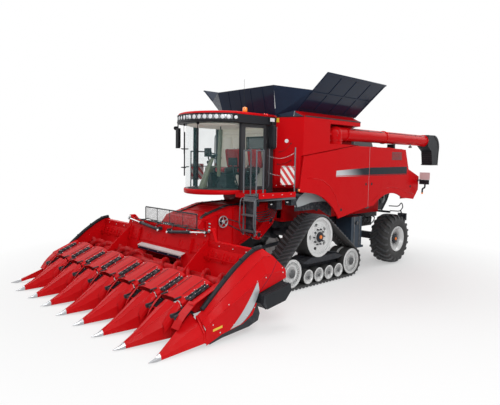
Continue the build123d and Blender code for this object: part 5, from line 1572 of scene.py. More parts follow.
            # A silver strip along the seam between the panels: a painted highlight of the panel edge.
            seam = Draft()
            seam.bar((1.6205, self.seam - 0.010, 1.80), (1.6205, self.seam - 0.010, 3.435), 0.005, 0.004,
                     X_AXIS)
            shop.piece(seam.on(side), f"{name}_seam_trim", SILVER_FILM_AND_HIGHLIGHT, front)


@dataclass
class GrainTank:
    """Tank corner gauge, edge seals, cover frames, end flap ribs and corner cloths."""

    hinge: Flat = (1.32, 4.215)
    long: float = 1.195
    tilt: float = 40.5
    cover_y: Flat = (-0.56, 1.88)

    def corner_place(self, x: float) -> Point:
        """Return the point of the slanting front corner at an X, its height left at 0."""
        return (x, -0.87 + (x - 0.95) * 0.28 / 0.65, 0.0)

    def corner(self) -> tuple[Draft, Draft, Draft]:
        """Draw the level gauge, steps, slots and bare plate on the slanting corner.

        Returns:
            The white gauge and studs, the dark fittings and the bare plate.
        """
        out = Vector((0.28, -0.65, 0)).normalized()
        white, dark, plate = Draft(), Draft(), Draft()

        def at(x: float, z: float, proud: float = 0.0) -> Vector:
            """Return a point on the corner's face."""
            return Vector(self.corner_place(x)) + Z_AXIS * z + out * proud
        white.lathe(at(1.218, 3.486), out, [(0.047, 0.0), (0.046, 0.012), (0.036, 0.016), (0.030, 0.012),
                                            (0.006, 0.012)], 28)
        for z in (2.56, 2.60, 2.64, 2.68):
            dark.bar(at(1.09, z, 0.003), at(1.24, z, 0.003), 0.008, 0.016, Z_AXIS)
        for start, end, sag in (((1.06, 3.23), (1.32, 3.43), 0.05), ((1.02, 2.93), (1.33, 3.03), 0.03)):
            line = sagging(at(start[0], start[1], 0.004), at(end[0], end[1], 0.004), sag)
            dark.tube(line, 0.0035, 6)
        for x, z in ((1.32, 3.43), (1.32, 3.03), (1.06, 3.23), (1.02, 2.93)):
            dark.lathe(at(x, z), out, [(0.014, 0.0), (0.013, 0.010), (0.004, 0.012)], 12)
        plate.prism([at(0.965, 3.93, 0.0005), at(1.035, 3.93, 0.0005), at(1.035, 4.03, 0.0005),
                     at(0.965, 4.03, 0.0005)], out * 0.0018)
        dark.bar(at(0.95, 4.055, 0.004), at(1.60, 4.055, 0.004), 0.012, 0.020, Z_AXIS)
        for x in (1.0, 1.2, 1.4, 1.58):
            white.lathe(at(x, 2.42), out, [(0.012, 0.0), (0.011, 0.006), (0.003, 0.007)], 10)
        return white, dark, plate

    def seals(self) -> Draft:
        """Draw the rubber seals along the tank's top edges.

        Returns:
            The seals of both sides.
        """
        draft = Draft()
        draft.tube([(1.305, -0.55, 4.205), (1.305, 1.72, 4.205)], 0.012, 8)
        draft.bar((1.602, -0.55, 4.068), (1.602, 1.715, 4.068), 0.012, 0.030)
        return draft.both()

    def cover(self) -> tuple[Draft, Draft]:
        """Draw the frame folds and hinges of the open left cover.

        Returns:
            The frame folds and the hinges.
        """
        turn = Matrix.Rotation(-math.radians(self.tilt), 4, "Y")
        place = Matrix.Translation(Vector((self.hinge[0], 0, self.hinge[1]))) @ turn
        y0, y1 = self.cover_y
        plate, steel = Draft(), Draft()
        for x in (0.05, 0.60, self.long - 0.05):
            plate.box((x - 0.022, y0 + 0.02, -0.014), (x + 0.022, y1 - 0.02, 0.0))
        for y in (y0 + 0.03, y0 + 0.62, (y0 + y1) / 2, y1 - 0.62, y1 - 0.03):
            plate.box((0.03, y - 0.020, -0.012), (self.long - 0.03, y + 0.020, 0.0))
        for y in (y0 + 0.03, y0 + 0.82, y1 - 0.82, y1 - 0.03):
            plate.box((0.05, y - 0.016, 0.012), (self.long - 0.04, y + 0.016, 0.024))
        plate.tube([(self.long, y0 + 0.01, -0.004), (self.long, y1 - 0.01, -0.004)], 0.013, 10)
        for y in (y0 + 0.20, (y0 + y1) / 2, y1 - 0.20):
            steel.box((0.030, y - 0.045, 0.0125), (0.14, y + 0.045, 0.018))
            for x in (0.06, 0.115):
                for off in (-0.025, 0.025):
                    steel.head((x, y + off, 0.018), Z_AXIS, 0.010, 0.006, 0.007, 0.008)
        moved, fixed = Draft(), Draft()
        moved.merge(plate, place)
        fixed.merge(steel, place)
        return moved, fixed

    def flap_ribs(self, y: float, direction: int) -> Draft:
        """Draw stiffening folds and a rim on one end flap.

        Args:
            y: Y of the flap's hinge.
            direction: -1 for the front flap, 1 for the rear one.

        Returns:
            The folds and the rim.
        """
        lean = settle((0, y, 4.078), -direction * math.radians(14), "X")
        raw = Draft()
        for x in (-0.62, -0.2, 0.2, 0.62):
            raw.box((x - 0.018, direction * 0.005, 0.03), (x + 0.018, direction * 0.015, 0.69))
        raw.tube([(-1.015, 0, 0.716), (1.015, 0, 0.716)], 0.011, 10)
        draft = Draft()
        draft.merge(raw, lean)
        return draft

    def inside(self) -> tuple[Draft, Draft]:
        """Draw the bubble-up auger and cross braces inside the tank.

        Returns:
            The filling auger and the braces.
        """
        steel, dark = Draft(), Draft()
        foot, top = Vector((0.0, 0.9, 2.62)), Vector((0.0, 0.35, 3.95))
        steel.tube([foot, top], 0.10, 20)
        steel.lathe(top, (top - foot).normalized(), [(0.10, 0.0), (0.13, 0.01), (0.13, 0.05), (0.11, 0.06),
                                                     (0.04, 0.06), (0.035, 0.17), (0.012, 0.18)], 28)
        for z in (3.1, 3.7):
            dark.tube([(-1.56, 0.5, z), (1.56, 0.5, z)], 0.022, 10)
            dark.tube([(0.62, -0.84, z), (0.62, 1.86, z)], 0.018, 10)
        return steel, dark

    def corner_cloths(self, shop: Workshop) -> None:
        """Make the cloths between covers and end flaps from the gusset meshes, bowed in and shallowly
        wrinkled.

        Args:
            shop: the workshop that holds the frame.
        """
        for node, flat, area in (("front_gussets", (1.16, 0.96), 0.875),
                                 ("rear_gussets", (1.04, 0.88), 0.715)):
            source = shop.frame["nodes"][node]
            mesh = source.data.copy()
            mesh.transform(source.matrix_world)
            shell = bmesh.new()
            shell.from_mesh(mesh)
            bmesh.ops.remove_doubles(shell, verts=shell.verts, dist=JOIN)
            bmesh.ops.subdivide_edges(shell, edges=shell.edges, cuts=6, use_grid_fill=True)
            for vert in shell.verts:
                high = max(0.0, min(1.0, (vert.co.z - 4.12) / 0.62))
                across = abs(vert.co.x) - 1.02
                pull = math.sin(math.pi * high) * math.sin(math.pi * max(0.0, min(1.0, across / 0.55)))
                inward = 1 if vert.co.y < shop.shift.y else -1
                vert.co.y += (0.010 * inward + 0.0022 * math.sin(across * 34 + high * 9)) * pull
            bmesh.ops.recalc_face_normals(shell, faces=shell.faces)
            shell.to_mesh(mesh)
            shell.free()
            made = bpy.data.objects.new(f"{node}_cloth", mesh)
            bpy.context.scene.collection.objects.link(made)
            mesh.materials.clear()
            mesh.materials.append(CORNER_CLOTH.material())
            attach(made, "chassis")
            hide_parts(node)
            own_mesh(made)
            LOG.info("%s folds with the tank covers", made.name)

    def build(self, shop: Workshop) -> None:
        """Make the tank's pieces.

        Args:
            shop: the workshop that makes the pieces.
        """
        self.corner_cloths(shop)
        white, dark, plate = self.corner()
        # The gauge and studs wear the glowing lamp lens finish: a painted glow, as they are no lamps.
        shop.piece(white.both(), "tank_gauges", LAMP_WHITE)
        shop.piece(dark.both(), "tank_corner_fittings", BLACK_PLASTIC)
        shop.piece(plate.both(), "tank_bare_plates", LABEL_BARE)
        shop.piece(self.seals(), "tank_seals", RUBBER_LIP)
        frame, hinges = self.cover()
        for side in Side:
            name = f"{side.name.lower()}_cover"
            shop.piece(frame.on(side), f"{name}_frame", BLACK_COVER, name, bevel=0.002)
            shop.piece(hinges.on(side), f"{name}_hinges", DARK_STEEL, name)
        shop.piece(self.flap_ribs(-0.856, -1), "front_flap_ribs", BLACK_COVER, "front_flap", bevel=0.002)
        shop.piece(self.flap_ribs(1.886, 1), "rear_flap_ribs", BLACK_COVER, "rear_flap", bevel=0.002)
        steel, braces = self.inside()
        shop.piece(steel, "tank_filling_auger", GREY_STEEL)
        shop.piece(braces, "tank_braces", RED_AUGER)


@dataclass
class RearEnd:
    """Engine deck, hood lamps and ladder, underbody, straw chopper and corner lamps."""

    deck_top: float = 3.43
    rail_top: float = 3.92
    screen: Flat = (2.70, 3.68)
    screen_x: float = -1.50
    chopper_half: float = 0.72
    lamp_y: float = 5.005

    def deck(self) -> tuple[Draft, Draft, Draft, Draft]:
        """Draw the bonnet's grille, the rotary screen, the exhaust and the deck's tread.

        Returns:
            The perforated grille, the steel pieces, the dark rails and the tread.
        """
        grille, steel, dark, tread = Draft(), Draft(), Draft(), Draft()
        grille.lathe((self.screen_x - 0.0005, *self.screen), -X_AXIS,
                     [(0.235, 0.0), (0.235, 0.012), (0.05, 0.022), (0.01, 0.022)], 48)
        steel.lathe((self.screen_x, *self.screen), -X_AXIS, [(0.255, -0.004), (0.255, 0.016), (0.240, 0.018),
                                                             (0.236, -0.004)], 48, ring=True)
        steel.bar((-1.525, 2.70, 3.46), (-1.525, 2.70, 3.90), 0.02, 0.03, X_AXIS)
        for k in range(9):
            y = 2.36 + 0.175 * k
            dark.box((-0.98, y, 3.6985), (0.50, y + 0.035, 3.706))
        for y in (3.55, 2.45):
            dark.bar((0.70, y, self.deck_top + 0.01), (1.20, y, self.deck_top + 0.01), 0.05, 0.02)
        steel.lathe((0.98, 2.18, self.deck_top), Z_AXIS,
                    [(0.105, 0.0), (0.11, 0.01), (0.11, 0.30), (0.09, 0.34), (0.06, 0.36)], 32)
        steel.tube(rounded([(0.98, 2.18, 3.76), (0.98, 2.18, 3.98), (0.98, 2.34, 4.04)], 0.09), 0.052, 18)
        tread.box((-1.52, 1.945, 3.4305), (1.16, 2.22, 3.436))
        tread.box((0.72, 2.24, 3.4305), (1.16, 4.06, 3.436))
        for front, rear in ((1.99, 2.40), (3.05, 4.00)):
            rail = [(-1.50, front, self.deck_top), (-1.50, front, self.rail_top),
                    (-1.50, rear, self.rail_top), (-1.50, rear, self.deck_top)]
            dark.tube(rounded(rail, 0.08), 0.014, 10)
        return grille, steel, dark, tread

    def hood(self) -> tuple[Draft, Draft, Draft, Draft]:
        """Draw the hood's lamps, its window grille and ladder.

        Returns:
            The red lamps, the amber lamps, the dark grille and the ladder.
        """
        red, amber, dark, ladder = Draft(), Draft(), Draft(), Draft()
        dark.prism([(-0.9, 4.32, 2.868), (0.9, 4.32, 2.868), (0.9, 4.93, 2.624), (-0.9, 4.93, 2.624)],
                   Vector((0, 0.35, 0.93)) * 0.004)
        for k in range(8):
            y = 4.37 + 0.07 * k
            z = 2.850 - 0.4 * (y - 4.37)
            dark.bar((-0.84, y, z + 0.006), (0.84, y, z + 0.006), 0.014, 0.012)
        for side in SIDES:
            x = side * 1.32
            dark.box((x - 0.12, 4.953, 2.27), (x + 0.12, 4.972, 2.53))
            red.lathe((x, 4.970, 2.465), Y_AXIS,
                      [(0.046, 0.0), (0.045, 0.012), (0.02, 0.018), (0.004, 0.018)], 24)
            red.lathe((x, 4.970, 2.365), Y_AXIS,
                      [(0.040, 0.0), (0.039, 0.010), (0.02, 0.015), (0.004, 0.015)], 24)
            amber.lathe((x - side * 0.085, 4.970, 2.415), Y_AXIS,
                        [(0.024, 0.0), (0.023, 0.010), (0.004, 0.013)], 20)
            red.lathe((side * 1.44, 4.952, 2.58), Y_AXIS, [(0.030, 0.0), (0.029, 0.006), (0.004, 0.007)], 20)
        for side in SIDES:
            ladder.tube(rounded([(side * 0.22, 4.70, 1.95), (side * 0.22, 5.02, 2.05),
                                 (side * 0.22, 5.04, 2.55), (side * 0.22, 4.92, 2.66)], 0.06), 0.014, 10)
        for z in (2.12, 2.32, 2.52):
            ladder.bar((-0.22, 5.035, z), (0.22, 5.035, z), 0.035, 0.02)
        return red, amber, dark, ladder

    def under(self) -> tuple[Draft, Draft, Draft]:
        """Draw the belt drives, hoses and lamp bracket that show behind the tracks.

        Returns:
            The dark pieces, the steel pulleys and the lamp's lens.
        """
        dark, steel, amber = Draft(), Draft(), Draft()
        for y, z, radius in ((1.55, 1.98, 0.21), (2.45, 2.08, 0.16), (3.35, 1.86, 0.24)):
            steel.lathe((0.785, y, z), X_AXIS,
                        [(radius, 0.0), (radius + 0.012, 0.006), (radius - 0.006, 0.02),
                         (radius + 0.012, 0.05), (radius, 0.056), (radius - 0.03, 0.054),
                         (radius - 0.05, 0.02), (0.06, 0.015), (0.055, 0.07), (0.01, 0.072)], 36)
        for start, end in (((1.55, 2.19), (2.45, 2.24)), ((1.55, 1.77), (2.45, 1.92)),
                           ((2.45, 2.24), (3.35, 2.10)), ((2.45, 1.92), (3.35, 1.62))):
            dark.bar((0.812, *start), (0.812, *end), 0.030, 0.016, X_AXIS)
        for z in (1.335, 1.385):
            dark.tube(rounded([(0.59, 1.10, z), (0.607, 1.30, z), (0.607, 2.92, z), (0.607, 3.06, z - 0.12),
                               (0.57, 3.14, z - 0.14)], 0.08), 0.013, 8)
        dark.box((0.20, 2.95, 1.02), (0.585, 3.48, 1.302))
        dark.box((-0.46, 3.42, 1.00), (0.46, 4.24, 1.302))
        for side in SIDES:
            for k in range(4):
                y = 3.56 + 0.19 * k
                dark.tube(rounded([(side * 0.46, y, 1.08), (side * 0.53, y, 1.06),
                                   (side * 0.56, y + 0.10, 1.16), (side * 0.53, y + 0.18, 1.27),
                                   (side * 0.46, y + 0.18, 1.26)], 0.05), 0.017, 8)
        for k in range(5):
            dark.box((0.583, 3.00 + 0.095 * k, 1.04), (0.600, 3.05 + 0.095 * k, 1.27))
        for k in range(3):
            y = 3.06 + 0.15 * k
            dark.tube(rounded([(0.575, y, 1.10), (0.66, y + 0.02, 1.08), (0.68, y + 0.12, 1.22),
                               (0.66, y + 0.20, 1.36), (0.575, y + 0.22, 1.40)], 0.07), 0.015, 8)
        steel.lathe((0.655, 2.99, 0.98), Z_AXIS, [(0.03, -0.012), (0.058, 0.0), (0.060, 0.02), (0.060, 0.30),
                                                  (0.050, 0.33), (0.02, 0.35)], 24)
        dark.bar((0.58, 2.99, 1.12), (0.66, 2.99, 1.12), 0.05, 0.02)
        frame = [(1.02, 4.32, 1.66), (1.30, 4.42, 1.66), (1.30, 4.60, 1.78), (1.30, 4.70, 1.62),
                 (1.30, 4.52, 1.50), (1.02, 4.40, 1.50)]
        dark.tube(rounded(frame, 0.07), 0.016, 10)
        dark.box((0.58, 4.30, 1.44), (1.06, 4.36, 1.50))
        dark.box((1.18, 4.60, 1.22), (1.46, 4.66, 1.44))
        dark.bar((1.30, 4.56, 1.52), (1.30, 4.63, 1.42), 0.03, 0.03)
        amber.box((1.21, 4.655, 1.35), (1.43, 4.672, 1.41))
        return dark, steel, amber

    def chopper(self) -> tuple[Draft, Draft]:
        """Draw the straw chopper's housing under the hood, its ribs, pulleys and tension arm.

        Returns:
            The dark housing and the steel pulleys.
        """
        dark, steel = Draft(), Draft()
        profile = [(4.097, 1.56), (4.40, 1.50), (4.68, 1.80), (4.84, 2.10), (4.84, 2.34), (4.097, 2.40)]
        dark.prism([(-self.chopper_half, y, z) for y, z in profile], X_AXIS * 2 * self.chopper_half)
        for side in SIDES:
            x = side * (self.chopper_half + 0.002)
            for start, end in zip(profile[1:5], profile[2:6]):
                dark.bar((x, *start), (x, *end), 0.035, 0.03, X_AXIS)
            for y in (4.28, 4.46, 4.62):
                dark.bar((x, y, 1.66 + 0.5 * (y - 4.28)), (x, y, 2.34), 0.02, 0.018, X_AXIS)
            steel.lathe((x, 4.40, 1.86), X_AXIS * side,
                        [(0.135, 0.0), (0.135, 0.018), (0.06, 0.022), (0.055, 0.05), (0.01, 0.052)], 32)
            steel.lathe((x, 4.63, 2.12), X_AXIS * side,
                        [(0.085, 0.0), (0.085, 0.018), (0.03, 0.022), (0.01, 0.04)], 28)
            steel.bar((x + side * 0.03, 4.40, 1.90), (x + side * 0.03, 4.62, 2.14), 0.02, 0.012, X_AXIS)
        return dark, steel

    def corner_lamps(self) -> tuple[Draft, Draft, Draft]:
        """Draw the arms at the hood's rear corners with their lamp boxes and marker boards.

        Returns:
            The dark arm, the pale board and the amber lamps of the left corner.
        """
        dark, pale, amber = Draft(), Draft(), Draft()
        dark.bar((1.50, 4.90, 2.47), (1.96, 5.00, 2.47), 0.03, 0.03)
        dark.bar((1.50, 4.90, 2.56), (1.72, 4.99, 2.49), 0.02, 0.02)
        dark.box((1.66, 4.975, 2.36), (1.96, 5.035, 2.50))
        dark.tube(rounded([(1.84, self.lamp_y, 2.38), (1.84, self.lamp_y, 2.26), (1.76, self.lamp_y, 2.22),
                           (1.76, self.lamp_y, 2.10)], 0.04), 0.026, 10)
        pale.box((1.655, 4.995, 2.505), (1.985, 5.012, 2.73))
        amber.lathe((1.76, self.lamp_y, 2.055), Z_AXIS,
                    [(0.010, 0.0), (0.028, 0.006), (0.030, 0.04), (0.02, 0.05)], 20)
        for x in (1.72, 1.90):
            amber.lathe((x, 5.034, 2.43), Y_AXIS,
                        [(0.038, 0.0), (0.037, 0.010), (0.02, 0.015), (0.004, 0.015)], 20)
        return dark, pale, amber

    def tank_side(self) -> Draft:
        """Draw straps, filler and cap of the fuel tank.

        Returns:
            The dark fittings.
        """
        dark = Draft()
        for y in (2.20, 2.46):
            dark.box((0.634, y, 0.614), (1.188, y + 0.045, 1.476))
        dark.lathe((1.186, 2.33, 1.28), X_AXIS, [(0.055, 0.0), (0.053, 0.03), (0.040, 0.04), (0.01, 0.042)],
                   24)
        return dark

    def build(self, shop: Workshop) -> None:
        """Make the pieces of the machine's rear.

        Args:
            shop: the workshop that makes the pieces.
        """
        grille, steel, dark, tread = self.deck()
        shop.piece(grille, "rotary_screen", PERFORATED)
        shop.piece(steel, "exhaust_and_rims", DARK_STEEL)
        shop.piece(dark, "deck_rails", BLACK_FRAME)
        shop.piece(tread, "deck_treads", TREAD_STEEL)
        red, amber, panel, ladder = self.hood()
        shop.piece(red, "rear_red_lamps", LAMP_RED)
        shop.piece(amber, "rear_amber_lamps", LAMP_AMBER)
        shop.piece(panel, "hood_grille", BLACK_PLASTIC, bevel=0.002)
        shop.piece(ladder, "hood_ladder", RAIL_GREY)
        dark, steel, amber = self.under()
        shop.piece(dark.both(), "belts_and_brackets", BLACK_FRAME)
        shop.piece(steel.both(), "belt_pulleys", DARK_STEEL)
        shop.piece(amber.both(), "side_marker_lamps", LAMP_RED)
        shop.piece(self.tank_side(), "fuel_tank_straps", DARK_STEEL, bevel=0.002)
        housing, arm = self.chopper()
        shop.piece(housing, "chopper_housing", BLACK_FRAME, bevel=0.003)
        shop.piece(arm, "chopper_pulleys", DARK_STEEL)
        bracket, board, lens = self.corner_lamps()
        shop.piece(bracket.both(), "corner_lamp_arms", BLACK_PLASTIC, bevel=0.002)
        shop.piece(board.both(), "corner_marker_boards", MARKER_BOARD, bevel=0.002)
        shop.piece(lens.both(), "corner_lamps", LAMP_AMBER)


@dataclass
class UnloadingAuger:
    """Flanges, clamps, work lamp and rubber spout of the unloading auger."""

    pivot: Flat = (1.43, 0.84)
    height: float = 3.735
    radius: float = 0.17
    end: float = 5.70

    def build(self, shop: Workshop) -> None:
        """Make the auger's pieces.

        Args:
            shop: the workshop that makes the pieces.
        """
        x, y = self.pivot
        red, dark, white, rubber = Draft(), Draft(), Draft(), Draft()
        centre = (x, 0, self.height)
        for at in (1.20, 3.10, 5.52):
            red.lathe(centre, Y_AXIS, [(self.radius, at), (self.radius + 0.018, at + 0.004),
                                       (self.radius + 0.018, at + 0.018), (self.radius, at + 0.022)], 40,
                      ring=True)
            red.lathe(centre, Y_AXIS, [(self.radius, at + 0.024), (self.radius + 0.018, at + 0.028),
                                       (self.radius + 0.018, at + 0.042), (self.radius, at + 0.046)], 40,
                      ring=True)
            dark.bolts((x, at + 0.044, self.height), Y_AXIS, self.radius + 0.010, 12, 0.008, 0.008)
        red.lathe((x, y, 0), Z_AXIS, [(0.185, 3.538), (0.205, 3.542), (0.205, 3.558), (0.185, 3.562)], 40,
                  ring=True)
        dark.bolts((x, y, 3.558), Z_AXIS, 0.196, 14, 0.008, 0.010)
        facing = Vector((0.6, -0.8, 0))
        red.lathe((x, y, self.height), facing, [(0.125, 0.13), (0.12, 0.17), (0.09, 0.182), (0.02, 0.184)],
                  28)
        dark.bolts(Vector((x, y, self.height)) + facing * 0.170, facing, 0.10, 8, 0.008, 0.010)
        lamp = Vector((x + 0.10, 4.55, self.height - 0.17))
        dark.bar(lamp + Z_AXIS * 0.03, lamp - Z_AXIS * 0.03, 0.02, 0.04, Y_AXIS)
        dark.lathe(lamp - Z_AXIS * 0.03, -Z_AXIS,
                   [(0.035, 0.0), (0.052, 0.02), (0.052, 0.05), (0.046, 0.055)], 24)
        white.lathe(lamp - Z_AXIS * 0.082, -Z_AXIS, [(0.045, 0.0), (0.035, 0.008), (0.004, 0.010)], 24)
        for start, finish in ((1.35, 3.0), (3.25, 5.4)):
            dark.tube([(x + 0.12, start, self.height + 0.128), (x + 0.12, finish, self.height + 0.128)],
                      0.008, 8)
        for at in (1.6, 2.2, 2.8, 3.6, 4.2, 4.8):
            dark.box((x + 0.104, at, self.height + 0.112), (x + 0.136, at + 0.02, self.height + 0.140))
        half = self.radius + 0.012
        for drop in range(6):
            z = 3.36 - 0.065 * drop
            rubber.tube([(x - half, self.end + 0.115 + 0.013 * drop, z),
                         (x + half, self.end + 0.115 + 0.013 * drop, z)], 0.009, 8)
        rubber.box((x - half - 0.004, self.end + 0.15, 2.955), (x + half + 0.004, self.end + 0.60, 2.985))
        rubber.box((x - half - 0.004, self.end - 0.155, self.height - 0.182),
                   (x + half + 0.004, self.end - 0.125, self.height + 0.186))
        for off in SIDES:
            rubber.tube([(x + off * (half + 0.002), self.end + 0.24, 3.90),
                         (x + off * (half + 0.002), self.end + 0.50, 3.72),
                         (x + off * (half + 0.002), self.end + 0.595, 3.44),
                         (x + off * (half + 0.002), self.end + 0.565, 3.0)], 0.008, 8)
        shop.piece(red, "auger_flanges", RED_PAINT, "unloading_auger")
        shop.piece(dark, "auger_fittings", DARK_STEEL, "unloading_auger")
        shop.piece(white, "auger_work_lamp", LAMP_WHITE, "unloading_auger")
        shop.piece(rubber, "spout_ribs", RUBBER_LIP, "unloading_auger", bevel=0.002)


# ---------------------------------------------------------------- cab and platform
def bow(half: float, front: float, bulge: float, share: float,
        out: float = 0.0) -> tuple[float, float, Vector]:
    """Return (X, Y, outward direction) on a bowed front.

    Args:
        half: half the chord's length.
        front: Y of the chord.
        bulge: how far the bow stands in front of it.
        share: place along the bow, -1 on the right to 1 on the left.
        out: distance outside the bow.

    Returns:
        X, Y and the outward direction, of length 1.
    """
    radius = (half * half + bulge * bulge) / (2 * bulge)
    turn = math.asin(half / radius) * share
    away = Vector((math.sin(turn), -math.cos(turn), 0.0))
    return away.x * (radius + out), front - bulge + radius + away.y * (radius + out), away


def soft_block(size: Point, crown: Point, round_off: float, channels: Sequence[float] = (),
               depth: float = 0.006, steps: int = 12) -> Draft:
    """Draw a stuffed block: rounded, swollen between its edges and sewn in channels along Y.

    Args:
        size: half lengths along X, Y and Z.
        crown: how far each pair of faces swells.
        round_off: radius of its edges.
        channels: sewn lines, as shares of the half width.
        depth: how deep the sewing pulls in.
        steps: faces along each edge.

    Returns:
        The block, about its own middle.
    """
    shell = bmesh.new()
    bmesh.ops.create_cube(shell, size=2.0)
    bmesh.ops.subdivide_edges(shell, edges=shell.edges, cuts=steps, use_grid_fill=True)
    for vert in shell.verts:
        unit = vert.co.copy()
        place = Vector([unit[i] * size[i] for i in range(3)])
        core = Vector([max(-size[i] + round_off, min(size[i] - round_off, place[i])) for i in range(3)])
        off = place - core
        if off.length > 1e-9:
            place = core + off.normalized() * round_off
        fill = [1 - unit[i] ** 4 for i in range(3)]
        for i in range(3):
            others = fill[(i + 1) % 3] * fill[(i + 2) % 3]
            place[i] += math.copysign(crown[i] * others * min(1.0, abs(unit[i])) ** 6, unit[i])
        if abs(unit.z) > 0.6:
            for channel in channels:
                pull = math.exp(-((unit.x - channel) / 0.045) ** 2) * depth * max(fill[1], 0.0) ** 0.3
                place.z -= math.copysign(pull, unit.z)
        vert.co = place
    draft = Draft()
    shell.verts.index_update()
    draft.add([v.co for v in shell.verts], [[v.index for v in f.verts] for f in shell.faces], smooth=True)
    shell.free()
    return draft


@dataclass
class Cab:
    """Roof, lamps, lining, seats, controls, mirrors and wipers of the hollow cab."""

    half: float = 0.86
    front: float = -1.9
    bulge: float = 0.72
    rear: float = -0.93
    roof_half: float = 1.01
    roof_front: float = -2.12
    roof_bulge: float = 0.64
    roof_rear: float = -0.90
    floor: float = 2.33

    def roof_line(self, out: float, count: int = 28) -> list[Flat]:
        """Return the roof's plan outline, moved outward.

        Args:
            out: how far outward.
            count: faces along the bowed front.

        Returns:
            (X, Y) points, from the left rear corner to the right one.
        """
        line = [(self.roof_half + out, self.roof_rear + out), (self.roof_half + out, self.roof_front)]
        for i in range(count - 1, 0, -1):
            x, y, _ = bow(self.roof_half, self.roof_front, self.roof_bulge, 2 * i / count - 1, out)
            line.append((x, y))
        return line + [(-self.roof_half - out, self.roof_front),
                       (-self.roof_half - out, self.roof_rear + out)]

    def roof_top(self) -> Draft:
        """Draw the domed red roof skin.

        Returns:
            The skin.
        """
        draft = Draft()
        rings = [[(x, y, z) for x, y in self.roof_line(out)]
                 for out, z in ((0.004, 4.034), (0.006, 4.050), (-0.012, 4.080))]
        for share, z in ((0.95, 4.097), (0.86, 4.106), (0.62, 4.114), (0.30, 4.118)):
            rings.append([(x * share, -1.72 + (y + 1.72) * share, z) for x, y in self.roof_line(-0.012)])
        draft.loft(rings, smooth=True)
        return draft

    def lamp_band(self) -> tuple[Draft, Draft, Draft]:
        """Draw the visor's reflector band, its round lamps and their bezels.

        Returns:
            The bright band, the lenses and the dark frame.
        """
        chrome, lens, dark = Draft(), Draft(), Draft()

        def ring(share: float, section: Sequence[Flat]) -> list[Point]:
            """Return the section placed across the bow at one share.

            Args:
                share: place along the bow, from -1 to 1.
                section: (distance outward, Z) points.

            Returns:
                The section's points.
            """
            made = []
            for out, z in section:
                x, y, _ = bow(self.roof_half, self.roof_front, self.roof_bulge, share, out)
                made.append((x, y, z))
            return made
        shares = [-0.62 + 1.52 * i / 40 for i in range(41)]
        chrome.loft([ring(s, ((0.0, 3.905), (0.006, 3.905), (0.010, 3.93), (0.010, 4.00), (0.006, 4.020),
                              (0.0, 4.020))) for s in shares], smooth=True)
        wide = [-0.98 + 1.96 * i / 48 for i in range(49)]
        dark.loft([ring(s, ((-0.01, 3.848), (0.020, 3.852), (0.034, 3.870), (0.028, 3.896), (0.006, 3.900),
                            (-0.01, 3.900))) for s in wide], smooth=True)
        dark.loft([ring(s, ((-0.01, 4.020), (0.020, 4.020), (0.030, 4.030), (0.016, 4.042), (-0.01, 4.044)))
                   for s in wide], smooth=True)
        for index in range(16):
            share = math.copysign(0.08 + 0.107 * (index % 8), index - 7.5)
            x, y, away = bow(self.roof_half, self.roof_front, self.roof_bulge, share, 0.008)
            dark.lathe((x, y, 3.962), away, [(0.0585, -0.004), (0.0585, 0.012), (0.054, 0.014),
                                             (0.052, -0.004)], 28, ring=True)
            lens.lathe((x, y, 3.962), away, [(0.053, 0.0), (0.050, 0.010), (0.030, 0.016), (0.004, 0.018)],
                       24)
        for share in (-0.90, 0.955):
            x, y, away = bow(self.roof_half, self.roof_front, self.roof_bulge, share, 0.0)
            lens.lathe((x, y, 3.955), away, [(0.042, 0.0), (0.040, 0.016), (0.020, 0.022), (0.004, 0.022)],
                       24)
            dark.lathe((x, y, 3.955), away, [(0.052, -0.002), (0.050, 0.014), (0.044, 0.014),
                                             (0.043, -0.002)], 24, ring=True)
        return chrome, lens, dark

    def signals(self) -> tuple[Draft, Draft, Draft, Draft]:
        """Draw the beacons, the antenna, the side lamps and their bases on the roof.

        Returns:
            The amber, red and white lenses, and the dark bases.
        """
        amber, red, white, dark = Draft(), Draft(), Draft(), Draft()
        for x, y in ((0.735, -1.67), (-0.735, -1.67)):
            dark.lathe((x, y, 4.098), Z_AXIS, [(0.055, -0.012), (0.055, 0.010), (0.042, 0.022),
                                               (0.02, 0.026)], 24)
            amber.lathe((x, y, 4.118), Z_AXIS, [(0.050, 0.0), (0.056, 0.020), (0.056, 0.082), (0.050, 0.100),
                                                (0.030, 0.114), (0.004, 0.118)], 28)
        dark.lathe((0.30, -1.30, 4.085), Z_AXIS, [(0.022, -0.01), (0.020, 0.03), (0.010, 0.06), (0.004, 0.09),
                                                  (0.0028, 0.86), (0.001, 0.87)], 10)
        for side in SIDES:
            for y in (-1.30, -1.22):
                red.lathe((side * 1.0, y, 4.072), Vector((side * 0.8, 0, 0.6)),
                          [(0.028, 0.0), (0.027, 0.020), (0.014, 0.028), (0.003, 0.029)], 20)
            dark.box((min(side * 0.985, side * 1.005), -1.345, 4.03),
                     (max(side * 0.985, side * 1.005), -1.175, 4.085))
            x0, x1 = sorted((side * 1.008, side * 1.050))
            dark.box((x0, -1.165, 3.915), (x1, -1.005, 4.010))
            x0, x1 = sorted((side * 1.046, side * 1.058))
            white.box((x0, -1.158, 3.922), (x1, -1.012, 4.003))
        return amber, red, white, dark

    def lining(self) -> tuple[Draft, Draft, Draft]:
        """Draw the headliner, the rear wall with its window surround, and the floor mat.

        Returns:
            The cream lining, the window pane and the dark mat.
        """
        cream, window, mat = Draft(), Draft(), Draft()

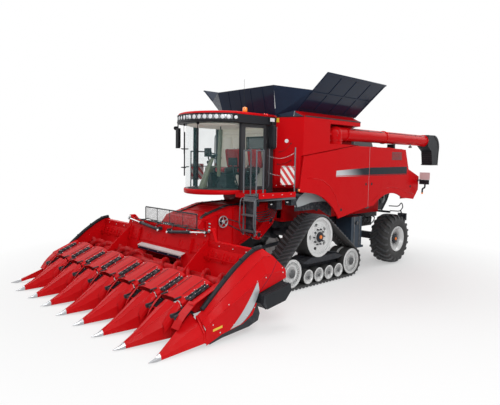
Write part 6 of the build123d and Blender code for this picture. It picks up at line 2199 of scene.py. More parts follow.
        def plan(out: float, z: float) -> list[Point]:
            """Return the cab's plan as a ring at one height.

            Args:
                out: how far outward.
                z: the ring's height.

            Returns:
                The ring's points.
            """
            line = [(0.90 + out, self.rear - 0.055)]
            for i in range(22, -1, -1):
                x, y, _ = bow(self.half, self.front, self.bulge, 2 * i / 22 - 1, out)
                line.append((x, y))
            line.append((-0.90 - out, self.rear - 0.055))
            return [(x, y, z) for x, y in line]
        cream.loft([plan(-0.050, 3.845), plan(-0.050, 3.822), plan(-0.090, 3.800), plan(-0.30, 3.790)],
                   smooth=True)
        y0, y1 = self.rear - 0.075, self.rear - 0.043
        wide, sill, lintel, top = 0.885, 3.29, 3.58, 3.80
        for low, high in (((-wide, 2.34), (wide, sill)), ((-wide, lintel), (wide, top)),
                          ((-wide, sill), (0.10, lintel)), ((0.84, sill), (wide, lintel))):
            cream.box((low[0], y0, low[1]), (high[0], y1, high[1]))
        frame = [(x, y0 - 0.004, z) for x, z in ((0.10, sill), (0.84, sill), (0.84, lintel), (0.10, lintel))]
        mat.tube(frame, 0.016, 8, closed=True)
        window.box((0.10, y1 - 0.012, sill), (0.84, y1 - 0.006, lintel))
        for x0, x1, z0, z1 in ((-0.82, -0.45, 3.24, 3.62), (-0.40, 0.04, 3.24, 3.62),
                               (-0.82, 0.82, 3.66, 3.77)):
            cream.merge(soft_block(((x1 - x0) / 2, 0.020, (z1 - z0) / 2), (0.0, 0.006, 0.0), 0.018, steps=7),
                        Matrix.Translation(Vector(((x0 + x1) / 2, y0 - 0.006, (z0 + z1) / 2))))
        for side in SIDES:
            cream.prism([(side * wide, -0.99, 2.34), (side * wide, -0.99, top), (side * 0.84, -1.10, top),
                         (side * 0.84, -1.10, 2.34)], (side * 0.012, 0, 0))
            cream.prism([(side * 0.30, y0, 2.95), (side * 0.42, y0, 2.95), (side * 0.42, y0, 3.22),
                         (side * 0.30, y0, 3.22)], (0, -0.018, 0))
        mat.loft([plan(-0.075, self.floor + 0.001), plan(-0.075, self.floor + 0.007),
                  plan(-0.085, self.floor + 0.009)])
        for k in range(14):
            x = -0.65 + 0.1 * k
            mat.box((x - 0.008, -2.20, self.floor + 0.008), (x + 0.008, -1.05, self.floor + 0.012))
        return cream, window, mat

    def seats(self, shop: Workshop) -> None:
        """Make both seats: padded cushions and backs on their stands.

        Args:
            shop: the workshop that makes the pieces.
        """
        stand = Draft()
        for name, x, y, half in (("driver", 0.0, -1.56, 0.245), ("passenger", 0.56, -1.38, 0.19)):
            cushion = soft_block((half * 0.74, 0.225, 0.052), (0.004, 0.006, 0.016), 0.035, (-0.34, 0.34),
                                 0.008)
            back = soft_block((half * 0.70, 0.220, 0.045), (0.004, 0.006, 0.016), 0.032, (-0.36, 0.36), 0.008)
            head = soft_block((half * 0.44, 0.045, 0.034), (0.004, 0.006, 0.010), 0.026, steps=9)
            bolster = soft_block((half * 0.145, 0.235, 0.062), (0.006, 0.006, 0.010), 0.030, steps=9)
            wing = soft_block((half * 0.15, 0.225, 0.058), (0.006, 0.006, 0.010), 0.030, steps=9)
            lean = settle((x, y + 0.225, 3.060), math.radians(-79), "X")
            seat = Matrix.Translation(Vector((x, y - 0.015, 2.770)))
            parts = [("cushion", cushion, seat, SEAT_FABRIC), ("back", back, lean, SEAT_FABRIC),
                     ("head", head, lean @ Matrix.Translation(Vector((0, 0.262, 0.006))), SEAT_FABRIC)]
            for side in SIDES:
                tag = "left" if side > 0 else "right"
                off = Matrix.Translation(Vector((side * half * 0.87, 0, 0)))
                parts.append((f"{tag}_bolster", bolster, seat @ off, SEAT_LEATHER))
                parts.append((f"{tag}_wing", wing, lean @ off, SEAT_FABRIC))
            for part, form, move, finish in parts:
                placed = Draft()
                placed.merge(form, move)
                stands = ["seats"] if (name, part) == ("driver", "cushion") else []
                made = shop.piece(placed, f"{name}_seat_{part}", finish, stands_for=stands)
                made.modifiers.new("smooth", "SUBSURF").render_levels = 1
            wide = half * 0.8
            stand.box((x - wide, y - 0.19, 2.660), (x + wide, y + 0.19, 2.715))
            for k in range(5):
                z = 2.42 + 0.048 * k
                swell = 0.0 if k % 2 else 0.018
                stand.box((x - wide * 0.72 - swell, y - 0.14 - swell, z),
                          (x + wide * 0.72 + swell, y + 0.14 + swell, z + 0.048))
            stand.box((x - wide * 0.9, y - 0.18, 2.331), (x + wide * 0.9, y + 0.18, 2.42))
            stand.prism([(x - wide * 0.8, y + 0.20, 2.70), (x - wide * 0.8, y + 0.27, 2.70),
                         (x - wide * 0.8, y + 0.33, 3.27), (x - wide * 0.8, y + 0.30, 3.28)],
                        (wide * 1.6, 0, 0))
            for side in SIDES:
                stand.tube([(x + side * 0.05, y + 0.270, 3.24), (x + side * 0.05, y + 0.282, 3.31)], 0.007, 8)
        shop.piece(stand, "seat_stands", BLACK_PLASTIC, bevel=0.006)

    def controls(self, shop: Workshop) -> None:
        """Make the steering column, wheel, armrest console and screens.

        Args:
            shop: the workshop that makes the pieces.
        """
        olive, dark, screen, steel = Draft(), Draft(), Draft(), Draft()
        rings = []
        for y, z, half, deep in ((-2.31, 2.331, 0.085, 0.115), (-2.27, 2.50, 0.075, 0.085),
                                 (-2.17, 2.75, 0.062, 0.062), (-2.06, 2.98, 0.055, 0.050),
                                 (-2.02, 3.05, 0.045, 0.040)):
            rings.append([(half * math.cos(a), y + deep * math.sin(a), z)
                          for a in (math.pi * 2 * k / 16 for k in range(16))])
        olive.loft(rings, smooth=True)
        tilt = settle((0, -1.985, 3.11), math.radians(-22), "X")
        wheel = Draft()
        wheel.tube([(0.19 * math.cos(a), 0.19 * math.sin(a), 0)
                    for a in (math.pi * 2 * k / 40 for k in range(40))], 0.0145, 12, closed=True)
        wheel.lathe((0, 0, -0.016), Z_AXIS, [(0.050, 0.0), (0.055, 0.008), (0.050, 0.026), (0.030, 0.034),
                                             (0.01, 0.035)], 28)
        for angle in (200, 340, 90):
            a = math.radians(angle)
            wheel.bar((0.04 * math.cos(a), 0.04 * math.sin(a), 0),
                      (0.182 * math.cos(a), 0.182 * math.sin(a), 0), 0.030, 0.012)
        wheel.lathe((-0.16, -0.10, 0.014), Z_AXIS, [(0.012, 0), (0.012, 0.03), (0.024, 0.036), (0.024, 0.052),
                                                    (0.008, 0.058)], 16)
        dark.merge(wheel, tilt)
        dark.tube([(0, -2.03, 3.03), (0, -1.985, 3.105)], 0.028, 14)
        rings = []
        for y, low, high, half in ((-1.90, 2.74, 2.83, 0.06), (-1.80, 2.70, 2.86, 0.085),
                                   (-1.55, 2.70, 2.86, 0.09), (-1.39, 2.74, 2.83, 0.07)):
            rings.append([(-0.38 - half, y, low), (-0.38 + half, y, low), (-0.38 + half, y, high - 0.02),
                          (-0.38 + half - 0.02, y, high), (-0.38 - half + 0.02, y, high),
                          (-0.38 - half, y, high - 0.02)])
        olive.loft(rings, smooth=True)
        dark.box((-0.46, -1.80, 2.331), (-0.30, -1.45, 2.71))
        dark.lathe((-0.38, -1.83, 2.85), Vector((0.1, -0.3, 0.95)).normalized(),
                   [(0.022, 0), (0.018, 0.05), (0.030, 0.09), (0.028, 0.13), (0.01, 0.145)], 18)
        for k in range(3):
            for j in range(4):
                steel.lathe((-0.42 + 0.035 * k, -1.70 + 0.05 * j, 2.860), Z_AXIS,
                            [(0.010, -0.004), (0.009, 0.004), (0.003, 0.005)], 12)
        for x, z, wide, high, turn in ((-0.30, 3.19, 0.12, 0.105, 0.0), (0.62, 2.98, 0.11, 0.09, 0.35)):
            move = settle((x, -1.92, z), turn, "Z")
            body, glass = Draft(), Draft()
            body.box((-wide, -0.016, -high), (wide, 0.014, high))
            glass.box((-wide + 0.014, 0.013, -high + 0.014), (wide - 0.014, 0.016, high - 0.014))
            dark.merge(body, move)
            screen.merge(glass, move)
        dark.tube(rounded([(-0.30, -1.915, 3.10), (-0.30, -1.86, 2.95), (-0.34, -1.80, 2.80)], 0.06), 0.016,
                  10)
        dark.tube(rounded([(0.62, -1.915, 2.90), (0.64, -1.90, 2.70), (0.72, -1.88, 2.50),
                           (0.78, -1.87, 2.34)], 0.06), 0.016, 10)
        rings = []
        for z, x, wide in ((2.62, 0.20, 0.03), (3.05, 0.21, 0.042), (3.45, 0.24, 0.045), (3.72, 0.25, 0.04)):
            rings.append([(x - wide, -2.02, z), (x + wide, -2.02, z), (x + wide * 0.8, -1.95, z),
                          (x - wide * 0.8, -1.95, z)])
        olive.loft(rings)
        dark.tube([(0.25, -1.985, 3.70), (0.25, -1.985, 3.82)], 0.014, 10)
        dark.tube([(0.20, -1.985, 2.63), (0.12, -2.02, 2.40)], 0.014, 10)
        for x in (-0.14, 0.14):
            dark.box((x - 0.045, -2.36, 2.342), (x + 0.045, -2.26, 2.356))
        shop.piece(olive, "cab_column_and_console", OLIVE_PLASTIC, bevel=0.004, stands_for=["cab_controls"])
        shop.piece(dark, "steering_wheel_and_mounts", BLACK_PLASTIC)
        shop.piece(screen, "cab_screens", SCREEN_GLASS)
        shop.piece(steel, "console_buttons", LAMP_CHROME)

    def outside(self, shop: Workshop) -> None:
        """Make the sill, wipers, door furniture and mirror faces.

        Args:
            shop: the workshop that makes the pieces.
        """
        sill, dark, grey, mirror, steel = Draft(), Draft(), Draft(), Draft(), Draft()
        rings = []
        for i in range(41):
            share = -1 + 2 * i / 40
            drop = 0.025 * math.cos(share * math.pi / 2)
            ring = []
            for out, z in ((0.004, 2.335), (0.020, 2.328), (0.026, 2.29), (0.020, 2.250 - drop),
                           (0.004, 2.240 - drop)):
                x, y, _ = bow(self.half, self.front, self.bulge, share, out)
                ring.append((x, y, z))
            rings.append(ring)
        sill.loft(rings, smooth=True)
        for side in SIDES:
            sill.bar((side * 0.885, -1.88, 2.262), (side * 0.955, -1.16, 2.262), 0.024, 0.130)
        for share, low, high in ((0.16, 2.55, 3.72), (-0.45, 2.62, 3.66)):
            x, y, away = bow(self.half, self.front, self.bulge, share, 0.0)
            blade = [Vector((x, y, z)) + away * 0.008 for z in (low, high)]
            dark.bar(blade[0], blade[1], 0.020, 0.030, away)
            arm = [Vector((x, y, z)) + away * 0.024 for z in ((low + high) / 2, 3.83)]
            dark.bar(arm[0], arm[1], 0.016, 0.010, away)
            dark.lathe(arm[1] - away * 0.03, away, [(0.028, 0.0), (0.028, 0.035), (0.012, 0.042)], 18)
        for share in (-0.985, 0.985):
            x, y, away = bow(self.half, self.front, self.bulge, share, 0.0)
            dark.bar(Vector((x, y, 2.34)) + away * 0.003, Vector((x, y, 3.85)) + away * 0.003, 0.055, 0.010,
                     away)
        grey.tube(rounded([(0.925, -1.70, 2.62), (0.985, -1.70, 2.66), (0.985, -1.70, 3.30),
                           (0.925, -1.70, 3.34)], 0.05), 0.013, 10)
        for side in SIDES:
            near, far = side * 0.955, side * 1.010
            rail = [(near, -1.10, 2.36), (far, -1.12, 2.44), (far, -1.12, 3.62), (near, -1.10, 3.70)]
            grey.tube(rounded(rail, 0.06), 0.014, 10)
        for x, y, wide in ((1.07, -1.052, 0.098), (-1.33, -2.045, 0.060)):
            mirror.box((x - wide, y, 3.45), (x + wide, y + 0.006, 3.795))
            mirror.box((x - wide, y, 3.325), (x + wide, y + 0.006, 3.435))
            dark.box((x - wide, y - 0.004, 3.435), (x + wide, y + 0.008, 3.450))
        dark.lathe((-1.42, -2.09, 3.80), Vector((-0.5, 0.6, 0.5)).normalized(),
                   [(0.05, -0.01), (0.055, 0.01), (0.02, 0.03)], 20)
        dark.tube(rounded([(-1.33, -2.08, 3.81), (-1.37, -2.09, 3.85), (-1.42, -2.09, 3.81)], 0.02), 0.010, 8)
        for line in ([(-1.22, -2.02, 3.27), (-0.88, -2.06, 3.27), (-0.44, -2.64, 3.26), (-0.05, -2.72, 3.25)],
                     [(-1.06, -2.00, 2.83), (-0.86, -2.06, 2.83), (-0.46, -2.62, 2.82),
                      (-0.14, -2.70, 2.82)]):
            dark.tube(rounded(line, 0.12), 0.011, 10)
        low, high = 3.285, 3.835
        shell = soft_block((0.112, 0.050, (high - low) / 2), (0.0, 0.004, 0.0), 0.040, steps=7)
        dark.merge(shell, Matrix.Translation(Vector((1.07, -1.10, (low + high) / 2))))
        steel.lathe((0.914, -1.72, 2.88), Vector((0.995, -0.09, 0)).normalized(),
                    [(0.030, 0.0), (0.030, 0.006), (0.020, 0.010)], 20)
        steel.bar((0.930, -1.70, 2.88), (0.936, -1.60, 2.88), 0.012, 0.030)
        shop.piece(sill, "cab_red_sill", RED_PAINT)
        shop.piece(dark, "wipers_and_mirror_trim", BLACK_PLASTIC)
        shop.piece(grey, "cab_grab_rails", RAIL_GREY)
        shop.piece(mirror, "mirror_faces", MIRROR_FACE)
        shop.piece(steel, "door_latch", DARK_STEEL, "cab_door")

    def build(self, shop: Workshop) -> None:
        """Make the cab's pieces.

        Args:
            shop: the workshop that makes the pieces.
        """
        shop.piece(self.roof_top(), "roof_red_skin", RED_HOOD)
        chrome, lens, dark = self.lamp_band()
        shop.piece(chrome, "visor_reflector_band", LAMP_CHROME)
        shop.piece(lens, "visor_lamps", LAMP_WHITE)
        shop.piece(dark, "visor_frame", BLACK_PLASTIC)
        amber, red, white, base = self.signals()
        shop.piece(amber, "beacons", LAMP_AMBER)
        shop.piece(red, "roof_red_lamps", LAMP_RED)
        shop.piece(white, "roof_side_lamps", LAMP_WHITE)
        shop.piece(base, "roof_lamp_bases", BLACK_PLASTIC, bevel=0.002)
        cream, window, mat = self.lining()
        # The lining's glow is painted light, not a lamp.
        shop.piece(cream, "cab_lining", CREAM_TRIM_PAINTED_GLOW)
        shop.piece(window, "cab_rear_windows", REAR_GLASS)
        shop.piece(mat, "cab_floor_mat", FLOOR_MAT)
        self.seats(shop)
        self.controls(shop)
        self.outside(shop)


@dataclass
class Platform:
    """Treads, rails, chains, boards and ladder of both platforms."""

    top: float = 2.24
    outer: float = 1.60
    inner: float = 0.97
    front: float = -2.05
    rear: float = -0.64

    def build(self, shop: Workshop) -> None:
        """Make the platform's pieces.

        Args:
            shop: the workshop that makes the pieces.
        """
        tread, red, grey, dark, steel, amber, sheet = (Draft() for _ in range(7))
        tread.box((self.inner + 0.005, self.front + 0.005, self.top),
                  (self.outer - 0.045, self.rear - 0.005, self.top + 0.006))
        tread.box((-self.outer + 0.005, -1.495, self.top),
                  (-self.inner - 0.005, self.rear - 0.005, self.top + 0.006))
        red.bar((self.outer + 0.006, -2.03, 2.245), (self.outer + 0.006, -0.83, 2.245), 0.010, 0.125)
        red.bar((-self.outer - 0.006, -1.49, 2.215), (-self.outer - 0.006, -0.65, 2.215), 0.010, 0.110)
        red.bar((-1.15, -1.505, 2.235), (-0.86, -1.92, 2.235), 0.020, 0.110)
        red.bar((0.885, -2.052, 2.235), (1.18, -2.058, 2.235), 0.012, 0.110)
        for y in (-1.9, -1.6, -1.3, -1.0):
            steel.head((self.outer + 0.010, y, 2.255), X_AXIS, 0.012, 0.007, 0.008, 0.009)
        low, high = 1.20, 1.56
        for z in (1.48, 1.83, 2.13):
            tread.box((low + 0.01, self.front - 0.108, z - 0.002),
                      (high - 0.01, self.front + 0.018, z + 0.006))
        dark.box((low + 0.015, self.front + 0.006, 1.40), (high - 0.015, self.front + 0.016, 2.13))
        for x in (low - 0.045, high + 0.035):
            grey.tube(rounded([(x, self.front + 0.02, 2.20), (x, self.front - 0.10, 2.16),
                               (x, self.front - 0.13, 1.60), (x, self.front - 0.06, 1.46),
                               (x, self.front - 0.045, 1.40)], 0.09), 0.013, 10)
        for x, y, z, wide, high in ((1.02, -1.62, 1.96, 0.10, 0.20), (1.30, -1.20, 1.90, 0.14, 0.26),
                                    (1.45, -0.82, 1.98, 0.10, 0.18)):
            dark.box((x - wide, y - 0.09, z), (x + wide, y + 0.09, min(z + high, 2.185)))
            steel.lathe((x, y - 0.09, z + high * 0.45), -Y_AXIS,
                        [(0.030, 0.0), (0.030, 0.03), (0.018, 0.04), (0.018, 0.07), (0.006, 0.075)], 16)
        for k in range(5):
            off = 0.045 * k
            line = [(0.98 + off, -1.66, 2.06), (1.00 + off, -1.80, 1.98 - off * 0.4),
                    (1.08 + off, -1.72, 1.80 - off), (1.16 + off, -1.30, 1.84 - off),
                    (1.24 + off * 0.7, -1.18, 1.96)]
            dark.tube(rounded(line, 0.12), 0.012, 8)
        for start, end, sag in (((0.968, -1.12, 3.135), (1.578, -0.852, 3.215), 0.10),
                                ((0.968, -1.12, 2.745), (1.578, -0.852, 2.80), 0.10)):
            self.chain(steel, start, end, sag)
        for y in (-0.90, -1.27):
            for z in (2.52, 2.85):
                steel.lathe((1.585, y, z), X_AXIS, [(0.010, 0), (0.010, 0.006), (0.004, 0.008)], 10)
        grey.tube([(-1.58, -1.48, 2.83), (-1.58, -0.78, 2.83)], 0.014, 10)
        grey.tube([(1.58, -1.32, 2.88), (1.58, -0.86, 2.88)], 0.010, 8)
        amber.lathe((1.606, -0.72, 2.335), X_AXIS, [(0.030, -0.006), (0.030, 0.012), (0.018, 0.018),
                                                    (0.003, 0.019)], 20)
        dark.box((1.565, -0.765, 2.295), (1.604, -0.675, 2.375))
        for side in SIDES:
            y0, y1 = (-1.329, -0.868) if side > 0 else (-1.462, -1.051)
            x0, x1 = sorted((side * 1.5845, side * 1.5865))
            sheet.box((x0, y0, 2.471), (x1, y1, 2.899))
            x0, x1 = sorted((side * 1.5735, side * 1.5755))
            sheet.box((x0, y0, 2.471), (x1, y1, 2.899))
        shop.piece(tread, "platform_treads", TREAD_STEEL)
        shop.piece(red, "platform_red_edges", RED_PAINT, bevel=0.002)
        shop.piece(grey, "platform_rails", RAIL_GREY)
        shop.piece(dark, "ladder_back_plate", BLACK_FRAME, bevel=0.002)
        shop.piece(steel, "guard_chains_and_bolts", BRIGHT_STEEL)
        shop.piece(amber, "platform_amber_lamp", LAMP_AMBER)
        shop.piece(sheet, "warning_board_sheets", WARNING_SHEET)

    @staticmethod
    def chain(draft: Draft, start: Point, end: Point, sag: float) -> None:
        """Draw a guard chain of round links hanging between two points.

        Args:
            draft: what it is drawn into.
            start: where one end hangs.
            end: where the other end hangs.
            sag: how far its middle hangs down.
        """
        line = sagging(start, end, sag, 26)
        for k, (a, b) in enumerate(zip(line, line[1:])):
            along = (b - a).normalized()
            side = along.cross(Z_AXIS if k % 2 else Vector((0.3, 0.2, 0.9))).normalized()
            if k % 2:
                side = along.cross(side)
            middle, half = (a + b) / 2, (b - a).length * 0.68
            ring = [middle + along * half * math.cos(t) + side * 0.009 * math.sin(t)
                    for t in (math.pi / 4 * j for j in range(8))]
            draft.tube(ring, 0.0030, 5, closed=True)


# ---------------------------------------------------------------- feeder
@dataclass
class Feeder:
    """Ribs, drive cover, pulley, hoses and coupler plate of the feeder house."""

    half: float = 0.69
    roof: tuple[Flat, ...] = ((-2.86, 1.70), (-1.96, 1.94), (-0.48, 1.99))

    def ribs(self) -> Draft:
        """Draw the stiffening ribs over the roof and down the sides.

        Returns:
            The ribs.
        """
        draft = Draft()
        for y in (-2.72, -2.42, -2.12, -1.80, -1.48, -1.16):
            z = self.height(y)
            draft.bar((-self.half + 0.02, y, z + 0.004), (self.half - 0.02, y, z + 0.004), 0.045, 0.013)
        for side in SIDES:
            x = side * (self.half + 0.006)
            for y, low in ((-2.80, 0.62), (-2.42, 0.80), (-1.96, 0.98), (-1.48, 1.18)):
                draft.bar((x, y, low), (x, y, self.height(y) - 0.02), 0.014, 0.050, X_AXIS)
            draft.tube([(x, -2.84, 0.62), (x, -1.05, 1.36)], 0.012, 8)
            draft.tube([(x, -2.84, 1.68), (x, -1.96, 1.912), (x, -1.0, 1.945)], 0.012, 8)
        return draft

    def height(self, y: float) -> float:
        """Return the roof's height at one Y.

        Args:
            y: the place along the roof.

        Returns:
            The height.
        """
        for (y0, z0), (y1, z1) in zip(self.roof, self.roof[1:]):
            if y <= y1:
                return z0 + (z1 - z0) * (y - y0) / (y1 - y0)
        return self.roof[-1][1]

    def drive(self, shop: Workshop) -> None:
        """Make the drive's capsule cover, belt pulley and guard ring.

        Args:
            shop: the workshop that makes the pieces.
        """
        cover, dark, steel = Draft(), Draft(), Draft()
        low, high, radius = Vector((0, -1.24, 1.24)), Vector((0, -0.84, 1.56)), 0.125
        along = (high - low).normalized()
        across = Vector((0, -along.z, along.y))
        plan = []
        for k in range(17):
            turn = math.pi * k / 16
            plan.append(high + along * radius * math.sin(turn) + across * radius * math.cos(turn))
        for k in range(17):
            turn = math.pi * k / 16
            plan.append(low - along * radius * math.sin(turn) - across * radius * math.cos(turn))
        middle = (low + high) / 2
        cover.loft([[middle + (p - middle) * s + X_AXIS * x for p in plan]
                    for x, s in ((0.700, 1.0), (0.800, 1.0), (0.820, 0.985), (0.828, 0.94), (0.824, 0.90),
                                 (0.830, 0.86))], smooth=True)
        for place in (low, high):
            dark.lathe(place + X_AXIS * 0.826, X_AXIS,
                       [(0.055, 0.0), (0.055, 0.012), (0.030, 0.016), (0.006, 0.016)], 24)
            steel.bolts(place + X_AXIS * 0.829, X_AXIS, 0.082, 6, 0.009, 0.008)
        hub = Vector((0.716, -2.304, 1.625))
        steel.lathe(hub, X_AXIS, [(0.136, 0.030), (0.136, 0.052), (0.126, 0.058), (0.116, 0.052),
                                  (0.116, 0.030)], 40, ring=True)
        steel.lathe(hub, X_AXIS, [(0.045, 0.0), (0.045, 0.060), (0.030, 0.068), (0.008, 0.068)], 24)
        for k in range(5):
            turn = 2 * math.pi * k / 5 + 0.4
            arm = Vector((0, math.cos(turn), math.sin(turn)))
            steel.bar(hub + X_AXIS * 0.040 + arm * 0.040, hub + X_AXIS * 0.040 + arm * 0.120, 0.012, 0.026,
                      X_AXIS)
        dark.lathe(hub, X_AXIS, [(0.060, -0.020), (0.060, 0.012), (0.034, 0.016)], 20)
        for a, b in (((0.705, -2.24, 1.60), (0.705, -1.30, 1.16)),
                     ((0.705, -2.22, 1.70), (0.705, -1.22, 1.40))):
            dark.bar(a, b, 0.016, 0.034, X_AXIS)
        shop.piece(cover, "feeder_drive_cover", RED_PAINT, "feeder")
        shop.piece(dark, "feeder_drive_parts", BLACK_FRAME, "feeder", bevel=0.002)
        shop.piece(steel, "feeder_pulley_ring", TIP_STEEL, "feeder")

    def hoses(self, shop: Workshop) -> None:
        """Make the clipped hose runs, their clips and the coupler plate.

        Args:
            shop: the workshop that makes the pieces.
        """
        rubber, clips, red, steel = Draft(), Draft(), Draft(), Draft()
        rear, bend = -1.06, self.roof[1][0]
        for k in range(4):
            off = 0.036 * k
            line = [(0.50 - off, rear, self.height(rear) + 0.014),
                    (0.50 - off, bend, self.height(bend) + 0.013),
                    (0.53 - off, -2.60, self.height(-2.60) + 0.013), (0.60 - off * 0.6, -2.80, 1.735),
                    (0.66, -2.87 - off * 0.2, 1.62 - off)]
            rubber.tube(rounded(line, 0.10), 0.0115, 10)
        for y in (-1.16, -1.60, -2.10, -2.52):
            z = self.height(y)
            clips.box((0.375, y - 0.018, z - 0.006), (0.525, y + 0.018, z + 0.027))
        for k in range(2):
            off = 0.034 * k
            line = [(-0.48 + off, rear, self.height(rear) + 0.013),
                    (-0.48 + off, bend, self.height(bend) + 0.013),
                    (-0.48 + off, -2.66, self.height(-2.66) + 0.013), (-0.40 + off, -2.84, 1.68)]
            rubber.tube(rounded(line, 0.12), 0.011, 10)
        for y in (-1.30, -1.90, -2.46):
            z = self.height(y)
            clips.box((-0.50, y - 0.016, z - 0.006), (-0.425, y + 0.016, z + 0.026))
        red.box((0.695, -2.78, 1.42), (0.735, -2.62, 1.66))
        for k in range(3):
            steel.lathe((0.733, -2.70, 1.47 + 0.07 * k), X_AXIS,
                        [(0.020, 0), (0.020, 0.026), (0.014, 0.030), (0.014, 0.050), (0.004, 0.052)], 14)
        for side in SIDES:
            for y, z in ((-2.80, 0.75), (-2.80, 1.10), (-2.80, 1.50)):
                steel.head((side * 0.702, y, z), X_AXIS * side, 0.014, 0.010, 0.008, 0.012)
        steel.rod((-0.60, -2.68, 1.773), (0.30, -2.68, 1.773), 0.012)
        for x in (-0.56, 0.26):
            red.prism([(x, -2.72, 1.734), (x, -2.64, 1.756), (x, -2.66, 1.790), (x, -2.70, 1.790)],
                      (0.016, 0, 0))
        shop.piece(rubber, "feeder_hoses", HOSE_RUBBER, "feeder")
        shop.piece(clips, "feeder_hose_clips", DARK_STEEL, "feeder", bevel=0.002)
        shop.piece(red, "feeder_brackets", RED_PAINT, "feeder", bevel=0.003)
        shop.piece(steel, "feeder_couplers_and_bolts", TIP_STEEL, "feeder")

    def build(self, shop: Workshop) -> None:
        """Make the feeder's pieces.

        Args:
            shop: the workshop that makes the pieces.
        """
        shop.piece(self.ribs(), "feeder_ribs", RED_PAINT, "feeder", bevel=0.003)
        self.drive(shop)
        self.hoses(shop)


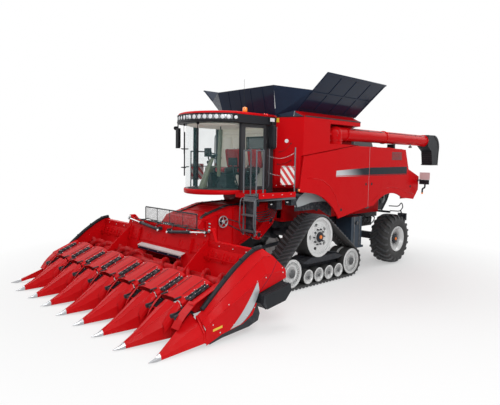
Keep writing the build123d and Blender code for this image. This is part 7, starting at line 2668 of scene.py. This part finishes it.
# ---------------------------------------------------------------- header
@dataclass
class Header:
    """Tips, chains, augers, screen, tubes and covers of the folding header."""

    pitch: float = 0.75
    fold: float = 1.5
    divider: float = 3.0
    outer: float = 3.11
    auger: Flat = (-3.74, 0.77)
    core: float = 0.09
    flight: float = 0.205
    snout: tuple[tuple[float, float, float, float], ...] = (
        (-5.69, 0.032, 0.010, 0.066), (-5.34, 0.150, 0.045, 0.250), (-4.93, 0.2945, 0.090, 0.535),
        (-4.45, 0.2945, 0.140, 0.850))
    skin: tuple[Point, ...] = ((-4.64, 0.50, 0.40), (-4.54, 0.565, 0.50), (-4.27, 0.805, 0.68),
                               (-3.74, 1.23, 1.0), (-3.29, 1.44, 1.3), (-2.70, 1.44, 1.3))
    rear_cut: float = 2.125
    wall: tuple[Flat, Flat] = ((-3.49, 0.77), (-3.312, 1.42))
    gearbox_face: float = 3.2365
    gearbox: tuple[Flat, ...] = ((-3.459, 0.683), (-2.786, 0.785), (-2.754, 0.649), (-2.912, 0.490),
                                 (-3.377, 0.417), (-3.479, 0.527))

    def body(self, x: float) -> str:
        """Return the body that a place across the header moves with.

        Args:
            x: the place across the header.

        Returns:
            The body's name.
        """
        if abs(x) < self.fold - 0.01:
            return "feeder"
        return "left_wing" if x > 0 else "right_wing"

    def snout_at(self, y: float) -> tuple[float, float, float]:
        """Return a snout's half width, low and high edge at one Y.

        Args:
            y: the place along the snout.

        Returns:
            The half width, the low edge and the high edge.
        """
        for before, after in zip(self.snout, self.snout[1:]):
            if y <= after[0]:
                t = (y - before[0]) / (after[0] - before[0])
                return tuple(a + (b - a) * t for a, b in zip(before[1:], after[1:]))
        return self.snout[-1][1:]

    def snout_dressing(self, x: float) -> tuple[Draft, Draft]:
        """Draw one snout's ridge bead, pressed side lines and hinge strap.

        Args:
            x: X of the snout's middle.

        Returns:
            The red beads and the dark straps.
        """
        bead, dark = Draft(), Draft()
        ridge = []
        for k in range(13):
            y = -5.62 + 0.70 * k / 12
            ridge.append((x, y, self.snout_at(y)[2] + 0.001))
        bead.tube(ridge, 0.006, 8)
        for side in SIDES:
            line = []
            for k in range(9):
                y = -5.40 + 0.47 * k / 8
                half, low, high = self.snout_at(y)
                line.append((x + side * half * 0.5, y, low + 0.91 * (high - low) + 0.001))
            bead.tube(line, 0.005, 6)
            edge = []
            for k in range(11):
                y = -5.60 + 0.66 * k / 10
                half, low, _ = self.snout_at(y)
                edge.append((x + side * (half - 0.001), y, low + 0.008))
            bead.tube(edge, 0.007, 6)
            dark.bar((x + side * 0.20, -4.79, 0.690), (x + side * 0.20, -4.66, 0.712), 0.040, 0.012)
        return bead, dark

    def tip(self, x: float) -> Draft:
        """Draw one snout's steel point, a thin skin on its front end.

        Args:
            x: X of the snout's middle.

        Returns:
            The point.
        """
        draft = Draft()
        rings = []
        for y, grow in ((-5.8095, 0.0005), (-5.69, 0.0018), (-5.615, 0.0022)):
            if y < -5.69:
                half, low, high = 0.003, 0.022, 0.030
            else:
                half, low, high = self.snout_at(y)
            rise = high - low
            ring = [(half + grow, low - grow), (half * 0.93 + grow, low + 0.55 * rise),
                    (half * 0.5 + grow, low + 0.91 * rise + grow), (0.0, high + grow * 1.5)]
            ring += [(-u, v) for u, v in reversed(ring[:-1])]
            rings.append([(x + u, y, v) for u, v in ring])
        draft.loft(rings)
        draft.lathe((x, -5.650, self.snout_at(-5.650)[2] - 0.006), Z_AXIS,
                    [(0.010, 0.0), (0.009, 0.010), (0.003, 0.012)], 10)
        return draft

    def chains(self, row: float) -> tuple[Draft, Draft, Draft]:
        """Draw both gathering chains of a row, their guide strips and bolts.

        Args:
            row: X of the row's middle.

        Returns:
            The chains, the strips and the bolts.
        """
        links, strips, bolts = Draft(), Draft(), Draft()
        start, end = Vector((0, -4.80, 0.540)), Vector((0, -4.02, 0.750))
        along = (end - start).normalized()
        up = Vector((0, -along.z, along.y))
        for side in SIDES:
            x = row + side * 0.0575
            count = 26
            for k in range(count):
                a = start.lerp(end, (k + 0.08) / count) + X_AXIS * x + up * 0.012
                b = start.lerp(end, (k + 0.92) / count) + X_AXIS * x + up * 0.012
                wide = 0.026 if k % 2 else 0.018
                links.bar(a, b, wide, 0.014, up)
                if k % 4 == 1:
                    middle = (a + b) / 2
                    links.prism([middle - along * 0.012 + up * 0.006, middle + along * 0.012 + up * 0.006,
                                 middle + along * 0.006 - X_AXIS * side * 0.040 + up * 0.006,
                                 middle - along * 0.006 - X_AXIS * side * 0.040 + up * 0.006], up * 0.012)
            sprocket = start.lerp(end, 0.97) + X_AXIS * x
            links.lathe(sprocket, up, [(0.030, 0.0), (0.034, 0.006), (0.034, 0.020), (0.020, 0.026),
                                       (0.006, 0.026)], 16)
            outer = row + side * 0.040
            a = Vector((outer, -4.66, 0.700))
            b = Vector((outer, -4.24, 0.875))
            strips.bar(a, b, 0.012, 0.050, Z_AXIS)
            for t in (0.08, 0.32, 0.56, 0.80, 0.95):
                place = a.lerp(b, t) + Z_AXIS * 0.026
                bolts.head(place, Z_AXIS, 0.011, 0.006, 0.006, 0.009)
            for t in (0.10, 0.30, 0.50, 0.70, 0.90):
                place = start.lerp(end, t) + X_AXIS * (row + side * 0.0575) + up * 0.019
                bolts.lathe(place, up, [(0.009, 0.0), (0.008, 0.006), (0.004, 0.008)], 8)
        return links, strips, bolts

    def rows(self, shop: Workshop) -> None:
        """Make the snouts' dressings, tips, chains and hood bolts, one piece for each body.

        Args:
            shop: the workshop that makes the pieces.
        """
        finish = {"ridges": RED_SNOUT, "hinges": BLACK_PLASTIC, "tips": TIP_STEEL, "chains": CHAIN_STEEL,
                  "strips": BLACK_FRAME, "bolts": BRIGHT_STEEL, "seams": RUBBER_LIP}
        made: dict[tuple[str, str], Draft] = {}

        def grow(body: str, kind: str, draft: Draft) -> None:
            """Add a draft to the piece of one kind on one body."""
            made.setdefault((body, kind), Draft()).merge(draft)
        for index in range(-3, 4):
            x = self.pitch * index
            body = self.body(x)
            ridges, hinges = self.snout_dressing(x)
            grow(body, "ridges", ridges)
            grow(body, "hinges", hinges)
            grow(body, "tips", self.tip(x))
            seams, bolts = Draft(), Draft()
            for side in SIDES:
                for y, z in ((-4.62, 0.706), (-4.42, 0.797), (-4.20, 0.898)):
                    bolts.lathe((x + side * 0.255, y, z), Vector((side * 0.12, -0.40, 0.91)),
                                [(0.010, 0.0), (0.009, 0.007), (0.004, 0.009)], 8)
            wings = Draft()
            for side in SIDES:
                skirt = []
                for y, z in ((-4.735, 0.655), (-4.55, 0.735), (-4.35, 0.823), (-4.13, 0.915), (-4.02, 0.835)):
                    skirt.append([(x + side * u, y, z + h)
                                  for u, h in ((0.268, -0.004), (0.318, -0.012), (0.334, -0.026),
                                               (0.334, -0.075), (0.328, -0.075), (0.328, -0.032),
                                               (0.314, -0.020), (0.268, -0.012))])
                wings.loft(skirt)
                shoulder = []
                for y, z, wide in ((-5.05, 0.30, 0.285), (-4.98, 0.40, 0.318), (-4.92, 0.475, 0.332),
                                   (-4.84, 0.555, 0.334), (-4.76, 0.625, 0.334)):
                    shoulder.append([(x + side * u, y, z + h)
                                     for u, h in ((0.235, 0.045), (wide - 0.02, 0.012), (wide, -0.030),
                                                  (wide, -0.120), (wide - 0.006, -0.120),
                                                  (wide - 0.006, -0.034), (wide - 0.024, 0.004),
                                                  (0.235, 0.037))])
                wings.loft(shoulder)
            grow(body, "ridges", wings)
            for share in (-0.34, 0.34):
                seams.bar((x + share * 0.5, -4.60, 0.735), (x + share * 0.5, -4.16, 0.921), 0.006, 0.005)
            grow(body, "bolts", bolts)
            grow(body, "seams", seams)
        for index in range(8):
            row = self.pitch * (index - 3.5)
            body = self.body(row)
            for kind, draft in zip(("chains", "strips", "bolts"), self.chains(row)):
                grow(body, kind, draft)
        for (body, kind), draft in made.items():
            shop.piece(draft, f"{body}_snout_{kind}", finish[kind], body)

    def helicoid(self, draft: Draft, low: float, high: float, hand: int, lead: float = 0.46) -> None:
        """Draw an auger flight that winds along X.

        Args:
            draft: what it is drawn into.
            low: X where it starts.
            high: X where it ends.
            hand: 1 or -1, the way that it winds.
            lead: how far one turn advances.
        """
        turns = (high - low) / lead
        count = max(24, round(turns * 30))
        rings = []
        for k in range(count + 1):
            x = low + (high - low) * k / count
            turn = hand * 2 * math.pi * (x / lead)
            arm = Vector((0, math.cos(turn), math.sin(turn)))
            centre = Vector((x, *self.auger))
            rings.append([centre + arm * r + X_AXIS * off
                          for r, off in ((self.core - 0.004, -0.006), (self.flight, -0.003),
                                         (self.flight, 0.003), (self.core - 0.004, 0.006))])
        draft.loft(rings, smooth=True)

    def augers(self, shop: Workshop) -> None:
        """Make the three cross augers, their flights running toward the throat.

        Args:
            shop: the workshop that makes the pieces.
        """
        for node, low, high in (("header_auger", -1.478, 1.478), ("left_wing_auger", 1.522, 2.862),
                                ("right_wing_auger", -2.862, -1.522)):
            draft = Draft()
            core, stub = self.core, 0.045
            draft.lathe((low, *self.auger), X_AXIS,
                        [(stub, -0.004), (stub, 0.0), (core, 0.002), (core, high - low - 0.002),
                         (stub, high - low), (stub, high - low + 0.004)], 32)
            if node == "header_auger":
                self.helicoid(draft, 0.22, high - 0.006, 1)
                self.helicoid(draft, low + 0.006, -0.22, -1)
                for k in range(4):
                    turn = math.pi / 2 * k + 0.3
                    arm = Vector((0, math.cos(turn), math.sin(turn)))
                    base = Vector((0, *self.auger)) + arm * 0.085
                    draft.bar(base - X_AXIS * 0.20, base + X_AXIS * 0.20, 0.008, 0.004, arm)
                    draft.loft([[Vector((0, *self.auger)) + arm * r + X_AXIS * x + arm.cross(X_AXIS) * t
                                 for x, t in ((-0.19, -0.003), (0.19, -0.003), (0.19, 0.003), (-0.19, 0.003))]
                                for r in (0.086, 0.195)])
            else:
                self.helicoid(draft, low + 0.006, high - 0.006, 1 if low > 0 else -1)
            shop.piece(draft, f"{node}_flighting", RED_AUGER, node, stands_for=[node])

    def screen(self, shop: Workshop) -> None:
        """Make the wire screen over the feeder, in its tube frame.

        Args:
            shop: the workshop that makes the pieces.
        """
        wires, frame, y = Draft(), Draft(), -3.23
        low, high, half = 1.595, 1.888, 0.988
        for k in range(12):
            z = low + (high - low) * k / 11
            wires.tube([(-half, y - 0.0015, z), (half, y - 0.0015, z)], 0.0034, 5)
        for k in range(77):
            x = -half + 2 * half * k / 76
            wires.tube([(x, y + 0.0015, low), (x, y + 0.0015, high)], 0.0018, 5)
        frame.tube(rounded([(-1.0, y, 1.552), (-1.0, y, 1.878), (1.0, y, 1.878), (1.0, y, 1.552)], 0.03),
                   0.012, 10)
        frame.tube([(-1.0, y, 1.592), (1.0, y, 1.592)], 0.008, 8)
        for x in (-0.5, 0.0, 0.5):
            frame.tube([(x, y, 1.552), (x, y, 1.885)], 0.007, 8)
        for x in (-1.0, 1.0):
            frame.box((x - 0.030, y - 0.030, 1.5505), (x + 0.030, y + 0.030, 1.560))
        shop.piece(wires, "screen_wires", DARK_STEEL, "feeder", stands_for=["trash_screen"])
        shop.piece(frame, "screen_frame", BLACK_FRAME, "feeder")

    @staticmethod
    def skin_edge(fold: float) -> float:
        """Return the height where a divider's skin leaves the vertical, below its fold."""
        return 0.12 + 0.75 * (fold - 0.12)

    def skin_at(self, y: float, z: float, out: float = 0.002) -> Point:
        """Return the point of the left divider's skin at one Y and Z, moved outward.

        Args:
            y: the place along the divider.
            z: its height.
            out: how far outward.

        Returns:
            The point of the left divider.
        """
        for (y0, t0, f0), (y1, t1, f1) in zip(self.skin, self.skin[1:]):
            if y <= y1:
                share = (y - y0) / (y1 - y0)
                top, fold = t0 + (t1 - t0) * share, f0 + (f1 - f0) * share
                break
        edge = self.skin_edge(fold)
        if z <= edge:
            return self.outer + out, y, z
        if z <= fold:
            return self.outer - 0.11 * (z - edge) / (fold - edge) + out, y, z
        return self.divider - 0.12 * (z - fold) / max(top - fold, 0.01) + out * 0.7, y, z + out * 0.7

    def patch(self, draft: Draft, front: Sequence[Flat], rear: Sequence[Flat], out: float,
              rows: int = 24) -> None:
        """Lay a thin film on the divider's skin between two edge lines.

        Args:
            draft: what it is drawn into.
            front: (Y, Z) corners of the front edge, from low to high.
            rear: the rear edge's.
            out: how far it stands off the skin.
            rows: faces along its height.
        """
        def along(line: Sequence[Flat], t: float) -> Flat:
            """Return the place at a share of a bowed line.

            Args:
                line: the (Y, Z) ends and, between them, the point that bows the line.
                t: the share, from 0 to 1.

            Returns:
                (Y, Z) of the place.
            """
            (y0, z0), (y1, z1), (y2, z2) = line
            return (y0 * (1 - t) ** 2 + 2 * y1 * t * (1 - t) + y2 * t * t,
                    z0 * (1 - t) ** 2 + 2 * z1 * t * (1 - t) + z2 * t * t)
        points, faces, wide = [], [], 6
        for k in range(rows + 1):
            (ya, za), (yb, zb) = along(front, k / rows), along(rear, k / rows)
            for j in range(wide + 1):
                t = j / wide
                points.append(self.skin_at(ya + (yb - ya) * t, za + (zb - za) * t, out))
        for k in range(rows):
            for j in range(wide):
                a = k * (wide + 1) + j
                faces.append((a, a + 1, a + wide + 2, a + wide + 1))
        draft.add(points, faces)

    def dividers(self, shop: Workshop) -> None:
        """Make the end dividers' films, tubes, tips, covers and bolts.

        Args:
            shop: the workshop that makes the pieces.
        """
        silver, dark, tube, steel, label, cover, bead = (Draft() for _ in range(7))
        self.patch(silver, ((-4.13, 0.20), (-3.78, 0.45), (-3.50, 0.93)),
                   ((-3.90, 0.235), (-3.60, 0.36), (-3.46, 0.74)), 0.0030)
        self.patch(dark, ((-3.90, 0.236), (-3.60, 0.362), (-3.46, 0.742)),
                   ((-3.885, 0.238), (-3.585, 0.366), (-3.452, 0.746)), 0.0032)
        self.patch(dark, ((-3.46, 0.72), (-3.30, 0.86), (-2.95, 1.20)),
                   ((-3.445, 0.722), (-3.285, 0.862), (-2.94, 1.202)), 0.0021)
        skirt = [(-4.635, 0.050), (-4.31, 0.160), (-3.85, 0.235), (-3.62, 0.340), (-3.52, 0.520),
                 (-3.555, 0.575), (-4.092, 0.315), (-4.309, 0.262), (-4.635, 0.095)]
        bead.prism([(self.outer, y, z) for y, z in skirt], (0.0014, 0, 0))
        lap = []
        for y, grow in ((-4.675, 0.0), (-4.66, 0.004), (-4.625, 0.004)):
            lap.append([(self.divider + x, y, z)
                        for x, z in ((-0.120 - grow, 0.30), (-0.120 - grow, 0.49 + grow),
                                     (-0.026, 0.39 + grow * 2), (0.088 + grow, 0.262 + grow),
                                     (0.111 + grow, 0.10), (0.098, 0.10), (0.078, 0.25), (-0.034, 0.365),
                                     (-0.108, 0.470), (-0.108, 0.30))])
        bead.loft(lap)
        self.patch(label, ((-4.50, 0.245), (-4.50, 0.265), (-4.50, 0.285)),
                   ((-4.30, 0.272), (-4.30, 0.292), (-4.30, 0.312)), 0.0020, 3)
        top = [(-4.56, 0.575), (-4.54, 0.590), (-4.22, 0.872), (-3.89, 1.140), (-3.54, 1.365), (-3.36, 1.445),
               (-3.22, 1.462)]
        tube.tube(rounded([(2.888, y, z) for y, z in top], 0.10), 0.041, 14)
        for y, z in ((-4.40, 0.725), (-4.05, 1.020), (-3.70, 1.275), (-3.40, 1.435)):
            cover.lathe((2.888, y, z), Vector((0, 0.76, 0.65)),
                        [(0.044, -0.012), (0.046, -0.009), (0.046, 0.009), (0.044, 0.012), (0.038, 0.010),
                         (0.038, -0.010)], 16, ring=True)
        inner = []
        for y, z, low in ((-5.02, 0.33, 0.20), (-4.93, 0.46, 0.30), (-4.84, 0.555, 0.40), (-4.74, 0.64, 0.48),
                          (-4.66, 0.70, 0.56)):
            inner.append([(2.668, y, low), (2.668, y, z - 0.03), (2.684, y, z - 0.004), (2.880, y, z),
                          (2.880, y, z - 0.008), (2.686, y, z - 0.012), (2.674, y, z - 0.034),
                          (2.674, y, low)])
        bead.loft(inner)
        for (y0, _, f0), (y1, _, f1) in zip(self.skin[:-1], self.skin[1:]):
            e0, e1 = self.skin_edge(f0), self.skin_edge(f1)
            for x, start, end, thick in ((self.divider + 0.001, (y0, f0 + 0.001), (y1, f1 + 0.001), 0.008),
                                         (self.outer - 0.001, (y0, e0), (y1, e1), 0.006)):
                past, over = (y + 0.75 * z + self.rear_cut for y, z in (start, end))
                if past >= 0:
                    continue
                share = min(1.0, past / (past - over)) if over > 0 else 1.0
                cut = [a + (b - a) * share for a, b in zip(start, end)]
                bead.tube([(x, *start), (x, *cut)], thick, 8)
        count = len(self.gearbox)
        middle = Vector((0, sum(y for y, _ in self.gearbox) / count, sum(z for _, z in self.gearbox) / count))
        for y, z in self.gearbox:
            place = middle + (Vector((0, y, z)) - middle) * 0.86
            steel.lathe((self.gearbox_face, place.y, place.z), X_AXIS,
                        [(0.013, -0.004), (0.013, 0.003), (0.008, 0.0035)], 6, smooth=False)
        for turn in range(7):
            angle = 2 * math.pi * turn / 7
            y, z = middle.y - 0.16 + 0.085 * math.cos(angle), middle.z + 0.085 * math.sin(angle)
            steel.lathe((self.gearbox_face, y, z), X_AXIS, [(0.010, -0.003), (0.010, 0.003), (0.006, 0.0035)],
                        6, smooth=False)
        for share, x in ((1.012, 3.190), (1.012, 2.960)):
            ring = [middle + (Vector((0, y, z)) - middle) * share + X_AXIS * x for y, z in self.gearbox]
            cover.tube(ring, 0.010, 6, closed=True)
        cover.tube(rounded([(3.05, -4.50, 0.055), (3.05, -4.30, 0.105), (3.05, -3.70, 0.155),
                            (3.05, -3.48, 0.225), (3.05, -3.44, 0.330)], 0.1), 0.012, 8)
        for y, z in ((-4.35, 0.20), (-4.05, 0.26), (-3.75, 0.36), (-3.58, 0.47)):
            steel.head((3.108, y, z), X_AXIS, 0.013, 0.008, 0.007, 0.010)
        for y, z in ((-4.50, 0.36), (-4.15, 0.62), (-3.30, 0.95), (-2.86, 0.98), (-2.86, 1.06)):
            steel.lathe(self.skin_at(y, z, 0.0), X_AXIS, [(0.012, 0.0), (0.012, 0.006), (0.006, 0.009)], 12)
        tip = Draft()
        tip.loft([[(self.divider + x, y, z) for x, z in ring]
                  for y, ring in ((-5.6495, ((0.0262, 0.0212), (0.0262, 0.0285), (0.030, 0.032),
                                             (0.0338, 0.0285), (0.0338, 0.0212))),
                                  (-5.52, ((-0.017, 0.0105), (-0.014, 0.0455), (0.012, 0.0665),
                                           (0.0435, 0.0415), (0.049, 0.0085))),
                                  (-5.44, ((-0.043, 0.033), (-0.040, 0.088), (0.008, 0.106), (0.0475, 0.062),
                                           (0.0535, 0.016))))])
        for side in Side:
            body = "left_wing" if side is Side.LEFT else "right_wing"
            for draft, name, finish in ((silver, "silver_wedge", SILVER_FILM_AND_HIGHLIGHT),
                                        (dark, "film_edges", BLACK_COVER), (tube, "top_tube", BLACK_PLASTIC),
                                        (steel, "bolts", BRIGHT_STEEL), (label, "bare_label", LABEL_BARE),
                                        (cover, "cover_rims", BLACK_PLASTIC), (bead, "fold_beads", RED_SNOUT),
                                        (tip, "steel_point", TIP_STEEL)):
                shop.piece(draft.on(side), f"{body}_divider_{name}", finish, body)

    def back(self, shop: Workshop) -> None:
        """Make the deflector, wall ribs, beam fittings and hoses of the centre and wings.

        Args:
            shop: the workshop that makes the pieces.
        """
        plate, edge, ribs, hose, steel, dark = (Draft() for _ in range(6))
        half = 0.862
        plate.prism([(0.004 - half, y, z)
                     for y, z in ((-3.532, 0.94), (-3.532, 1.022), (-3.530, 1.026), (-3.528, 0.94))],
                    (2 * (half - 0.004), 0, 0))
        for outline in (((-3.5325, 1.024), (-3.423, 1.0625), (-3.421, 1.0655), (-3.5335, 1.028)),
                        ((-3.534, 1.000), (-3.534, 1.026), (-3.531, 1.026), (-3.531, 1.000))):
            edge.prism([(-half, y, z) for y, z in outline], (2 * half, 0, 0))
        for x in (-0.80, -0.40, 0.0, 0.40, 0.80):
            steel.head((x, -3.533, 0.975), -Y_AXIS, 0.012, 0.006, 0.006, 0.009)

        def wall(z: float) -> float:
            """Return Y of the back wall's front face at one height."""
            (y0, z0), (y1, z1) = self.wall
            return y0 - 0.008 + (y1 - y0) * (z - z0) / (z1 - z0)
        for x in (-1.40, -1.02, 1.02, 1.40):
            ribs.prism([(x, wall(1.06) - 0.002, 1.06), (x, wall(1.06) - 0.045, 1.09),
                        (x, wall(1.38) - 0.060, 1.36), (x, wall(1.40) - 0.002, 1.40)], (0.012, 0, 0))
        ribs.bar((-1.47, wall(1.12) - 0.006, 1.12), (1.47, wall(1.12) - 0.006, 1.12), 0.012, 0.040)
        for x in (-1.25, -0.62, 0.0, 0.62, 1.25):
            ribs.lathe((x, wall(1.24), 1.24), Vector((0, -0.965, 0.264)),
                       [(0.070, -0.002), (0.070, 0.006), (0.060, 0.010), (0.052, 0.004), (0.052, -0.002)], 28,
                       ring=True)
        for x in (-1.42, -1.14, -0.86, 0.86, 1.14, 1.42):
            ribs.box((x - 0.035, -3.332, 1.50), (x + 0.035, -3.206, 1.560))
            steel.head((x, -3.334, 1.485), -Y_AXIS, 0.014, 0.008, 0.008, 0.011)
        for side in SIDES:
            pin = Vector((side * 1.54, -3.342, 1.60))
            steel.lathe(pin, Y_AXIS, [(0.034, 0.0), (0.036, 0.003), (0.036, 0.006), (0.026, 0.008)], 20)
            foot, eye = Vector((side * 0.18, -3.385, 1.425)), Vector((side * 1.49, -3.385, 1.565))
            along = (eye - foot).normalized()
            joint = foot.lerp(eye, 0.6)
            dark.lathe(joint - along * 0.035, along,
                       [(0.039, 0.0), (0.041, 0.004), (0.041, 0.036), (0.030, 0.040), (0.021, 0.041)], 24)
            dark.lathe(foot + along * 0.03, along,
                       [(0.037, 0.0), (0.041, 0.004), (0.041, 0.030), (0.037, 0.034)], 24)
            steel.lathe(foot - Y_AXIS * 0.052, Y_AXIS,
                        [(0.022, 0.0), (0.024, 0.004), (0.024, 0.10), (0.022, 0.104)], 18)
            steel.lathe(eye - Y_AXIS * 0.036, Y_AXIS,
                        [(0.020, 0.0), (0.022, 0.003), (0.022, 0.069), (0.020, 0.072)], 18)
            for k, t in enumerate((0.10, 0.52)):
                port = foot.lerp(eye, t)
                steel.head(port + Z_AXIS * 0.034, Z_AXIS, 0.012, 0.016, 0.008, 0.020)
                line = [port + Z_AXIS * 0.046, port + Vector((0, 0.0, 0.085)),
                        port + Vector((-side * 0.05, 0.075, 0.125)),
                        Vector((side * (0.10 + 0.03 * k), -3.300, 1.567)),
                        Vector((side * (0.06 + 0.03 * k), -3.24, 1.567))]
                hose.tube(rounded(line, 0.06), 0.0105, 8)
        for k in range(5):
            off = 0.028 * k
            line = [(0.10 + off, -3.30, 1.564), (0.55, -3.31 + off * 0.5, 1.566),
                    (0.98, -3.30 + off * 0.5, 1.566), (1.26 + off, -3.27, 1.563)]
            hose.tube(rounded(line, 0.1), 0.0095, 8)
            line = [(-0.10 - off, -3.30, 1.564), (-0.60, -3.31 + off * 0.5, 1.566),
                    (-1.30 - off, -3.27, 1.563)]
            hose.tube(rounded(line, 0.1), 0.0095, 8)
        for x in (-1.05, -0.70, -0.35, 0.35, 0.70, 1.05):
            dark.box((x - 0.012, -3.33, 1.549), (x + 0.012, -3.235, 1.582))
        dark.box((-0.16, -3.30, 1.549), (0.16, -3.21, 1.60))
        for k in range(4):
            steel.head((-0.105 + 0.07 * k, -3.30, 1.575), -Y_AXIS, 0.013, 0.018, 0.008, 0.022)
        for draft, name, finish, bevel in ((plate, "deflector_face", BLACK_COVER, 0.0),
                                           (edge, "deflector_edge", SILVER, 0.0),
                                           (ribs, "header_wall_ribs", RED_PAINT, 0.002),
                                           (hose, "header_hoses", HOSE_RUBBER, 0.0),
                                           (steel, "header_fittings", BRIGHT_STEEL, 0.0),
                                           (dark, "header_clips", BLACK_FRAME, 0.0015)):
            shop.piece(draft, name, finish, "feeder", bevel=bevel)
        wing, bolts = Draft(), Draft()
        for x in (1.66, 2.06, 2.44, 2.80):
            wing.prism([(x, wall(1.06) - 0.004, 1.02), (x, wall(1.06) - 0.045, 1.05), (x, -3.40, 1.22),
                        (x, -3.36, 1.25)], (0.012, 0, 0))
        wing.bar((1.53, -3.452, 1.10), (2.86, -3.452, 1.10), 0.012, 0.036)
        for x in (1.85, 2.25, 2.62):
            wing.lathe((x, -3.405, 1.17), Vector((0, -0.965, 0.264)),
                       [(0.050, -0.004), (0.050, 0.006), (0.042, 0.009), (0.036, 0.004), (0.036, -0.004)], 24,
                       ring=True)
            bolts.head((x, -3.322, 1.335), -Y_AXIS, 0.014, 0.010, 0.008, 0.013)
        for side in Side:
            body = "left_wing" if side is Side.LEFT else "right_wing"
            shop.piece(wing.on(side), f"{body}_wall_ribs", RED_PAINT, body, bevel=0.002)
            shop.piece(bolts.on(side), f"{body}_beam_bolts", BRIGHT_STEEL, body)

    def build(self, shop: Workshop) -> None:
        """Make the header's pieces.

        Args:
            shop: the workshop that makes the pieces.
        """
        self.rows(shop)
        self.augers(shop)
        self.screen(shop)
        self.dividers(shop)
        self.back(shop)


# ---------------------------------------------------------------- studio
def seen_rays(wires: Wires) -> bpy.types.NodeSocket:
    """Return 1 for the rays that show the background directly, mirrored or through glass.

    Args:
        wires: the node tree that uses the value.

    Returns:
        The socket with the value.
    """
    path = wires.node("LightPath")
    seen = wires.math("ADD", path.outputs["Is Camera Ray"], path.outputs["Is Transmission Ray"], clamp=True)
    return wires.math("ADD", seen, path.outputs["Is Glossy Ray"], clamp=True)


@dataclass
class Studio:
    """Camera, lamps, world and floor."""

    eye: Point = (8.992, -9.327, 3.016)
    yaw: float = -0.8096
    pitch: float = -0.0872
    roll: float = 0.0172
    lens: float = 34.79
    floor_colour: Colour = (0.86, 0.86, 0.86)
    floor_fade: Flat = (4.0, 9.0)
    lamps: tuple[tuple[Point, float, float], ...] = (  # place, size, power
        ((9.5, -7.0, 8.0), 6.0, 620.0),
        ((-9.0, -8.0, 8.0), 6.0, 260.0),
        ((4.0, 11.0, 8.0), 6.0, 320.0),
        ((0.0, -1.0, 12.0), 7.0, 420.0),
    )

    def aim(self) -> Matrix:
        """Return the camera's axes as a rotation.

        Returns:
            The rotation.
        """
        forward = Vector((math.sin(self.yaw) * math.cos(self.pitch),
                          math.cos(self.yaw) * math.cos(self.pitch), math.sin(self.pitch)))
        right = forward.cross(Z_AXIS).normalized()
        up = right.cross(forward)
        turned = right * math.cos(self.roll) + up * math.sin(self.roll)
        raised = up * math.cos(self.roll) - right * math.sin(self.roll)
        return Matrix((turned, raised, -forward)).transposed().to_4x4()

    def build(self, shop: Workshop) -> None:
        """Place the camera, the lamps, the world and the floor.

        Args:
            shop: the workshop, for the frame's place.
        """
        scene = bpy.context.scene
        scene.view_settings.view_transform = "Standard"
        camera = bpy.data.objects.new("camera", bpy.data.cameras.new("camera"))
        camera.data.lens = self.lens
        camera.data.sensor_width = 36.0
        camera.data.clip_end = 200.0
        camera.matrix_world = Matrix.Translation(Vector(self.eye) + shop.shift) @ self.aim()
        scene.collection.objects.link(camera)
        scene.camera = camera
        for index, (place, size, power) in enumerate(self.lamps):
            lamp = bpy.data.lights.new(f"softbox_{index}", "AREA")
            lamp.energy, lamp.size = power, size
            stand = bpy.data.objects.new(lamp.name, lamp)
            stand.location = place
            stand.rotation_euler = (Vector((0, 0, 1.5)) - Vector(place)).to_track_quat("-Z", "Y").to_euler()
            scene.collection.objects.link(stand)
        self.light_world(scene)
        self.lay_floor()

    def light_world(self, scene: bpy.types.Scene) -> None:
        """Surround the machine with even pale light, and white where it shows.

        Args:
            scene: the scene that is lit.
        """
        world = bpy.data.worlds.new("studio")
        world.use_nodes = True
        world.node_tree.nodes.clear()
        scene.world = world
        wires = Wires(world.node_tree)
        even = wires.node("Background", {"Color": (1, 1, 1, 1), "Strength": 0.42})
        white = wires.node("Background", {"Color": (1, 1, 1, 1), "Strength": 1.0})
        both = wires.node("MixShader", {0: seen_rays(wires), 1: even.outputs[0], 2: white.outputs[0]})
        wires.node("OutputWorld", {"Surface": both.outputs[0]})

    def lay_floor(self) -> None:
        """Lay a wide pale floor under the machine."""
        mesh = bpy.data.meshes.new("floor")
        reach = 60.0
        mesh.from_pydata([(-reach, -reach, -0.002), (reach, -reach, -0.002), (reach, reach, -0.002),
                          (-reach, reach, -0.002)], [], [(0, 1, 2, 3)])
        floor = bpy.data.objects.new("floor", mesh)
        bpy.context.scene.collection.objects.link(floor)
        made = bpy.data.materials.new("studio_floor")
        made.use_nodes = True
        made.node_tree.nodes.clear()
        wires = Wires(made.node_tree)
        parts = wires.node("SeparateXYZ", {0: wires.node("TexCoord").outputs["Object"]}).outputs
        far = wires.node("VectorMath", {0: wires.node("CombineXYZ", {0: parts[0], 1: parts[1]}).outputs[0]},
                         operation="LENGTH").outputs["Value"]
        near = wires.math("SUBTRACT", 1.0, wires.ramp(far, *self.floor_fade))
        matt = wires.node("BsdfDiffuse", {"Color": (*self.floor_colour, 1.0)})
        white = wires.node("Emission", {"Color": (1, 1, 1, 1), "Strength": 1.0})
        lifted = wires.math("MULTIPLY", seen_rays(wires),
                            wires.math("SUBTRACT", 1.0, wires.math("MULTIPLY", near, 0.62)))
        both = wires.node("MixShader", {0: lifted, 1: matt.outputs[0], 2: white.outputs[0]})
        wires.node("OutputMaterial", {"Surface": both.outputs[0]})
        mesh.materials.append(made)
        floor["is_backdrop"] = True


def main() -> None:
    """Build everything in order."""
    logging.basicConfig(level=logging.INFO, format="%(name)s: %(message)s")
    random.seed(7)
    shop = Workshop()
    build_surface_detail()
    build_field_dust()
    build_edge_rub()
    Studio().build(shop)
    for part in (TrackUnit(), RearWheel(), BodySides(), GrainTank(), RearEnd(), UnloadingAuger(), Cab(),
                 Platform(), Feeder(), Header()):
        part.build(shop)
    shop.dress_nodes()


if __name__ == "__main__":
    main()
